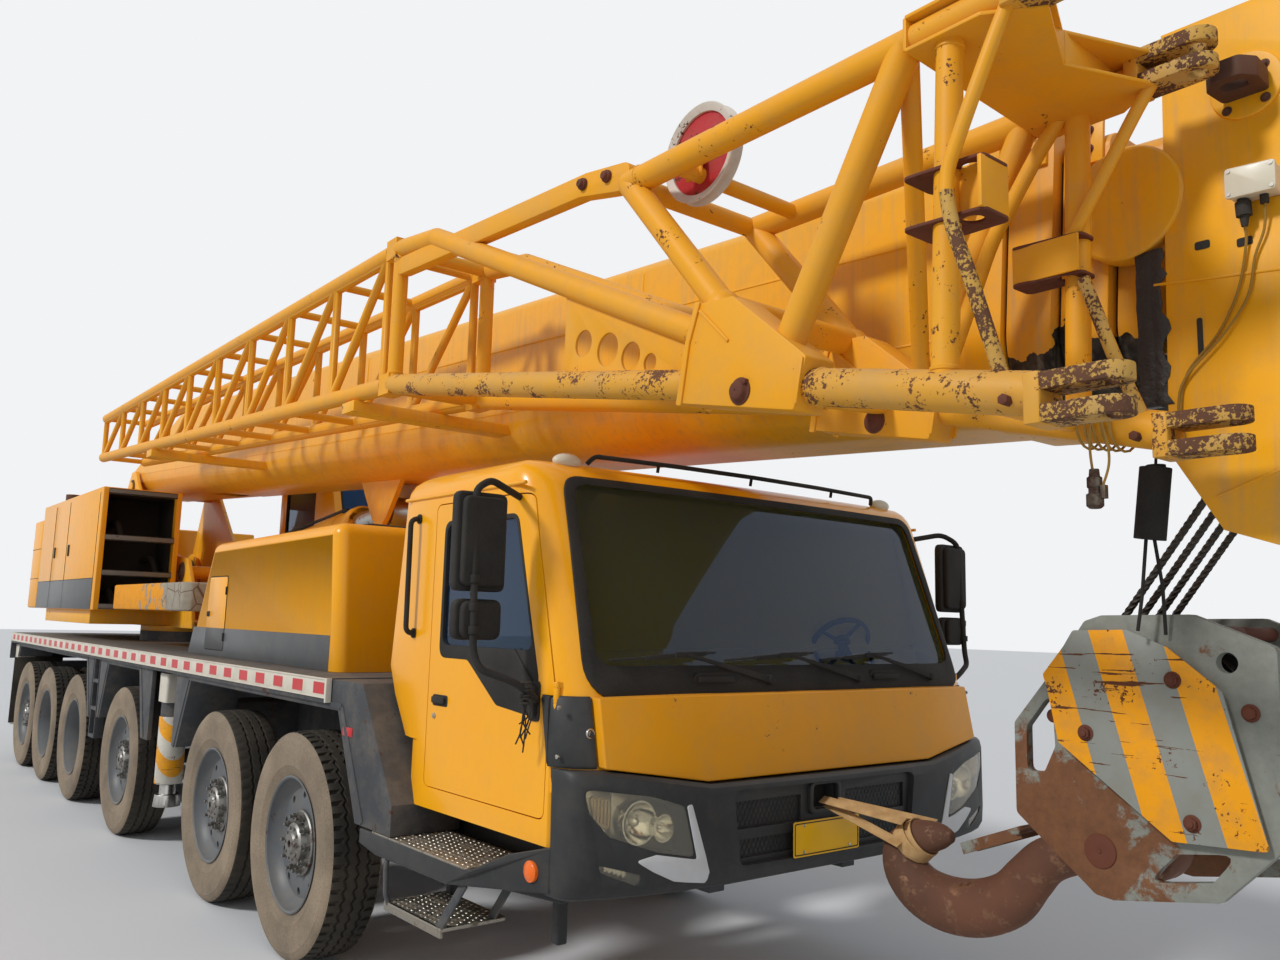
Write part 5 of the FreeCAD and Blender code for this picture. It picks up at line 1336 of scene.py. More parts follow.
for foot, shoulder, rear_shoulder, rear_foot, rear_z in (
    (930, 640, -2010, -2260, 900), (-3180, -3390, -4510, -4720, 900), (-5160, -5370, -9210, -9290, 1262)):
    line = [(foot + 46, 880), (shoulder + 18, 1412), (rear_shoulder - 16, 1412), (rear_foot - 34, rear_z)]
    for (x0, z0), (x1, z1) in zip(line, line[1:]):
        for side in (1, -1):
            bar(shape, (x0, side * 1476, z0), (x1, side * 1476, z1), 34, 8, side=(0, 1, 0))
put("arch_beads", shape, chassis_paint, "carrier", bevel=3)


def slanted(name, plain, banded, pitch_mm, lean, offset=0.0, chips=0.2, chip_mm=14):
    """Two-colour slanted bands sprayed on sheet steel, flaked and scratched down to brown."""
    made, tree, surface = blank(name)
    place = add(tree, "ShaderNodeTexCoord").outputs["Object"]
    parts = add(tree, "ShaderNodeSeparateXYZ", {0: place})
    leaning = add(tree, "ShaderNodeMath", {0: parts.outputs["Z"], 1: lean, 2: parts.outputs["X"]},
                  operation="MULTIPLY_ADD")
    counted = add(tree, "ShaderNodeMath", {0: leaning.outputs[0], 1: 1000 / pitch_mm, 2: offset},
                  operation="MULTIPLY_ADD")
    share = add(tree, "ShaderNodeMath", {0: counted.outputs[0]}, operation="FRACT")
    first = add(tree, "ShaderNodeMath", {0: share.outputs[0], 1: 0.5}, operation="LESS_THAN")
    paint = add(tree, "ShaderNodeMix", {0: first.outputs[0], 6: linear(plain), 7: linear(banded)},
                data_type="RGBA")
    clouds = add(tree, "ShaderNodeTexNoise", {"Vector": place, "Scale": 9.0, "Detail": 6.0,
                                              "Roughness": 0.65})
    dirty = add(tree, "ShaderNodeMapRange", {0: clouds.outputs[0], 1: 0.45, 2: 0.8, 3: 0.0, 4: 0.45})
    soiled = add(tree, "ShaderNodeMix", {0: dirty.outputs[0], 6: paint.outputs[2], 7: linear("#7F7460")},
                 data_type="RGBA")
    flakes = add(tree, "ShaderNodeTexNoise", {"Vector": place, "Scale": 1000 / chip_mm, "Detail": 5.0,
                                              "Roughness": 0.6})
    areas = add(tree, "ShaderNodeTexNoise", {"Vector": place, "Scale": 100 / chip_mm, "Detail": 2.0})
    heavy = add(tree, "ShaderNodeMath", {0: flakes.outputs[0], 1: areas.outputs[0]}, operation="ADD")
    drawn = add(tree, "ShaderNodeMapping", {"Vector": place, "Rotation": (0.0, 0.9, 0.0),
                                            "Scale": (3.0, 3.0, 60.0)})
    scratch = add(tree, "ShaderNodeTexNoise", {"Vector": drawn.outputs[0], "Scale": 1.4, "Detail": 3.0,
                                               "Distortion": 0.4})
    scored = add(tree, "ShaderNodeMapRange", {0: scratch.outputs[0], 1: 0.66, 2: 0.7, 3: 0.0, 4: 0.5})
    heavier = add(tree, "ShaderNodeMath", {0: heavy.outputs[0], 1: scored.outputs[0]}, operation="ADD")
    bare = add(tree, "ShaderNodeMapRange", {0: heavier.outputs[0], 1: 1.38 - chips, 2: 1.42 - chips})
    rusty = add(tree, "ShaderNodeMix", {0: clouds.outputs[0], 6: linear("#7A4526"), 7: linear("#3E2A1E")},
                data_type="RGBA")
    base = add(tree, "ShaderNodeMix", {0: bare.outputs[0], 6: soiled.outputs[2], 7: rusty.outputs[2]},
               data_type="RGBA")
    dull = add(tree, "ShaderNodeMapRange", {0: bare.outputs[0], 3: 0.45, 4: 0.85})
    sunk = add(tree, "ShaderNodeBump", {"Height": bare.outputs[0], "Strength": 0.5, "Distance": 0.0015},
               invert=True)
    tree.links.new(base.outputs[2], surface.inputs["Base Color"])
    tree.links.new(dull.outputs[0], surface.inputs["Roughness"])
    tree.links.new(sunk.outputs[0], surface.inputs["Normal"])
    surface.inputs["Specular IOR Level"].default_value = 0.3
    return made


jack_bands = slanted("jack sleeve bands", "#CFCABD", "#EDA00C", 230, 0.9, chips=0.1)
for name, place, side in (("front_left", -2575, 1), ("front_right", -2825, -1), ("rear_left", -9480, 1),
                          ("rear_right", -9695, -1)):
    shape = bmesh.new()
    lathe(shape, ((566, 95.2), (1062, 95.2), (1068, 99), (1064, 102), (566, 102), (562, 99)),
          (place, side * 1340, 0), 40, "Z")
    put("jack_sleeve_" + name, shape, jack_bands, "outrigger_beam_" + name)
    shape = bmesh.new()
    prism(shape, "xy", rounded(rectangle(place - 104, place + 104, side * 1236, side * 1440), 26),
          1176, 1398)
    put("jack_head_" + name, shape, board_paint, "outrigger_beam_" + name, bevel=5)

# Bonnet: a folded yellow hood over the road engine with a grey band along the foot of each side, and a
# small service door towards the rear.
HOOD_BAND = ((-2914, 1553), (-96, 1553), (-96, 1762), (-2804, 1762))
SERVICE_DOOR = ((-2500, 1596), (-2046, 1596), (-2046, 2150), (-2470, 2150))
hood_yellow = enamel("bonnet yellow enamel", "#F9A904", faded="#F6AF18", gloss=0.34, dusty=0.1, coat=0.4,
                     streaks=0.06)
band_grey = enamel("bonnet grey enamel", "#4A4C4E", faded="#57595A", dust="#857A69", gloss=0.42, dusty=0.2,
                   coat=0.2)
door_paint = enamel("service door enamel", "#F9A904", faded="#F6AF18", gloss=0.34, dusty=0.1, coat=0.4,
                    streaks=0.06, below=(1.762, "#4A4C4E"))
softened("engine_hood", hood_yellow, "carrier", bevel=14)
for name, side in SIDES:
    shape = bmesh.new()
    prism(shape, "xz", HOOD_BAND, *beside(side, 1249, 1252))
    put("bonnet_band_" + name, shape, band_grey, "carrier", bevel=1)
    gap = bmesh.new()
    prism(gap, "xz", rounded(SERVICE_DOOR, 30), *beside(side, 1249, 1252.6))
    put("service_door_gap_" + name, gap, trim_and_shade_black, "carrier")
    panel = bmesh.new()
    inner = [(x + (7 if x < -2200 else -7), z + (7 if z < 1800 else -7)) for x, z in SERVICE_DOOR]
    prism(panel, "xz", rounded(inner, 26), *beside(side, 1250, 1255))
    put("service_door_" + name, panel, door_paint, "carrier", bevel=2)
    latch = bmesh.new()
    prism(latch, "xz", rounded(rectangle(-2474, -2414, 1846, 1886), 12), *beside(side, 1254, 1261))
    for z in (1700, 2040):
        rod(latch, (-2054, side * 1256, z - 30), (-2054, side * 1256, z + 30), 8, 12)
    put("service_door_latch_" + name, latch, trim_and_shade_black, "carrier", bevel=2)
shape = bmesh.new()
rod(shape, (-420, -900, 2436), (-420, -900, 2452), 60, 28)
pipe(shape, ((-500, -980, 2446), (-420, -900, 2470), (-300, -760, 2452), (-160, -560, 2448)), 8, 8, 60)
put("bonnet_cap_and_strap", shape, trim_and_shade_black, "carrier", bevel=2)

# Engine house: a yellow sheet box on the right of the slewing deck, grey along its foot, with an open
# bay to the front whose rails are bare grey channels in front of its inside, which is painted near-black
# as shade.
house_yellow = enamel("engine house enamel", "#F6A606", faded="#F3AC1C", gloss=0.36, dusty=0.12, coat=0.35,
                      streaks=0.14)
channel_grey = enamel("grey channel paint", "#6F6C66", faded="#7E7A72", dust="#8C7D66", gloss=0.6,
                      dusty=0.4, coat=0.0, chips=0.08, chip_mm=30)
# Near-black as painted shade for the open bay's inside and its pipes, and for the dark joints between the
# tail's slabs.
shade_and_joint_black = rubber("painted shade and joint black", "#15130F", "#3C342A", 0.1, 0.5)
softened("engine_house", house_yellow, "superstructure", bevel=12)
shape = bmesh.new()
block(shape, -6698, -6690, -1299, -621, 1931, 3089)
block(shape, -6698, -6100, -1299, -1295, 1931, 3089)
block(shape, -6698, -6100, -625, -621, 1931, 3089)
block(shape, -6698, -6100, -1299, -621, 3084, 3089)
block(shape, -6698, -6100, -1299, -621, 1931, 1937)
for y, z, reach in ((-1180, 2050, 420), (-1010, 2110, 300), (-820, 2060, 460), (-760, 2420, 330),
                    (-1150, 2780, 380)):
    pipe(shape, ((-6690, y, z), (-6690 + reach, y + 20, z + 30), (-6690 + reach + 60, y + 60, z - 140)), 34,
         14, 80)
put("house_bay_inside", shape, shade_and_joint_black, "superstructure", bevel=2)
shape = bmesh.new()
for low, high in ((1876, 1936), (2226, 2286), (2596, 2656), (3086, 3140)):
    block(shape, -6066, -5994, -1302, -618, low, low + 9)
    block(shape, -6066, -5994, -1302, -618, high - 9, high)
    block(shape, -6006, -5994, -1302, -618, low, high)
put("house_bay_channels", shape, channel_grey, "superstructure", bevel=2)
shape = bmesh.new()
block(shape, -9286, -6128, -1352.5, -1349, 1873, 2196)
put("house_foot_band", shape, band_grey, "superstructure", bevel=1)
shape = bmesh.new()
for x in (-6130, -7660, -8480):
    block(shape, x - 4, x + 4, -1353.5, -1349, 1880, 3100)
block(shape, -9280, -6130, -1353.2, -1349, 2194, 2200)
for x in (-7560, -8380):
    prism(shape, "xz", rounded(rectangle(x, x + 60, 2470, 2600), 14), -1360, -1349)
put("house_seams", shape, trim_and_shade_black, "superstructure", bevel=1)

# Tail counterweight and base slab: cast blocks. The slab's orange paint has broken away in large flakes
# down to the pale filler, with brown cracks.
softened("counterweight", house_yellow, "superstructure", bevel=24)
slab_paint, tree, surface = blank("flaked slab enamel")
place = add(tree, "ShaderNodeTexCoord").outputs["Object"]
torn = add(tree, "ShaderNodeTexNoise", {"Vector": place, "Scale": 2.6, "Detail": 7.0, "Roughness": 0.62,
                                        "Distortion": 0.6})
along = add(tree, "ShaderNodeSeparateXYZ", {0: place})
nearer = add(tree, "ShaderNodeMapRange", {0: along.outputs["X"], 1: -3.1, 2: -0.7, 3: -0.14, 4: 0.16})
risen = add(tree, "ShaderNodeMath", {0: torn.outputs[0], 1: nearer.outputs[0]}, operation="ADD")
flaked = add(tree, "ShaderNodeMapRange", {0: risen.outputs[0], 1: 0.52, 2: 0.54})
stone = add(tree, "ShaderNodeTexNoise", {"Vector": place, "Scale": 14.0, "Detail": 8.0, "Roughness": 0.7})
filler = add(tree, "ShaderNodeMix", {0: stone.outputs[0], 6: linear("#B7AE9C"), 7: linear("#6E675B")},
             data_type="RGBA")
crack = add(tree, "ShaderNodeTexVoronoi", {"Vector": place, "Scale": 5.0}, feature="DISTANCE_TO_EDGE")
split = add(tree, "ShaderNodeMapRange", {0: crack.outputs["Distance"], 1: 0.0, 2: 0.03, 3: 1.0, 4: 0.0})
cracked = add(tree, "ShaderNodeMix", {0: split.outputs[0], 6: filler.outputs[2], 7: linear("#5A3B22")},
              data_type="RGBA")
worn = add(tree, "ShaderNodeMapRange", {0: stone.outputs[0], 1: 0.5, 2: 0.75, 3: 0.0, 4: 0.5})
orange = add(tree, "ShaderNodeMix", {0: worn.outputs[0], 6: linear("#E69712"), 7: linear("#A8742E")},
             data_type="RGBA")
base = add(tree, "ShaderNodeMix", {0: flaked.outputs[0], 6: orange.outputs[2], 7: cracked.outputs[2]},
           data_type="RGBA")
tree.links.new(base.outputs[2], surface.inputs["Base Color"])
surface.inputs["Roughness"].default_value = 0.75
surface.inputs["Specular IOR Level"].default_value = 0.3
sunk = add(tree, "ShaderNodeBump", {"Height": risen.outputs[0], "Strength": 0.6, "Distance": 0.01},
           invert=True)
tree.links.new(sunk.outputs[0], surface.inputs["Normal"])
softened("counterweight_slab", slab_paint, "superstructure", bevel=16)

# Hook block: two burnt-out cheek plates with their handles, four grooved sheaves on one axle, and a
# striped guard plate bolted on each side. Its lower rear has rusted through the grey paint.
BLOCK_CHEEK = (
    (4050, 1930), (4110, 1950), (4400, 1956), (4640, 1860), (4640, 1290), (4450, 1095), (4120, 1034),
    (4060, 1040),
    (3780, 1260), (3780, 1570), (3920, 1745))
BLOCK_HANDLES = (
    ((3826, 1405), (3826, 1560), (3925, 1690), (3932, 1500), (3890, 1410)),
    ((4225, 1108), (4430, 1150), (4505, 1245), (4325, 1215)))
BLOCK_GUARD = (
    (3910, 1744), (3990, 1844), (4024, 1898), (4209, 1904), (4335, 1852), (4494, 1724), (4604, 1272),
    (4326, 1256),
    (3961, 1520), (3923, 1708))
block_grey, tree, surface = blank("rusting grey block paint")
place = add(tree, "ShaderNodeTexCoord").outputs["Object"]
flat = add(tree, "ShaderNodeVectorMath", {0: place, 1: (1.0, 0.0, 1.0)}, operation="MULTIPLY")
reach = add(tree, "ShaderNodeVectorMath", {0: flat.outputs[0], 1: (6.30, 0.0, 1.16)}, operation="DISTANCE")
near_foot = add(tree, "ShaderNodeMapRange", {0: reach.outputs["Value"], 1: 0.12, 2: 0.62, 3: 0.3, 4: -0.04})
bloom = add(tree, "ShaderNodeTexNoise", {"Vector": place, "Scale": 9.0, "Detail": 9.0, "Roughness": 0.72,
                                         "Distortion": 0.3})
raised = add(tree, "ShaderNodeMath", {0: bloom.outputs[0], 1: near_foot.outputs[0]}, operation="ADD")
edge = add(tree, "ShaderNodeMapRange", {0: add(tree, "ShaderNodeNewGeometry").outputs["Pointiness"], 1: 0.5,
                                        2: 0.6, 3: 0.0, 4: 0.12})
raised = add(tree, "ShaderNodeMath", {0: raised.outputs[0], 1: edge.outputs[0]}, operation="ADD")
rusted = add(tree, "ShaderNodeMapRange", {0: raised.outputs[0], 1: 0.6, 2: 0.68})
mottle = add(tree, "ShaderNodeTexNoise", {"Vector": place, "Scale": 26.0, "Detail": 6.0, "Roughness": 0.7})
paint = add(tree, "ShaderNodeMix", {0: mottle.outputs[0], 6: linear("#93968C"), 7: linear("#6E7067")},
            data_type="RGBA")
rust_tone = add(tree, "ShaderNodeMix", {0: mottle.outputs[0], 6: linear("#8A5B38"), 7: linear("#4C3325")},
                data_type="RGBA")
base = add(tree, "ShaderNodeMix", {0: rusted.outputs[0], 6: paint.outputs[2], 7: rust_tone.outputs[2]},
           data_type="RGBA")
tree.links.new(base.outputs[2], surface.inputs["Base Color"])
surface.inputs["Roughness"].default_value = 0.62
surface.inputs["Specular IOR Level"].default_value = 0.3
pits = add(tree, "ShaderNodeBump", {"Height": raised.outputs[0], "Strength": 0.4, "Distance": 0.003})
tree.links.new(pits.outputs[0], surface.inputs["Normal"])
SHEAVE_AXLE = (4250, 0, 1600)
CROSSHEAD = (4080, 0, 1180)
FALLS_Y = (-180, -60, 60, 180)
guard_bands = slanted("guard plate bands", "#8B8E86", "#F0A00A", 235.5, 0.2736,
                      offset=-4.364 / 0.2355 - 2.4 / 0.2355, chips=0.16, chip_mm=13)
rust_cast = metal("rusty casting", "#5D463A", 0.6, rust=0.9, rust_colour="#6E4630")
rust_bolt = metal("rusty bolt steel", "#5A3B2C", 0.6, rust=0.9, rust_colour="#7B3F26", dark="#4A2A1E")
sheave_steel = metal("greased sheave steel", "#2B2A28", 0.45, rust=0.3, rust_colour="#3E332B",
                     dark="#161513")
shape = bmesh.new()
prism(shape, "xz", rounded(BLOCK_CHEEK, 26, 3), 270, 310)
tool = bmesh.new()
for hole in BLOCK_HANDLES:
    prism(tool, "xz", rounded(hole, 22, 4), 200, 400)
rod(tool, (4500, 200, 1810), (4500, 400, 1810), 32, 28)
put("block_cheeks", mirrored(combined(shape, tool)), block_grey, "hook_assembly",
    ["hook_block"], bevel=4)
shape = bmesh.new()
prism(shape, "xz", rounded(BLOCK_GUARD, 16, 3), 335, 343)
put("block_guards", mirrored(shape), guard_bands, "hook_assembly", bevel=2)
shape = bmesh.new()
for x, z in ((4350, 1750), (4060, 1560), (4390, 1320)):
    rod(shape, (x, 308, z), (x, 336, z), 26, 20)
    rod(shape, (x, 343, z), (x, 346, z), 27, 24)
    rod(shape, (x, 346, z), (x, 360, z), 19, 6)
    rod(shape, (x, 360, z), (x, 366, z), 11, 14)
rod(shape, (4560, 310, 1664), (4560, 314, 1664), 27, 24)
rod(shape, (4560, 314, 1664), (4560, 330, 1664), 19, 6)
lathe(shape, ((309, 3), (309, 56), (315, 53), (316, 3)), CROSSHEAD, 40, "Y")
rod(shape, (4080, 315, 1180), (4080, 319, 1180), 6, 12)
for x, z in ((3905, 1600), (4420, 1900), (4590, 1345), (3850, 1330)):
    rod(shape, (x, 0, z), (x, 271, z), 24, 16)
put("block_bolts_and_spacers", mirrored(shape), rust_bolt, "hook_assembly", bevel=1)
shape = bmesh.new()
for y in FALLS_Y:
    lathe(shape, ((y - 25, 66), (y - 25, 120), (y - 12, 126), (y - 12, 228), (y - 25, 236), (y - 25, 288),
                  (y - 19, 290),
                  (y - 9, 268), (y, 262), (y + 9, 268), (y + 19, 290), (y + 25, 288), (y + 25, 236),
                  (y + 12, 228),
                  (y + 12, 126), (y + 25, 120), (y + 25, 66)), SHEAVE_AXLE, 56, "Y")
rod(shape, (4250, -276, 1600), (4250, 276, 1600), 68, 32)
rod(shape, (4080, -275, 1180), (4080, 275, 1180), 88, 36)
put("block_sheaves", shape, sheave_steel, "hook_assembly", smooth=35)
shape = bmesh.new()
for y in (-120, 0, 120):
    prism(shape, "xz", rounded([(3960, 1420), (4010, 1800), (4240, 1905), (4470, 1820), (4560, 1600),
                                (4420, 1330), (4240, 1270)], 40, 4), y - 4, y + 4)
put("rope_keepers", shape, sheave_steel, "hook_assembly", bevel=2)

# Hook: a forged single hook with a swelling saddle, worn bright where slings bear, and a folded
# sheet safety latch. It lies back under the bumper, tied to the towing hole by flat webbing slings.
HOOK_LINE = (                  # along, across, height and radius down the middle of the forging
    (4080, 0, 1180, 74), (3960, 0, 1140, 74), (3850, 0, 1105, 76), (3720, 0, 1048, 82), (3640, 0, 968, 90),
    (3560, 0, 878, 100), (3440, 0, 818, 107), (3310, 0, 797, 110), (3180, 0, 815, 106), (3088, 0, 880, 98),
    (3066, 0, 955, 90), (3105, 0, 1008, 82), (3185, 0, 1040, 68), (3262, 0, 1056, 48), (3306, 0, 1060, 22))


def threaded(points, steps=6):
    """A smooth line through places, with the thickness that goes with each."""
    line, radii = [], []
    ends = [points[0]] + list(points) + [points[-1]]
    for a, b, c, d in zip(ends, ends[1:], ends[2:], ends[3:]):
        for k in range(steps):
            t = k / steps
            spot = [0.5 * (2 * q + (r - p) * t + (2 * p - 5 * q + 4 * r - s) * t * t
                           + (3 * q - p - 3 * r + s) * t ** 3)
                    for p, q, r, s in zip(a, b, c, d)]
            line.append(tuple(spot[:3]))
            radii.append(spot[3])
    line.append(tuple(points[-1][:3]))
    radii.append(points[-1][3])
    return line, radii


hook_iron = metal("worn hook forging", "#8C6A52", 0.45, rust=0.75, rust_colour="#7C4E36", dark="#3A2A20")
webbing, tree, surface = blank("flat polyester sling")
place = add(tree, "ShaderNodeTexCoord").outputs["Object"]
threads = add(tree, "ShaderNodeTexWave", {"Vector": place, "Scale": 90.0, "Distortion": 1.5, "Detail": 2.0},
              bands_direction="DIAGONAL")
stain = add(tree, "ShaderNodeTexNoise", {"Vector": place, "Scale": 18.0, "Detail": 6.0})
woven = add(tree, "ShaderNodeMix", {0: stain.outputs[0], 6: linear("#D9B57E"), 7: linear("#8A6236")},
            data_type="RGBA")
tree.links.new(woven.outputs[2], surface.inputs["Base Color"])
surface.inputs["Roughness"].default_value = 0.9
ribbed = add(tree, "ShaderNodeBump", {"Height": threads.outputs["Fac"], "Strength": 0.4, "Distance": 0.001})
tree.links.new(ribbed.outputs[0], surface.inputs["Normal"])
shape = bmesh.new()
line, radii = threaded(HOOK_LINE)
pipe(shape, line, radii, 28)
bmesh.ops.scale(shape, vec=(1, 0.86, 1), verts=shape.verts)
lathe(shape, ((-74, 92), (-80, 100), (-80, 128), (-70, 137), (70, 137), (80, 128), (80, 100), (74, 92)),
      CROSSHEAD, 48, "Y")
put("hook_forging", shape, hook_iron, "hook", ["hook"], smooth=60)
shape = bmesh.new()
bar(shape, (3640, 0, 1160), (3372, 0, 1048), 116, 8, 92, side=(0, 0, 1))
for y in (-56, 56):
    bar(shape, (3640, y, 1140), (3380, y * 0.85, 1034), 8, 44, side=(0, 0, 1))
rod(shape, (3632, -72, 1146), (3632, 72, 1146), 14, 16)
put("hook_latch", shape, block_grey, "hook", bevel=2)
shape = bmesh.new()
for start, end, wide in (
    ((2690, -86, 1128), (3128, -78, 1100), 46), ((2690, -52, 1104), (3118, -92, 1010), 44),
    ((2720, -20, 1122), (3190, 52, 1092), 40)):
    bar(shape, start, end, wide, 5, side=(0.2, -0.5, 0.85))
for place_x, place_z, turn, reach in ((3112, 1006, 0.9, 84), (3150, 1026, 0.62, 78),
                                      (3128, 1016, 0.75, 86)):
    lathe(shape, ((-24, reach), (-24, reach + 6), (24, reach + 6), (24, reach)), (place_x, 0, place_z), 36,
          "X",
          Matrix.Rotation(-turn, 3, "Y") @ Matrix.Diagonal((1.0, 0.9, 1.0)))
put("lashing_slings", shape, webbing, "hook", bevel=1)

# Jib root: the folded jib's swing-away end. Round tubes are mitred and welded between two hinge boxes,
# with pierced gussets behind them and forged forks ahead. Its ochre enamel is scraped down to rust on
# the low chords.
NEAR_Y = -1395
FAR_Y = -720
jib_ochre = enamel("worn ochre enamel", "#EDA315", faded="#DFA238", gloss=0.5, rust="#84502E", dusty=0.2,
                   chips=0.02, chip_mm=15, worn_edges=0.08)
scraped_ochre = enamel("scraped ochre enamel", "#E0A030", faded="#C99A4C", rust="#8A5A3A", gloss=0.55,
                       dusty=0.3, chips=0.14, chip_mm=13,
                       worn_edges=0.2)
scabbed_ochre = enamel("scabbed ochre enamel", "#C79A44", faded="#B98F52", rust="#7A5138", gloss=0.6,
                       dusty=0.4, chips=0.34, chip_mm=11)
ROOT = {
    "near_low": (880, NEAR_Y, 3096), "near_up": (880, NEAR_Y, 3840), "kink": (1280, NEAR_Y, 3790),
    "up_end": (3280, NEAR_Y, 2880), "hinge": (3570, NEAR_Y, 2650), "apex": (3390, NEAR_Y, 2950),
    "fork_low": (4530, NEAR_Y, 2470), "post_low": (4255, NEAR_Y, 2530), "post_up": (4290, NEAR_Y, 3550),
    "diagonal_up": (4150, NEAR_Y, 3570), "diagonal_low": (3650, NEAR_Y, 2690),
    "strut_up": (2860, NEAR_Y, 3560),
    "fork_up": (4500, NEAR_Y, 3560), "far_low": (880, -865, 3096), "far_up": (880, -865, 3840),
    "far_hinge": (3570, FAR_Y, 2700), "far_apex": (3390, FAR_Y, 2950), "far_fork_low": (4530, FAR_Y, 2470),
    "far_post_low": (4270, FAR_Y, 2530), "far_post_up": (4300, FAR_Y, 3550),
    "far_strut_up": (2860, FAR_Y, 3560),
    "far_fork_up": (4500, FAR_Y, 3560), "far_kink": (1280, -860, 3790), "far_up_end": (3280, -730, 2880),
    "far_diagonal_low": (3700, FAR_Y, 2680), "far_diagonal_up": (4110, FAR_Y, 3540),
}
ROOT_TUBES = (                 # from, to, radius
    ("near_up", "kink", 50), ("kink", "up_end", 50), ("apex", "strut_up", 50), ("strut_up", "fork_up", 50),
    ("post_low", "post_up", 38), ("diagonal_low", "diagonal_up", 50), ("near_up", "near_low", 40),
    ("apex", "hinge", 60),
    ("far_low", "far_hinge", 55), ("far_up", "far_kink", 50), ("far_kink", "far_up_end", 50),
    ("far_hinge", "far_fork_low", 58), ("far_apex", "far_strut_up", 50),
    ("far_strut_up", "far_fork_up", 50),
    ("far_post_low", "far_post_up", 38), ("far_apex", "far_hinge", 60), ("far_up", "far_low", 40),
    ("apex", "far_apex", 50), ("hinge", "far_hinge", 50), ("strut_up", "far_strut_up", 40),
    ("post_low", "far_post_low", 36), ("post_up", "far_post_up", 36), ("near_up", "far_up", 36),
    ("near_low", "far_low", 36), ("kink", "far_kink", 30), ("up_end", "hinge", 50),
    ("far_up_end", "far_hinge", 50),
    ("far_diagonal_low", "far_diagonal_up", 45), ("diagonal_up", "far_diagonal_low", 30),
)
FORK_TIPS = ((4730, NEAR_Y, 2440), (4730, FAR_Y, 2440), (4690, NEAR_Y, 3560), (4690, FAR_Y, 3560))


def ball(shape, centre, radius):
    """The rounded weld where tubes of one size meet end to end."""
    bmesh.ops.create_icosphere(shape, subdivisions=3, radius=radius, matrix=Matrix.Translation(centre))


def weld_ring(shape, start, end, radius, along=0.0):
    """A bead of weld round a tube, a distance along from its start."""
    start, end = Vector(start), Vector(end)
    heading = (end - start).normalized()
    turn = heading.to_track_quat("X", "Z").to_matrix()
    lathe(shape, ((-9, radius - 4), (-5, radius + 3), (3, radius + 4), (9, radius - 4)),
          start + heading * along, 24, "X", turn)


shape = bmesh.new()
for first, last, radius in ROOT_TUBES:
    rod(shape, ROOT[first], ROOT[last], radius, 24)
for name in ("near_up", "kink", "strut_up", "apex", "hinge", "up_end", "near_low"):
    radius = max(r for a, b, r in ROOT_TUBES if name in (a, b))
    ball(shape, ROOT[name], radius)
    ball(shape, ROOT[{"near_up": "far_up", "near_low": "far_low"}.get(name, "far_" + name)], radius)
for first, last, radius, along in (
    ("post_low", "post_up", 38, 52), ("diagonal_low", "diagonal_up", 50, 66),
    ("far_post_low", "far_post_up", 38, 52),
    ("strut_up", "fork_up", 50, 70), ("post_up", "post_low", 38, 60), ("near_up", "near_low", 40, 56),
    ("near_low", "near_up", 40, 60)):
    weld_ring(shape, ROOT[first], ROOT[last], radius, along)
for name in ("near_low", "near_up", "far_low", "far_up"):
    x, y, z = ROOT[name]
    block(shape, x - 97, x + 20, y - 45, y + 45, z - 55, z + 55)
put("jib_root_tubes", shape, jib_ochre, "boom_base", ["jib_root"], smooth=35)
shape = bmesh.new()
rod(shape, ROOT["near_low"], ROOT["hinge"], 55, 28)
rod(shape, ROOT["hinge"], ROOT["fork_low"], 58, 28)
weld_ring(shape, ROOT["hinge"], ROOT["fork_low"], 58, 262)
for x, y, z in FORK_TIPS:
    prism(shape, "xy", rounded(rectangle(x - 218, x - 172, y - 58, y + 58), 8, 2), z - 52, z + 76)
put("jib_low_chord", shape, scraped_ochre, "boom_base", bevel=2, smooth=35)
shape = bmesh.new()
tool = bmesh.new()
for x, y, z in FORK_TIPS:
    nose = [(x - 24 + 55 * math.cos(a), y + 55 * math.sin(a))
            for a in (math.pi * (k / 12 - 0.5) for k in range(13))]
    outline = [(x - 190, y - 55)] + nose + [(x - 190, y + 55)]
    for low in (z - 50, z + 30):
        prism(shape, "xy", outline, low, low + 44)
    rod(tool, (x - 24, y, z - 120), (x - 24, y, z + 120), 27, 28)
put("jib_fork_lugs", combined(shape, tool), scabbed_ochre, "boom_base", bevel=4)
HINGE_BOX = ((3330, 2960), (3500, 2950), (3820, 2690), (3770, 2530), (3240, 2630), (3280, 2830))
GUSSET = ((2460, 2850), (2460, 3240), (3302, 2870), (3312, 2690))
shape = bmesh.new()
for y in (NEAR_Y, FAR_Y):
    prism(shape, "xz", rounded(HINGE_BOX, 14, 3), y - 66, y + 66)
    for low, high in ((y - 74, y - 64), (y + 64, y + 74)):
        prism(shape, "xz", rounded([(3236, 2622), (3262, 2618), (3300, 2828), (3352, 2964), (3326, 2968),
                                    (3278, 2834)], 6, 2), low, high)
        bar(shape, (3345, (low + high) / 2, 2934), (3486, (low + high) / 2, 2800), 12, 9, side=(0, 1, 0))
        bar(shape, (3780, (low + high) / 2, 2548), (3806, (low + high) / 2, 2688), 14, 9, side=(0, 1, 0))
put("jib_hinge_boxes", shape, jib_ochre, "boom_base", bevel=5)
shape = bmesh.new()
tool = bmesh.new()
for y in (NEAR_Y, -760):
    prism(shape, "xz", GUSSET, y - 6, y + 6)
    for x, z, radius in ((2590, 2980, 55), (2750, 2925, 66), (2895, 2870, 56), (3010, 2825, 36)):
        rod(tool, (x, y - 30, z), (x, y + 30, z), radius, 32)
put("jib_gussets", combined(shape, tool), jib_ochre, "boom_base", bevel=2)
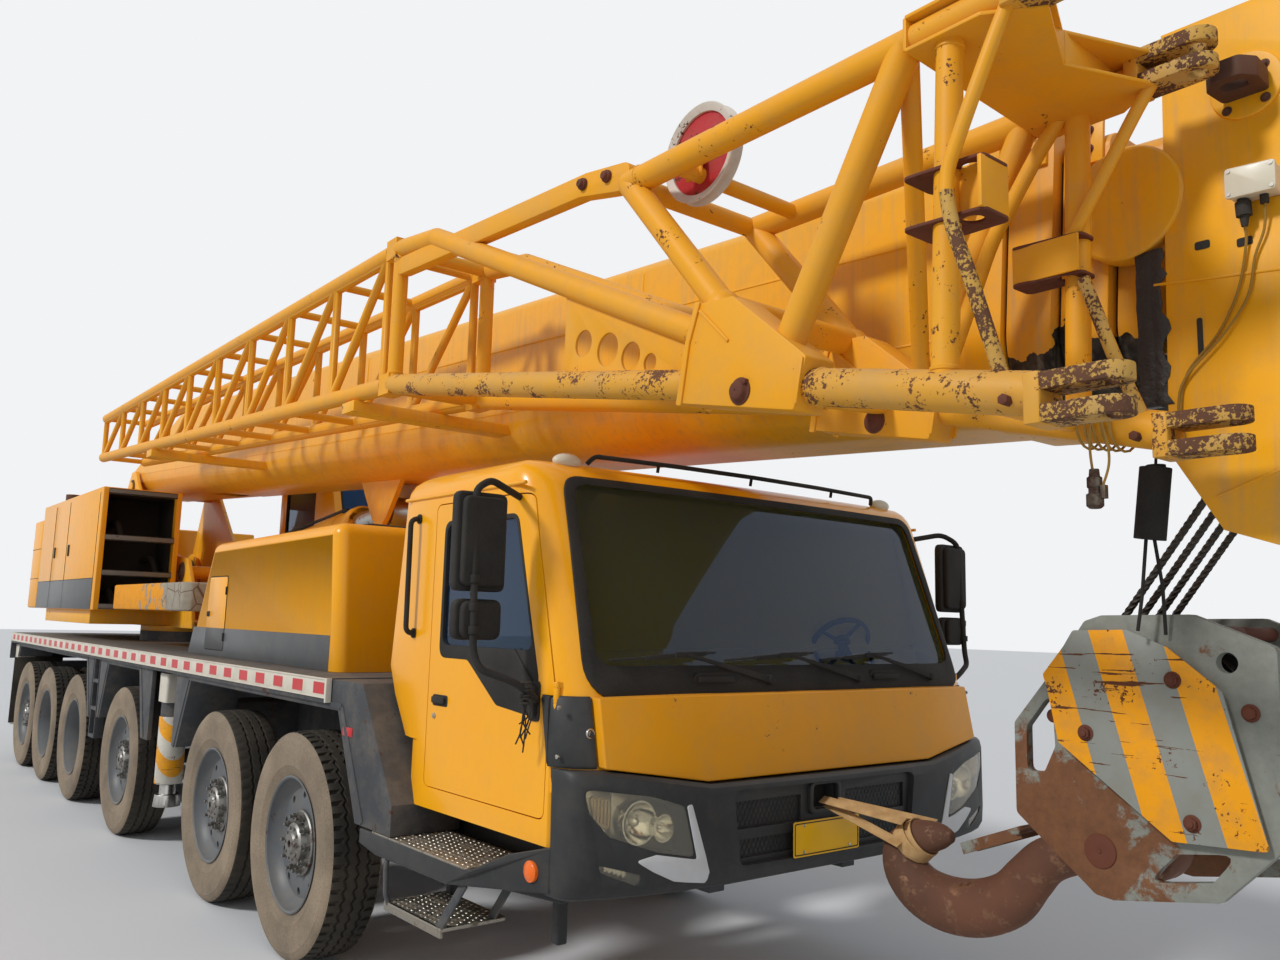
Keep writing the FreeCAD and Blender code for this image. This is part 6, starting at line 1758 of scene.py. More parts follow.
shape = bmesh.new()
HEAD_PLATE = (
    (4180, NEAR_Y - 60), (4420, NEAR_Y - 60), (4560, NEAR_Y + 40), (4440, -1060), (4560, FAR_Y - 40),
    (4420, FAR_Y + 60), (4150, FAR_Y + 60))
for z in (3504, 3604):
    prism(shape, "xy", HEAD_PLATE, z, z + 12)
block(shape, 4172, 4184, NEAR_Y - 58, FAR_Y + 58, 3510, 3610)
bar(shape, (4430, NEAR_Y + 20, 3560), (4440, -1060, 3560), 100, 10, side=(1, 0.1, 0))
bar(shape, (4440, -1060, 3560), (4430, FAR_Y - 20, 3560), 100, 10, side=(1, -0.1, 0))
put("jib_head_plate", shape, jib_ochre, "boom_base", bevel=3)
shape = bmesh.new()
prism(shape, "xz", rounded([(900, 3682), (900, 3778), (2600, 3686), (2885, 3640), (2885, 3522),
                            (2560, 3594)], 44, 5), NEAR_Y - 30, NEAR_Y + 30)
put("jib_link_bar", shape, jib_ochre, "boom_base", bevel=5)
shape = bmesh.new()
for x, z, radius in ((2590, 3638, 34), (2752, 3618, 34)):
    lathe(shape, ((-32, 2), (-32, radius - 8), (-46, radius - 10), (-46, radius - 16), (-58, radius - 18),
                  (-60, 2)), (x, NEAR_Y, z), 28, "Y")
for y in (NEAR_Y, FAR_Y):
    lathe(shape, ((-66, 2), (-66, 46), (-72, 44), (-72, 36), (-88, 30), (-92, 20), (-93, 2)),
          (3543, y, 2624), 32, "Y")
rod(shape, (3570, NEAR_Y - 84, 2650), (3570, NEAR_Y - 60, 2650), 12, 6)
for y in (NEAR_Y, FAR_Y):
    rod(shape, (4470, y - 76, 2455), (4470, y + 76, 2455), 15, 6)
put("jib_pins", shape, rust_bolt, "boom_base", bevel=2)
shape = bmesh.new()
tool = bmesh.new()
for x0, x1, y0, y1, z0, z1 in ((4160, 4408, -1452, -1300, 2984, 3132),
                               (4104, 4336, -812, -700, 2984, 3106)):
    for z in (z0, z1):
        prism(shape, "xy", rounded([(x0, y0), (x1, y0 + 20), (x1, y1), (x0, y1)], 26, 4), z - 5, z + 5)
        rod(tool, (x1 - 64, (y0 + y1) / 2 - 6, z - 20), (x1 - 64, (y0 + y1) / 2 - 6, z + 20), 30, 20)
put("post_bracket_flanges", combined(shape, tool), rust_bolt, "boom_base", bevel=2)
shape = bmesh.new()
block(shape, 4300, 4404, -1396, -1386, 2986, 3130)
block(shape, 4394, 4406, -1440, -1310, 2986, 3130)
block(shape, 4110, 4330, -806, -796, 2986, 3104)
put("post_bracket_webs", shape, jib_ochre, "boom_base", bevel=2)
shape = bmesh.new()
for points, radius in (
    (((4500, -1400, 3600), (4450, -1440, 3430), (4387, -1460, 3260), (4318, -1462, 3104),
      (4314, -1462, 3040)), 20),
    (((4560, -730, 3560), (4506, -760, 3451), (4387, -762, 3261), (4293, -764, 3110)), 20),
    (((4300, -730, 3590), (4188, -760, 3429), (4011, -760, 3175), (3805, -740, 2740)), 25)):
    pipe(shape, points, radius, 16, 60)
put("jib_braces", shape, jib_ochre, "boom_base", smooth=50)
shape = bmesh.new()
for points, radius in (
    (((4314, -1462, 3046), (4330, -1462, 2944), (4378, -1460, 2801), (4430, -1402, 2530)), 20),
    (((4323, -764, 2965), (4410, -762, 2700), (4492, -735, 2465)), 20)):
    pipe(shape, points, radius, 16, 50)
put("rusted_braces", shape, scabbed_ochre, "boom_base", smooth=50)
softened("jib_lattice", jib_ochre, "boom_base", bevel=0)

# Jib sheave: a cast guide sheave, red with a white rim, turning between two plates on the root's cross
# tube.
SHEAVE_HUB = (3112, -1250, 3640)
sheave_red = slanted("faded red and white rim paint", "#B5262B", "#B5262B", 400, 0.0, chips=0.34,
                     chip_mm=60)
rim_white = enamel("white rim paint", "#DAD3C6", faded="#C9BFAE", dust="#8C7B66", gloss=0.5, dusty=0.35,
                   chips=0.12, chip_mm=20)
shape = bmesh.new()
lathe(shape, ((-24, 176), (-28, 188), (-24, 192), (-10, 170), (10, 170), (24, 192), (28, 188), (24, 176),
              (16, 160), (-16, 160)),
      SHEAVE_HUB, 64, "Y")
put("jib_sheave_rim", shape, rim_white, "boom_base")
shape = bmesh.new()
lathe(shape, ((-12, 60), (-8, 70), (-7, 162), (7, 162), (8, 70), (12, 60), (22, 58), (22, 30), (-22, 30),
              (-22, 58)), SHEAVE_HUB, 56, "Y")
put("jib_sheave_web", shape, sheave_red, "boom_base")
shape = bmesh.new()
for y in (-1290, -1210):
    bar(shape, (3112, y, 3530), (3112, y, 3672), 90, 10, 64, side=(0, 1, 0))
rod(shape, (3112, -1298, 3640), (3112, -1202, 3640), 26, 24)
rod(shape, (3112, NEAR_Y, 3552), (3112, FAR_Y, 3552), 30, 20)
put("jib_sheave_bracket", shape, jib_ochre, "boom_base", bevel=3)

# Boom: five pressed box sections with rounded bellies, one inside the other, seamed along the sides. Each
# section's collar carries clamp plates for its wear pads. The inner sections are painted near-black low
# down as shade under the collars, and rings of black grease and painted shade sit at the collars' mouths.
FOOT_X, FOOT_Z = -8550, 3420
SLOPE = math.radians(3)
boom_yellow = enamel("boom yellow enamel", "#F4AD14", faded="#ECAA2C", gloss=0.42, dusty=0.2, streaks=0.2,
                     chips=0.02, chip_mm=45)
# Near-black lumpy material: old grease, and painted shade at the collars and the head.
grease, tree, surface = blank("black grease and painted shade")
place = add(tree, "ShaderNodeTexCoord").outputs["Object"]
lumps = add(tree, "ShaderNodeTexNoise", {"Vector": place, "Scale": 40.0, "Detail": 6.0, "Roughness": 0.65})
tone = add(tree, "ShaderNodeMix", {0: lumps.outputs[0], 6: linear("#0D0C0B"), 7: linear("#2C241B")},
           data_type="RGBA")
tree.links.new(tone.outputs[2], surface.inputs["Base Color"])
surface.inputs["Roughness"].default_value = 0.4
lumpy = add(tree, "ShaderNodeBump", {"Height": lumps.outputs[0], "Strength": 0.8, "Distance": 0.008})
tree.links.new(lumpy.outputs[0], surface.inputs["Normal"])


def boom_at(along, y, across):
    """A place on the boom: along it from the foot pin, to the side, and square to it."""
    return Vector((FOOT_X + along * math.cos(SLOPE) + across * math.sin(SLOPE), y,
                   FOOT_Z - along * math.sin(SLOPE) + across * math.cos(SLOPE)))


# Inner sections: near-black below 3.24 m with a ragged edge, painted shade under the big collars.
boom_yellow_with_painted_shade = enamel("boom enamel with painted shade below", "#E8A01A", faded="#D99A2A", gloss=0.42, dusty=0.3,
                       streaks=0.3, chips=0.02, chip_mm=30,
                       below=(3.24, "#17120E", 0.7))
softened("boom_1", boom_yellow, "boom_base")
for number in (2, 3, 4):
    softened("boom_%d" % number, boom_yellow_with_painted_shade, "boom_%d" % number, bevel=4)
softened("boom_5", boom_yellow, "boom_head", bevel=5)
softened("head_sheaves", sheave_steel, "boom_head", bevel=4)
shape = bmesh.new()
for side in (1, -1):
    bar(shape, boom_at(1300, side * 450.5, 600), boom_at(12268, side * 450.5, 600), 9, 5, side=(0, 1, 0))
    bar(shape, boom_at(60, side * 450.5, 196), boom_at(12268, side * 450.5, 196), 9, 5, side=(0, 1, 0))
    for along in (3300, 6900, 10300):
        bar(shape, boom_at(along, side * 450.5, 200), boom_at(along, side * 450.5, 820), 10, 5,
            side=(0, 1, 0))
put("boom_weld_seams", shape, boom_yellow, "boom_base", bevel=1)
for body, along, half, crown, name in (("boom_base", 12345, 480, 948, "one"),
                                       ("boom_2", 12530, 460, 930, "two"),
                                       ("boom_3", 12712, 415, 905, "three")):
    plates = bmesh.new()
    bolts = bmesh.new()
    for side in (1, -1):
        low, high = (-62, 62) if name == "one" else (-48, 48)
        outline = [boom_at(along + a, side * half, c) for a,
                   c in ((low, crown - 165), (high, crown - 165), (high, crown), (low, crown))]
        rings = [[plates.verts.new(spot + Vector((0, side * out, 0))) for spot in outline]
                 for out in (-2, 14)]
        plates.faces.new(rings[0])
        plates.faces.new(list(reversed(rings[1])))
        for i in range(4):
            j = (i + 1) % 4
            plates.faces.new((rings[0][i], rings[1][i], rings[1][j], rings[0][j]))
        for across in (crown - 115, crown - 48):
            spot = boom_at(along, side * (half + 12), across)
            rod(bolts, spot, spot + Vector((0, side * 5, 0)), 17, 18)
            rod(bolts, spot + Vector((0, side * 5, 0)), spot + Vector((0, side * 17, 0)), 12, 6)
            rod(bolts, spot + Vector((0, side * 17, 0)), spot + Vector((0, side * 30, 0)), 7, 10)
    put("clamp_plates_" + name, plates, boom_yellow, body, bevel=2)
    put("clamp_bolts_" + name, bolts, rust_bolt, body, bevel=1)

# Boom head: two thick cheek plates, a round boss over the last collar, a pierced lug for the jib on a
# round pad, a cream junction box with its plug and leads, and the limit switch weight hung beside the
# ropes.
shape = bmesh.new()
for side in (1, -1):
    lathe(shape, ((side * 400, 2), (side * 400, 192), (side * 478, 192), (side * 486, 184),
                  (side * 486, 2)), (4318, 0, 3292), 56, "Y")
    bar(shape, (4404, side * 476, 2992), (4830, side * 476, 2948), 9, 5, side=(0, 1, 0))
    bar(shape, (4820, side * 476, 2400), (4560, side * 476, 2300), 9, 5, side=(0, 1, 0))
    lathe(shape, ((side * 470, 10), (side * 470, 104), (side * 481, 104), (side * 484, 100),
                  (side * 484, 10)), (4705, 0, 3548), 48, "Y")
put("head_bosses_and_seams", shape, boom_yellow, "boom_head", bevel=2)
shape = bmesh.new()
for side in (1, -1):
    tool = bmesh.new()
    part = bmesh.new()
    prism(part, "xy", rounded([(4640, side * 480), (4772, side * 480), (4778, side * 590),
                               (4745, side * 640), (4668, side * 640), (4634, side * 590)], 24, 4),
          3508, 3570)
    prism(tool, "xy", rounded(rectangle(4672, 4744, side * 548, side * 604), 26, 5), 3450, 3620)
    joined(shape, combined(part, tool))
    for x, z in ((4640, 3596), (4760, 3592), (4650, 3482), (4758, 3486)):
        rod(shape, (x, side * 482, z), (x, side * 488, z), 15, 18)
        rod(shape, (x, side * 488, z), (x, side * 498, z), 10, 6)
put("head_lugs", shape, metal("rusty lug casting", "#6B4E3C", 0.6, rust=0.8, rust_colour="#7A4A30"),
    "boom_head", bevel=3)
shape = bmesh.new()
prism(shape, "xz", rounded([(4660, 3180), (4790, 3174), (4792, 3256), (4662, 3266)], 10, 4), -544, -478)
prism(shape, "xz", rounded([(4656, 3176), (4794, 3170), (4796, 3260), (4658, 3270)], 12, 4), -556, -540)
put("junction_box", shape, lamp_cream, "boom_head", bevel=4)
shape = bmesh.new()
for x, z in ((4668, 3188), (4784, 3182), (4670, 3258), (4784, 3250)):
    rod(shape, (x, -555, z), (x, -559, z), 6, 10)
put("junction_screws", shape, bright_metal, "boom_head")
shape = bmesh.new()
rod(shape, (4690, -512, 3186), (4690, -512, 3160), 16, 18)
rod(shape, (4690, -512, 3170), (4691, -510, 3128), 22, 18)
rod(shape, (4691, -510, 3132), (4690, -508, 3096), 14, 16, 9)
rod(shape, (4748, -512, 3180), (4748, -512, 3150), 12, 16)
put("head_plugs", shape, cable_black, "boom_head", smooth=60)
shape = bmesh.new()
line, radii = threaded(((4690, -506, 3100, 4), (4684, -490, 3045, 4), (4653, -484, 2913, 4),
                        (4592, -482, 2796, 4), (4498, -481, 2691, 4),
                         (4472, -481, 2581, 4), (4480, -481, 2480, 4)))
pipe(shape, line, radii, 10)
line, radii = threaded(((4748, -508, 3152, 4), (4736, -492, 3080, 4), (4705, -486, 3004, 4),
                        (4679, -484, 2890, 4), (4608, -490, 2786, 4),
                         (4490, -489, 2668, 4), (4464, -481, 2560, 4), (4466, -481, 2470, 4)))
pipe(shape, line, radii, 10)
put("head_leads", shape, rubber("overspray dusted cable jacket", "#8A6524", "#B08A3C", 0.2, 0.6),
    "boom_head", smooth=60)
# Two small holes and a slot in the head's side, drawn as flat black patches: painted shadow inside them.
shape = bmesh.new()
for middle_x, middle_z, reach_x, reach_z in ((4556, 3084, 22, 13), (4676, 3062, 22, 13),
                                             (4537, 2796, 8, 60)):
    prism(shape, "xz", rounded(rectangle(middle_x - reach_x, middle_x + reach_x, middle_z - reach_z,
                                         middle_z + reach_z), 7.5, 4), -477.5, -474)
put("head_slots", shape, trim_and_shade_black, "boom_head")
# Ragged near-black sheets on the head's sides behind the collars: grease, and painted shade in the opening
# between head and collars.
chance = random.Random(11)
for side, name in ((-1, "right"), (1, "left")):
    shape = bmesh.new()
    for rear, front_x, ragged, out, film in ((4346, 4404, 8, 440, 33), (4400, 4428, 26, 474, 4)):
        line = [(rear + chance.uniform(-3, 3), 3110 - 30 * k) for k in range(18)]
        line += [(front_x + chance.uniform(-6, ragged), z) for x, z in reversed(line)]
        prism(shape, "xz", line, *sorted((side * out, side * (out + film))))
    put("head_grease_" + name, shape, grease, "boom_head", bevel=1)


def section_ring(half_width, start, end, wall=26):
    """A ring of the boom's outline in grease and painted shade: flat sides, round belly, small top corners.
    """
    shape = bmesh.new()
    rings = []
    for along, inward in ((start, 0), (end, 0), (end, wall), (start, wall)):
        half, grown = half_width - inward, half_width - inward - 450
        radius = 300 + grown
        line = [(-half + radius - radius * math.sin(a),
                 -110 - grown + radius - radius * math.cos(a)) for a in
                (math.pi / 2 * k / 8 for k in range(9))]
        line += [(-half, 885 + grown - 60), (-half + 60, 885 + grown)]
        line += [(-y, across) for y, across in reversed(line)]
        rings.append([shape.verts.new(boom_at(along, y, across)) for y, across in line])
    walls(shape, rings, True)
    return shape


# Black rings at the collar mouths: old grease, and painted shade in the gap.
for body, half, start in (("boom_2", 448, 12421), ("boom_3", 402, 12601), ("boom_4", 358, 12781),
                          ("boom_head", 318, 12961)):
    put("wear_grease_" + body, section_ring(half, start, start + 28), grease, body)
shape = bmesh.new()
rod(shape, (4350, -395, 2420), (4322, -395, 2190), 48, 28)
rod(shape, (4350, -395, 2428), (4350, -395, 2418), 30, 20)
pipe(shape, ((4360, -395, 2560), (4350, -395, 2424)), 5, 8)
pipe(shape, ((4310, -395, 2192), (4290, -395, 2010), (4272, -395, 1900)), 6, 8)
pipe(shape, ((4336, -395, 2192), (4340, -360, 2040), (4330, -330, 1890)), 6, 8)
put("limit_weight", shape, trim_and_shade_black, "boom_head", bevel=2)

# Loose wiring under the jib: a few turns of dusty wire lashed round the far chord, and an unplugged
# connector.
dusty_wire = rubber("ochre dusted wire", "#9A7430", "#C09A52", 0.2, 0.6)
shape = bmesh.new()
for k in range(5):
    pipe(shape, [(4300 + 22 * k + 3 * math.cos(a) + 34 * k * (a / 6.3) / 5, FAR_Y + 68 * math.cos(a),
                  2512 - 5 * k + 68 * math.sin(a))
                 for a in (math.pi / 8 * i for i in range(17))], 4, 6)
line, radii = threaded(((4345, -786, 2530, 4), (4340, -792, 2470, 4), (4334, -780, 2420, 4),
                        (4338, -776, 2362, 4)))
pipe(shape, line, radii, 8)
line, radii = threaded(((4368, -786, 2530, 4), (4392, -790, 2440, 4), (4390, -782, 2380, 4),
                        (4368, -778, 2320, 4), (4356, -776, 2300, 4)))
pipe(shape, line, radii, 8)
put("lashed_wires", shape, dusty_wire, "boom_base", smooth=60)
shape = bmesh.new()
lathe(shape, ((2372, 4), (2372, 14), (2350, 16), (2346, 22), (2318, 22), (2314, 18), (2300, 18), (2296, 25),
              (2262, 25), (2254, 16), (2254, 4)),
      (4342, -776, 0), 20, "Z")
block(shape, 4362, 4378, -786, -766, 2282, 2322)
put("hanging_connector", shape, metal("dull plug metal", "#6E675C", 0.5, rust=0.4), "boom_base",
    bevel=1)

# Tail: the exhaust stack's rusty pipe, lifting eyes and the joints between the counterweight's cast slabs.
shape = bmesh.new()
lathe(shape, ((3148, 60), (3148, 92), (3160, 92), (3164, 81), (3318, 81), (3318, 70), (3200, 66), (3200, 4),
              (3180, 4), (3180, 60)), (-9000, -1100, 0), 32, "Z")
put("exhaust_stack", shape, rust_cast, "superstructure", bevel=1)
shape = bmesh.new()
for y in (-820, 820):
    prism(shape, "xz", rounded([(-9880, 2990), (-9720, 2990), (-9745, 3090), (-9855, 3090)], 36, 5), y - 14,
          y + 14)
    lathe(shape, ((-24, 22), (-24, 40), (24, 40), (24, 22)), (-9800, y, 3048), 24, "Y")
put("lifting_eyes", shape, boom_yellow, "superstructure", bevel=2)
shape = bmesh.new()
tail = ((-10101, -1151), (-10101, 1151), (-9900, 1351), (-9330, 1351), (-9330, -1351), (-9900, -1351))
for z in (2240, 2620):
    prism(shape, "xy", tail, z, z + 7)
put("slab_joints", shape, shade_and_joint_black, "superstructure")

# Rear end: lamp clusters on the rear wall, rubber mud flaps behind the last wheels and a pressed tow eye.
shape = bmesh.new()
for side in (1, -1):
    block(shape, -9832, -9814, *beside(side, 900, 1330), 1290, 1430)
    for y in (1290, 1420):
        rod(shape, (-9815, side * (y - 330), 1300), (-9838, side * (y - 330), 1300), 6, 6)
put("rear_lamp_trays", shape, trim_and_shade_black, "carrier", bevel=3)
for name, colour, places in (("stop", "#A3161B", (960, 1270)), ("turn", "#E0761C", (1115,))):
    shape = bmesh.new()
    for y in places:
        for side in (1, -1):
            lathe(shape, ((-9830, 4), (-9830, 56), (-9840, 54), (-9846, 40), (-9848, 4)),
                  (0, side * y, 1360), 28, "X")
    put("rear_%s_lamps" % name, shape, enamel(name + " lamp moulding", colour, faded=colour, gloss=0.25,
                                              dusty=0.15, coat=0.5), "carrier")
shape = bmesh.new()
for side in (1, -1):
    block(shape, -9560, -9548, *beside(side, 930, 1480), 420, 1240)
put("mud_flaps", shape, rubber("mud flap rubber", "#1D1D1C", "#6D6455", 0.1, 0.5), "carrier",
    bevel=4)
shape = bmesh.new()
for y in (-60, 44):
    prism(shape, "xz", rounded([(-9790, 960), (-9790, 1120), (-9860, 1120), (-9900, 1080), (-9900, 1000),
                                (-9860, 960)], 20, 4), y, y + 16)
rod(shape, (-9862, -80, 1040), (-9862, 80, 1040), 22, 20)
put("tow_eye", shape, rust_cast, "carrier", bevel=2)

# Hoist ropes: eight falls of 26 mm wire rope, six strands laid round a core and black with grease, and
# the rope wound on the winch drum behind the boom foot, between two thick flanges bolted to its hub.
DRUM = (-8950, 0, 2350)
rope_steel = metal("greased wire rope", "#4A4640", 0.4, rust=0.35, rust_colour="#4E3A2C", dark="#1E1B18")


def wire_rope(shape, start, end, radius=13, lay=150, steps=9):
    """Six strands twisted round a core, as one closed lobed bar that turns as it goes."""
    start, end = Vector(start), Vector(end)
    turn = (end - start).to_track_quat("Z", "Y").to_matrix()
    count = max(2, int((end - start).length / lay * steps))
    rings = []
    for k in range(count + 1):
        spin = 2 * math.pi * (end - start).length * k / count / lay
        spot = start.lerp(end, k / count)
        rings.append([shape.verts.new(spot + turn @ Vector((r * math.cos(a + spin), r * math.sin(a + spin),
                                                            0)))
                      for a, r in ((math.pi / 6 * i, radius * (1 if i % 2 else 0.78)) for i in range(12))])
    shape.faces.new(list(reversed(rings[0])))
    shape.faces.new(rings[-1])
    walls(shape, rings)


top, axle = boom_at(13412, 0, -300), Vector(SHEAVE_AXLE)
line = (axle - top).normalized()
out = Vector((-line.z, 0, line.x))
shape = bmesh.new()
for side in (1, -1):
    lean = side * (275 - 290) / (axle - top).length
    normal = line * lean * side + out * side * math.sqrt(1 - lean * lean)
    for y in FALLS_Y:
        wire_rope(shape, top + normal * 289 + Vector((0, y, 0)), axle + normal * 304 + Vector((0, y, 0)))
put("hoist_falls", shape, rope_steel, "hook_assembly", ["hoist_ropes"], smooth=60)
shape = bmesh.new()
lathe(shape, [(-470, 40), (-470, 190), (-420, 190), (-420, 290), (-412, 296), (-398, 296), (-390, 288),
              (-390, 190), (390, 190), (390, 288),
              (398, 296), (412, 296), (420, 290), (420, 190), (470, 190), (470, 40)], DRUM, 56, "Y")
for k in range(12):
    turn = math.pi / 6 * k
    for y in (-432, 420):
        bolt_x, bolt_z = DRUM[0] + 150 * math.cos(turn), DRUM[2] + 150 * math.sin(turn)
        rod(shape, (bolt_x, y, bolt_z), (bolt_x, y + 12, bolt_z), 14, 6)
put("winch_drum", shape, boom_yellow, "superstructure", ["winch"], bevel=1)
shape = bmesh.new()
for layer, radius in enumerate((203, 226)):
    count = 29 * 20
    pipe(shape, [(DRUM[0] + radius * math.cos(math.pi / 10 * k),
                  -375 + 750 * (k if layer % 2 == 0 else count - k) / count,
                  DRUM[2] + radius * math.sin(math.pi / 10 * k)) for k in range(count + 1)], 13, 6)
put("winch_rope", shape, rope_steel, "superstructure", smooth=60)
shape = bmesh.new()
wire_rope(shape, (-8950, 40, 2589), (-8600, 40, 3500))
put("winch_lead", shape, rope_steel, "superstructure", smooth=60)

# Seats: foam pads under black ribbed cloth on moulded bases, crowned and drawn in at the corners, and
# the driver's wheel and dash of grained black plastic with its binnacle, vents and shift lever.
STEERING_HUB = (1990, 600, 1731)
seat_cloth, tree, surface = blank("ribbed seat cloth")
place = add(tree, "ShaderNodeTexCoord").outputs["Object"]
ribs = add(tree, "ShaderNodeTexWave", {"Vector": place, "Scale": 26.0, "Distortion": 0.6},
           bands_direction="Y")
pile = add(tree, "ShaderNodeTexNoise", {"Vector": place, "Scale": 260.0, "Detail": 4.0})
tone = add(tree, "ShaderNodeMix", {0: ribs.outputs[1], 6: linear("#1F2022"), 7: linear("#34363A")},
           data_type="RGBA")
tree.links.new(tone.outputs[2], surface.inputs["Base Color"])
woven = add(tree, "ShaderNodeMath", {0: ribs.outputs[1], 1: pile.outputs[0]}, operation="ADD")
relief = add(tree, "ShaderNodeBump", {"Height": woven.outputs[0], "Strength": 0.4, "Distance": 0.002})
tree.links.new(relief.outputs[0], surface.inputs["Normal"])
surface.inputs["Roughness"].default_value = 0.92
surface.inputs["Sheen Weight"].default_value = 0.3


def padded_block(name, box, body):
    """A foam pad: cloth over a remeshed block, blown out from inside, capped, and smoothed once."""
    x0, x1, y0, y1, z0, z1 = box
    shape = bmesh.new()
    block(shape, x0 + 14, x1 - 14, y0 + 14, y1 - 14, z0 + 10, z1 - 12)
    bmesh.ops.bevel(shape, geom=shape.edges, offset=26, segments=2, affect="EDGES")
    bmesh.ops.scale(shape, vec=(0.001, 0.001, 0.001), verts=shape.verts)
    mesh = bpy.data.meshes.new(name + "_foam")
    shape.to_mesh(mesh)
    shape.free()
    foam = bpy.data.objects.new(name + "_foam", mesh)
    bpy.context.collection.objects.link(foam)
    remesh = foam.modifiers.new("remesh", "REMESH")
    remesh.mode, remesh.voxel_size = "VOXEL", 0.02
    settled(foam)
    rest = [v.co.copy() for v in foam.data.vertices]
    cloth = foam.modifiers.new("cloth", "CLOTH")
    cloth.settings.use_pressure = True
    cloth.settings.uniform_pressure_force = 4
    cloth.settings.effector_weights.gravity = 0
    for frame in range(1, 13):
        bpy.context.scene.frame_set(frame)
    settled(foam)
    bpy.context.scene.frame_set(1)
    shape = bmesh.new()
    shape.from_mesh(foam.data)
    bpy.data.objects.remove(foam)
    for vert, start in zip(shape.verts, rest):
        moved = vert.co - start
        vert.co = start + moved.normalized() * min(moved.length, 0.014) if moved.length else start
    bmesh.ops.subdivide_edges(shape, edges=shape.edges, cuts=1, smooth=0.6, use_grid_fill=True)
    bmesh.ops.scale(shape, vec=(1000, 1000, 1000), verts=shape.verts)
    for vert in shape.verts:
        vert.co = Vector((min(max(vert.co.x, x0), x1), min(max(vert.co.y, y0), y1),
                          min(max(vert.co.z, z0), z1)))
    made = put(name, shape, seat_cloth, body, smooth=180)
    return made


for name, y in (("driver", 600), ("mate", -600)):
    padded_block(name + "_cushion", (1340, 1835, y - 240, y + 240, 1345, 1485), "carrier")
    padded_block(name + "_backrest", (1255, 1375, y - 225, y + 225, 1470, 1990), "carrier")
    padded_block(name + "_headrest", (1265, 1360, y - 140, y + 140, 2020, 2125), "carrier")
shape = bmesh.new()
for y in (600, -600):
    prism(shape, "xz", rounded([(1330, 1330), (1830, 1330), (1830, 1362), (1395, 1372), (1300, 2000),
                                (1262, 2000), (1318, 1380)], 12, 3), y - 215, y + 215)
    block(shape, 1440, 1720, y - 160, y + 160, 1090, 1335)
    for side in (-60, 60):
        rod(shape, (1312, y + side, 1980), (1312, y + side, 2040), 7, 10)
prism(shape, "xz", rounded([(2100, 1365), (2428, 1365), (2428, 1480), (2395, 1592), (2250, 1600),
                            (2130, 1555), (2100, 1470)], 36, 4), -1150, 1150)
prism(shape, "xz", rounded([(2075, 1530), (2330, 1590), (2330, 1650), (2190, 1672), (2085, 1612)], 22, 4),
      380, 820)
block(shape, 2250, 2370, -1100, 1100, 1090, 1370)
rod(shape, (2200, 600, 1500), (2000, 600, 1720), 35, 20)
rod(shape, (1900, 260, 1090), (1870, 260, 1500), 14, 14, 9)
lathe(shape, ((-30, 4), (-24, 26), (0, 34), (24, 26), (30, 4)), (1868, 260, 1520), 20, "Z")
turn = Vector((-220, 0, 220)).normalized().to_track_quat("Z", "Y").to_matrix()
lathe(shape, [(16 * math.sin(a), 210 + 16 * math.cos(a)) for a in (math.pi / 5 * k for k in range(10))],
      STEERING_HUB, 40, "Z", turn)
for k in range(4):
    a = math.pi / 2 * k + 0.5
    rod(shape, STEERING_HUB, Vector(STEERING_HUB) + turn @ Vector((204 * math.cos(a), 204 * math.sin(a),
                                                                   0)), 13, 12, 10)
lathe(shape, ((-20, 4), (-16, 62), (8, 58), (16, 4)), STEERING_HUB, 28, "Z", turn)
put("cab_furniture", shape, trim_and_shade_black, "carrier", ["cab_interior"], bevel=4)
shape = bmesh.new()
for y0, y1 in ((-1050, -860), (-600, -300), (-120, 100), (950, 1100)):
    for z in (1480, 1500, 1520):
        block(shape, 2092, 2106, y0, y1, z, z + 9)
put("dash_vents", shape, jack_steel, "carrier", bevel=1)
shape = bmesh.new()
prism(shape, "xz", rounded([(2120, 1596), (2424, 1596), (2424, 1622), (2330, 1640), (2130, 1628)], 12, 4),
      -1120, 1120)
put("dash_cover", shape, rubber("pale grey dash cover", "#7D8287", "#9A968C", 0.1, 0.3), "carrier",
    bevel=2)
shape = bmesh.new()
for k in range(8):
    block(shape, 2345, 2410, -1040 + 270 * k, -900 + 270 * k, 1630, 1637)
put("dash_slots", shape, trim_and_shade_black, "carrier", bevel=2)

# Cab lining: grey felt boards on the rear wall and under the roof, and a ribbed rubber mat on the floor.
shape = bmesh.new()
prism(shape, "xz", [(966, 1600), (1076, 2526), (1088, 2526), (978, 1600)], -1285, 1285)
block(shape, 1080, 2100, -1285, 1285, 2520, 2532)
block(shape, 1325, 2350, -1285, 1285, 1072, 1084)
for k in range(20):
    block(shape, 1340 + 50 * k, 1350 + 50 * k, -1280, 1280, 1083, 1088)
put("cab_lining", shape, rubber("grey lining board", "#62686E", "#77756E", 0.1, 0.25), "carrier",
    bevel=2)

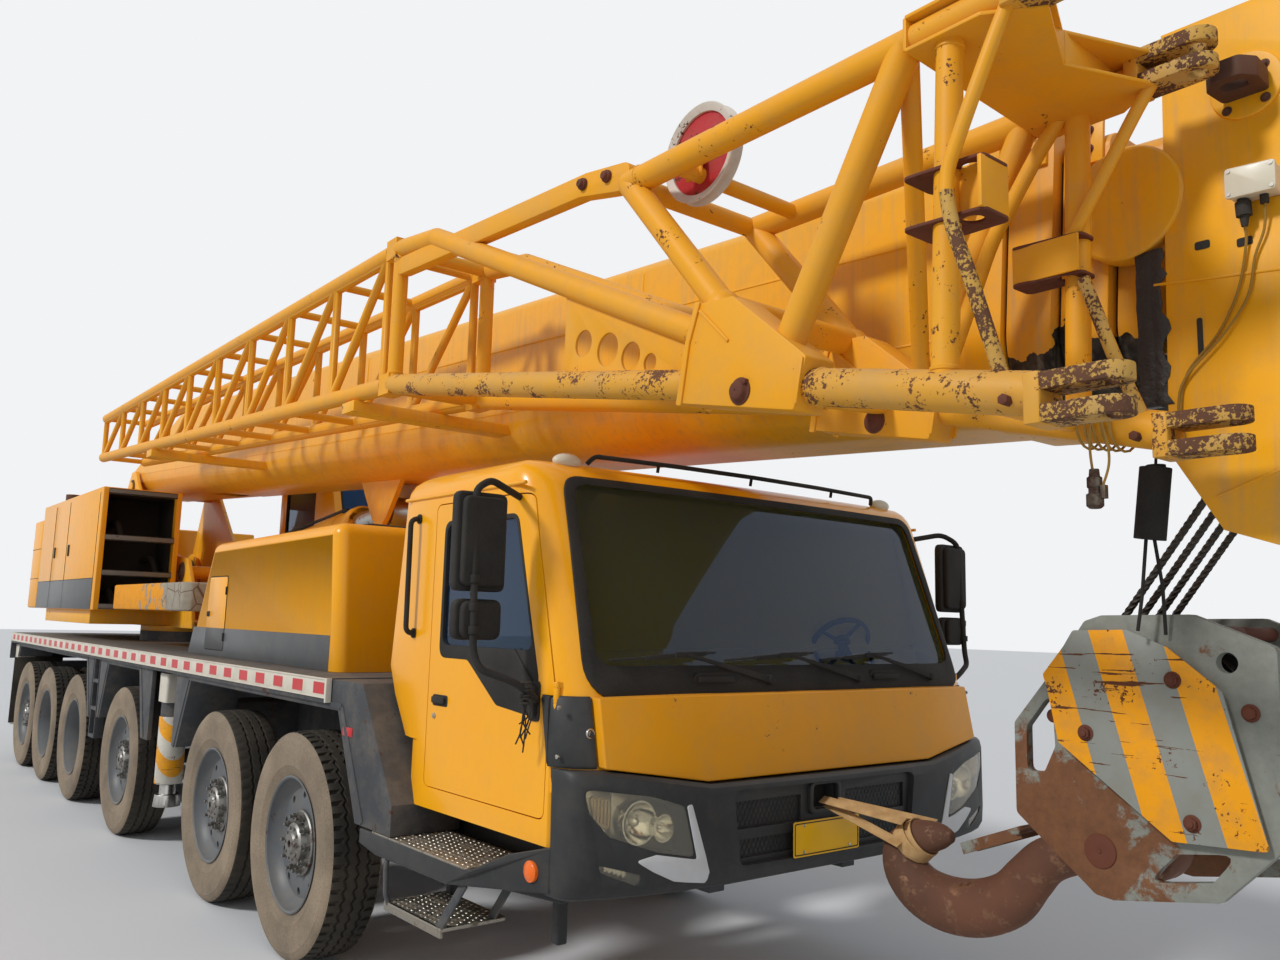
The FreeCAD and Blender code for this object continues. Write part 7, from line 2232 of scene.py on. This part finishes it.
# Operator's cab: a welded steel shell on the left of the turntable with a deep bent front screen, a
# window in its right wall and a sliding-style door behind, all glazed in black rubber, with a work lamp
# on its roof.
OPCAB_SIDE = ((-6350, 2140), (-6350, 3560), (-6230, 3640), (-4980, 3640), (-4650, 2750), (-4750, 2140))
shape = bmesh.new()
prism(shape, "xz", rounded(OPCAB_SIDE, 45, 5), 640, 1470)
for low_y, high_y, outline in (
    (690, 1420, ((-6300, 2190), (-6300, 3535), (-6212, 3590), (-5016, 3590), (-4704, 2748), (-4793, 2190))),
    (1350, 1500, ((-6200, 2230), (-6200, 3520), (-5350, 3520), (-5350, 2230))),
    (600, 700, ((-6150, 2750), (-6150, 3480), (-5300, 3480), (-5300, 2750)))):
    tool = bmesh.new()
    prism(tool, "xz", rounded(outline, 30, 4), low_y, high_y)
    shape = combined(shape, tool)
tool = bmesh.new()
prism(tool, "yz", rounded(rectangle(730, 1380, 2320, 3520), 60, 5), -5060, -4500)
put("operator_cab_shell", combined(shape, tool), cab_yellow, "superstructure",
    ["operator_cab"], bevel=6)
shape = bmesh.new()
FRONT_LINE = ((-4948, 3532), (-4664, 2750), (-4736, 2306))
prism(shape, "xz", list(FRONT_LINE) + [(x - 8, z) for x, z in reversed(FRONT_LINE)], 722, 1388)
block(shape, -6156, -5294, 655, 663, 2744, 3486)
put("operator_screen", shape, screen_glass, "superstructure")
shape = bmesh.new()
for y in (738, 1372):
    for (x, z), (u, v) in zip(FRONT_LINE, FRONT_LINE[1:]):
        bar(shape, (x + 4, y, z), (u + 4, y, v), 26, 22, side=(1, 0, 0))
for x, z in (FRONT_LINE[0], FRONT_LINE[-1]):
    bar(shape, (x + 4, 725, z + (-12 if z > 3000 else 14)), (x + 4, 1385, z + (-12 if z > 3000 else 14)),
        26, 22, side=(1, 0, 0))
for z in (2750, 3480):
    bar(shape, (-6150, 645, z), (-5300, 645, z), 24, 14, side=(0, 1, 0))
for x in (-6150, -5300):
    bar(shape, (x, 645, 2750), (x, 645, 3480), 24, 14, side=(0, 1, 0))
bar(shape, (-4640, 1050, 2420), (-4646, 1050, 2760), 16, 10, side=(1, 0, 0))
pipe(shape, ((-4690, 1010, 2330), (-4650, 1040, 2620), (-4668, 1050, 2960)), 8, 8, 20)
rod(shape, (-5200, 1055, 3640), (-5200, 1055, 3672), 18, 16)
pipe(shape, ((-6280, 1492, 2500), (-6280, 1520, 2560), (-6280, 1520, 3100), (-6280, 1492, 3160)), 12, 10,
     30)
put("operator_cab_rubbers", shape, trim_and_shade_black, "superstructure", bevel=2)
shape = bmesh.new()
prism(shape, "xz", rounded([(-5250, 3668), (-5150, 3668), (-5142, 3765), (-5258, 3765)], 18, 4), 975, 1135)
put("roof_work_lamp", shape, trim_and_shade_black, "superstructure", bevel=4)
shape = bmesh.new()
lathe(shape, ((0, 2), (0, 60), (10, 56), (14, 2)), (-5146, 1055, 3716), 32, "X")
put("work_lamp_lens", shape, lens_plastic, "superstructure")
padded_block("operator_cushion", (-5900, -5400, 830, 1280, 2500, 2625), "superstructure")
padded_block("operator_backrest", (-6020, -5900, 840, 1270, 2630, 3250), "superstructure")
shape = bmesh.new()
block(shape, -5800, -5500, 920, 1190, 2190, 2510)
for y in (800, 1310):
    block(shape, -5880, -5560, y - 40, y + 40, 2640, 2700)
    rod(shape, (-5640, y, 2700), (-5630, y, 2790), 12, 12, 9)
put("operator_consoles", shape, trim_and_shade_black, "superstructure", bevel=8)
door = bmesh.new()
prism(door, "xz", rounded(rectangle(-6192, -5358, 2238, 3512), 36, 4), 1430, 1470)
tool = bmesh.new()
prism(tool, "xz", rounded(rectangle(-6110, -5440, 2800, 3440), 50, 5), 1400, 1500)
door = combined(door, tool)
for z in (2450, 3250):
    rod(door, (-6200, 1484, z), (-6200, 1484, z + 60), 16, 18)
    block(door, -6200, -6140, 1462, 1484, z, z + 60)
put("operator_door_panel", door, cab_yellow, "operator_door", ["operator_cab_door"],
    bevel=4)
shape = bmesh.new()
prism(shape, "xz", rounded(rectangle(-6116, -5434, 2794, 3446), 52, 5), 1446, 1452)
put("operator_door_glass", shape, screen_glass, "operator_door")
shape = bmesh.new()
prism(shape, "xz", rounded(rectangle(-6122, -5428, 2788, 3452), 56, 5), 1462, 1476)
tool = bmesh.new()
prism(tool, "xz", rounded(rectangle(-6096, -5454, 2814, 3426), 44, 5), 1400, 1500)
shape = combined(shape, tool)
bar(shape, (-5420, 1482, 2610), (-5420, 1482, 2740), 30, 16, side=(0, 1, 0))
put("operator_door_rubber", shape, trim_and_shade_black, "operator_door", bevel=2)

# Slewing table, luffing cylinder and engine: profile-cut webs on a ring of bolts, a painted barrel with
# a bolted gland and hoses, a ground rod, and the diesel's cast block under its hood.
softened("turntable", boom_yellow, "superstructure", bevel=5)
softened("luff_barrel", boom_yellow, "luff_barrel", bevel=6)
softened("luff_rod", jack_steel, "luff_rod", bevel=4)
softened("engine_block", rust_cast, "carrier", bevel=8)
shape = bmesh.new()
BARREL_PIN, EAR_PIN = (-6000, 0, 2300), (-1900, 0, 2720)
for x, z, radius in ((FOOT_X, FOOT_Z, 120), (BARREL_PIN[0], BARREL_PIN[2], 110)):
    for side in (1, -1):
        face = side * (512 if x < -8000 else 508)
        lathe(shape, ((0, 4), (0, radius), (side * 14, radius - 6), (side * 14, 56), (side * 24, 50),
                      (side * 24, 4)), (x, face, z), 36, "Y")
        for k in range(6):
            a = math.pi / 3 * k
            bolt_x, bolt_z = x + 84 * math.cos(a), z + 84 * math.sin(a)
            rod(shape, (bolt_x, face + side * 12, bolt_z), (bolt_x, face + side * 22, bolt_z), 11, 6)
put("pin_caps", shape, rust_cast, "superstructure", bevel=2)
reach = Vector(EAR_PIN) - Vector(BARREL_PIN)
turn = reach.to_track_quat("X", "Z").to_matrix()
shape = bmesh.new()
lathe(shape, ((3392, 110), (3392, 160), (3400, 168), (3480, 168), (3490, 160), (3500, 150), (3500, 110)),
      BARREL_PIN, 48, "X", turn)
for along in (420, 1850, 3120):
    lathe(shape, ((along, 150), (along, 160), (along + 34, 160), (along + 34, 150)), BARREL_PIN, 48, "X",
          turn)
put("barrel_gland", shape, boom_yellow, "luff_barrel", bevel=2)
shape = bmesh.new()
for y in (-46, 46):
    pipe(shape, [tuple(Vector(BARREL_PIN) + turn @ Vector(spot)) for spot in
                 ((300, y, 172), (1200, y, 178), (2300, y, 178), (3180, y, 176), (3260, y, 164))], 14, 12,
                 40)
put("barrel_hoses", shape, cable_black, "luff_barrel", smooth=60)

low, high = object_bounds()
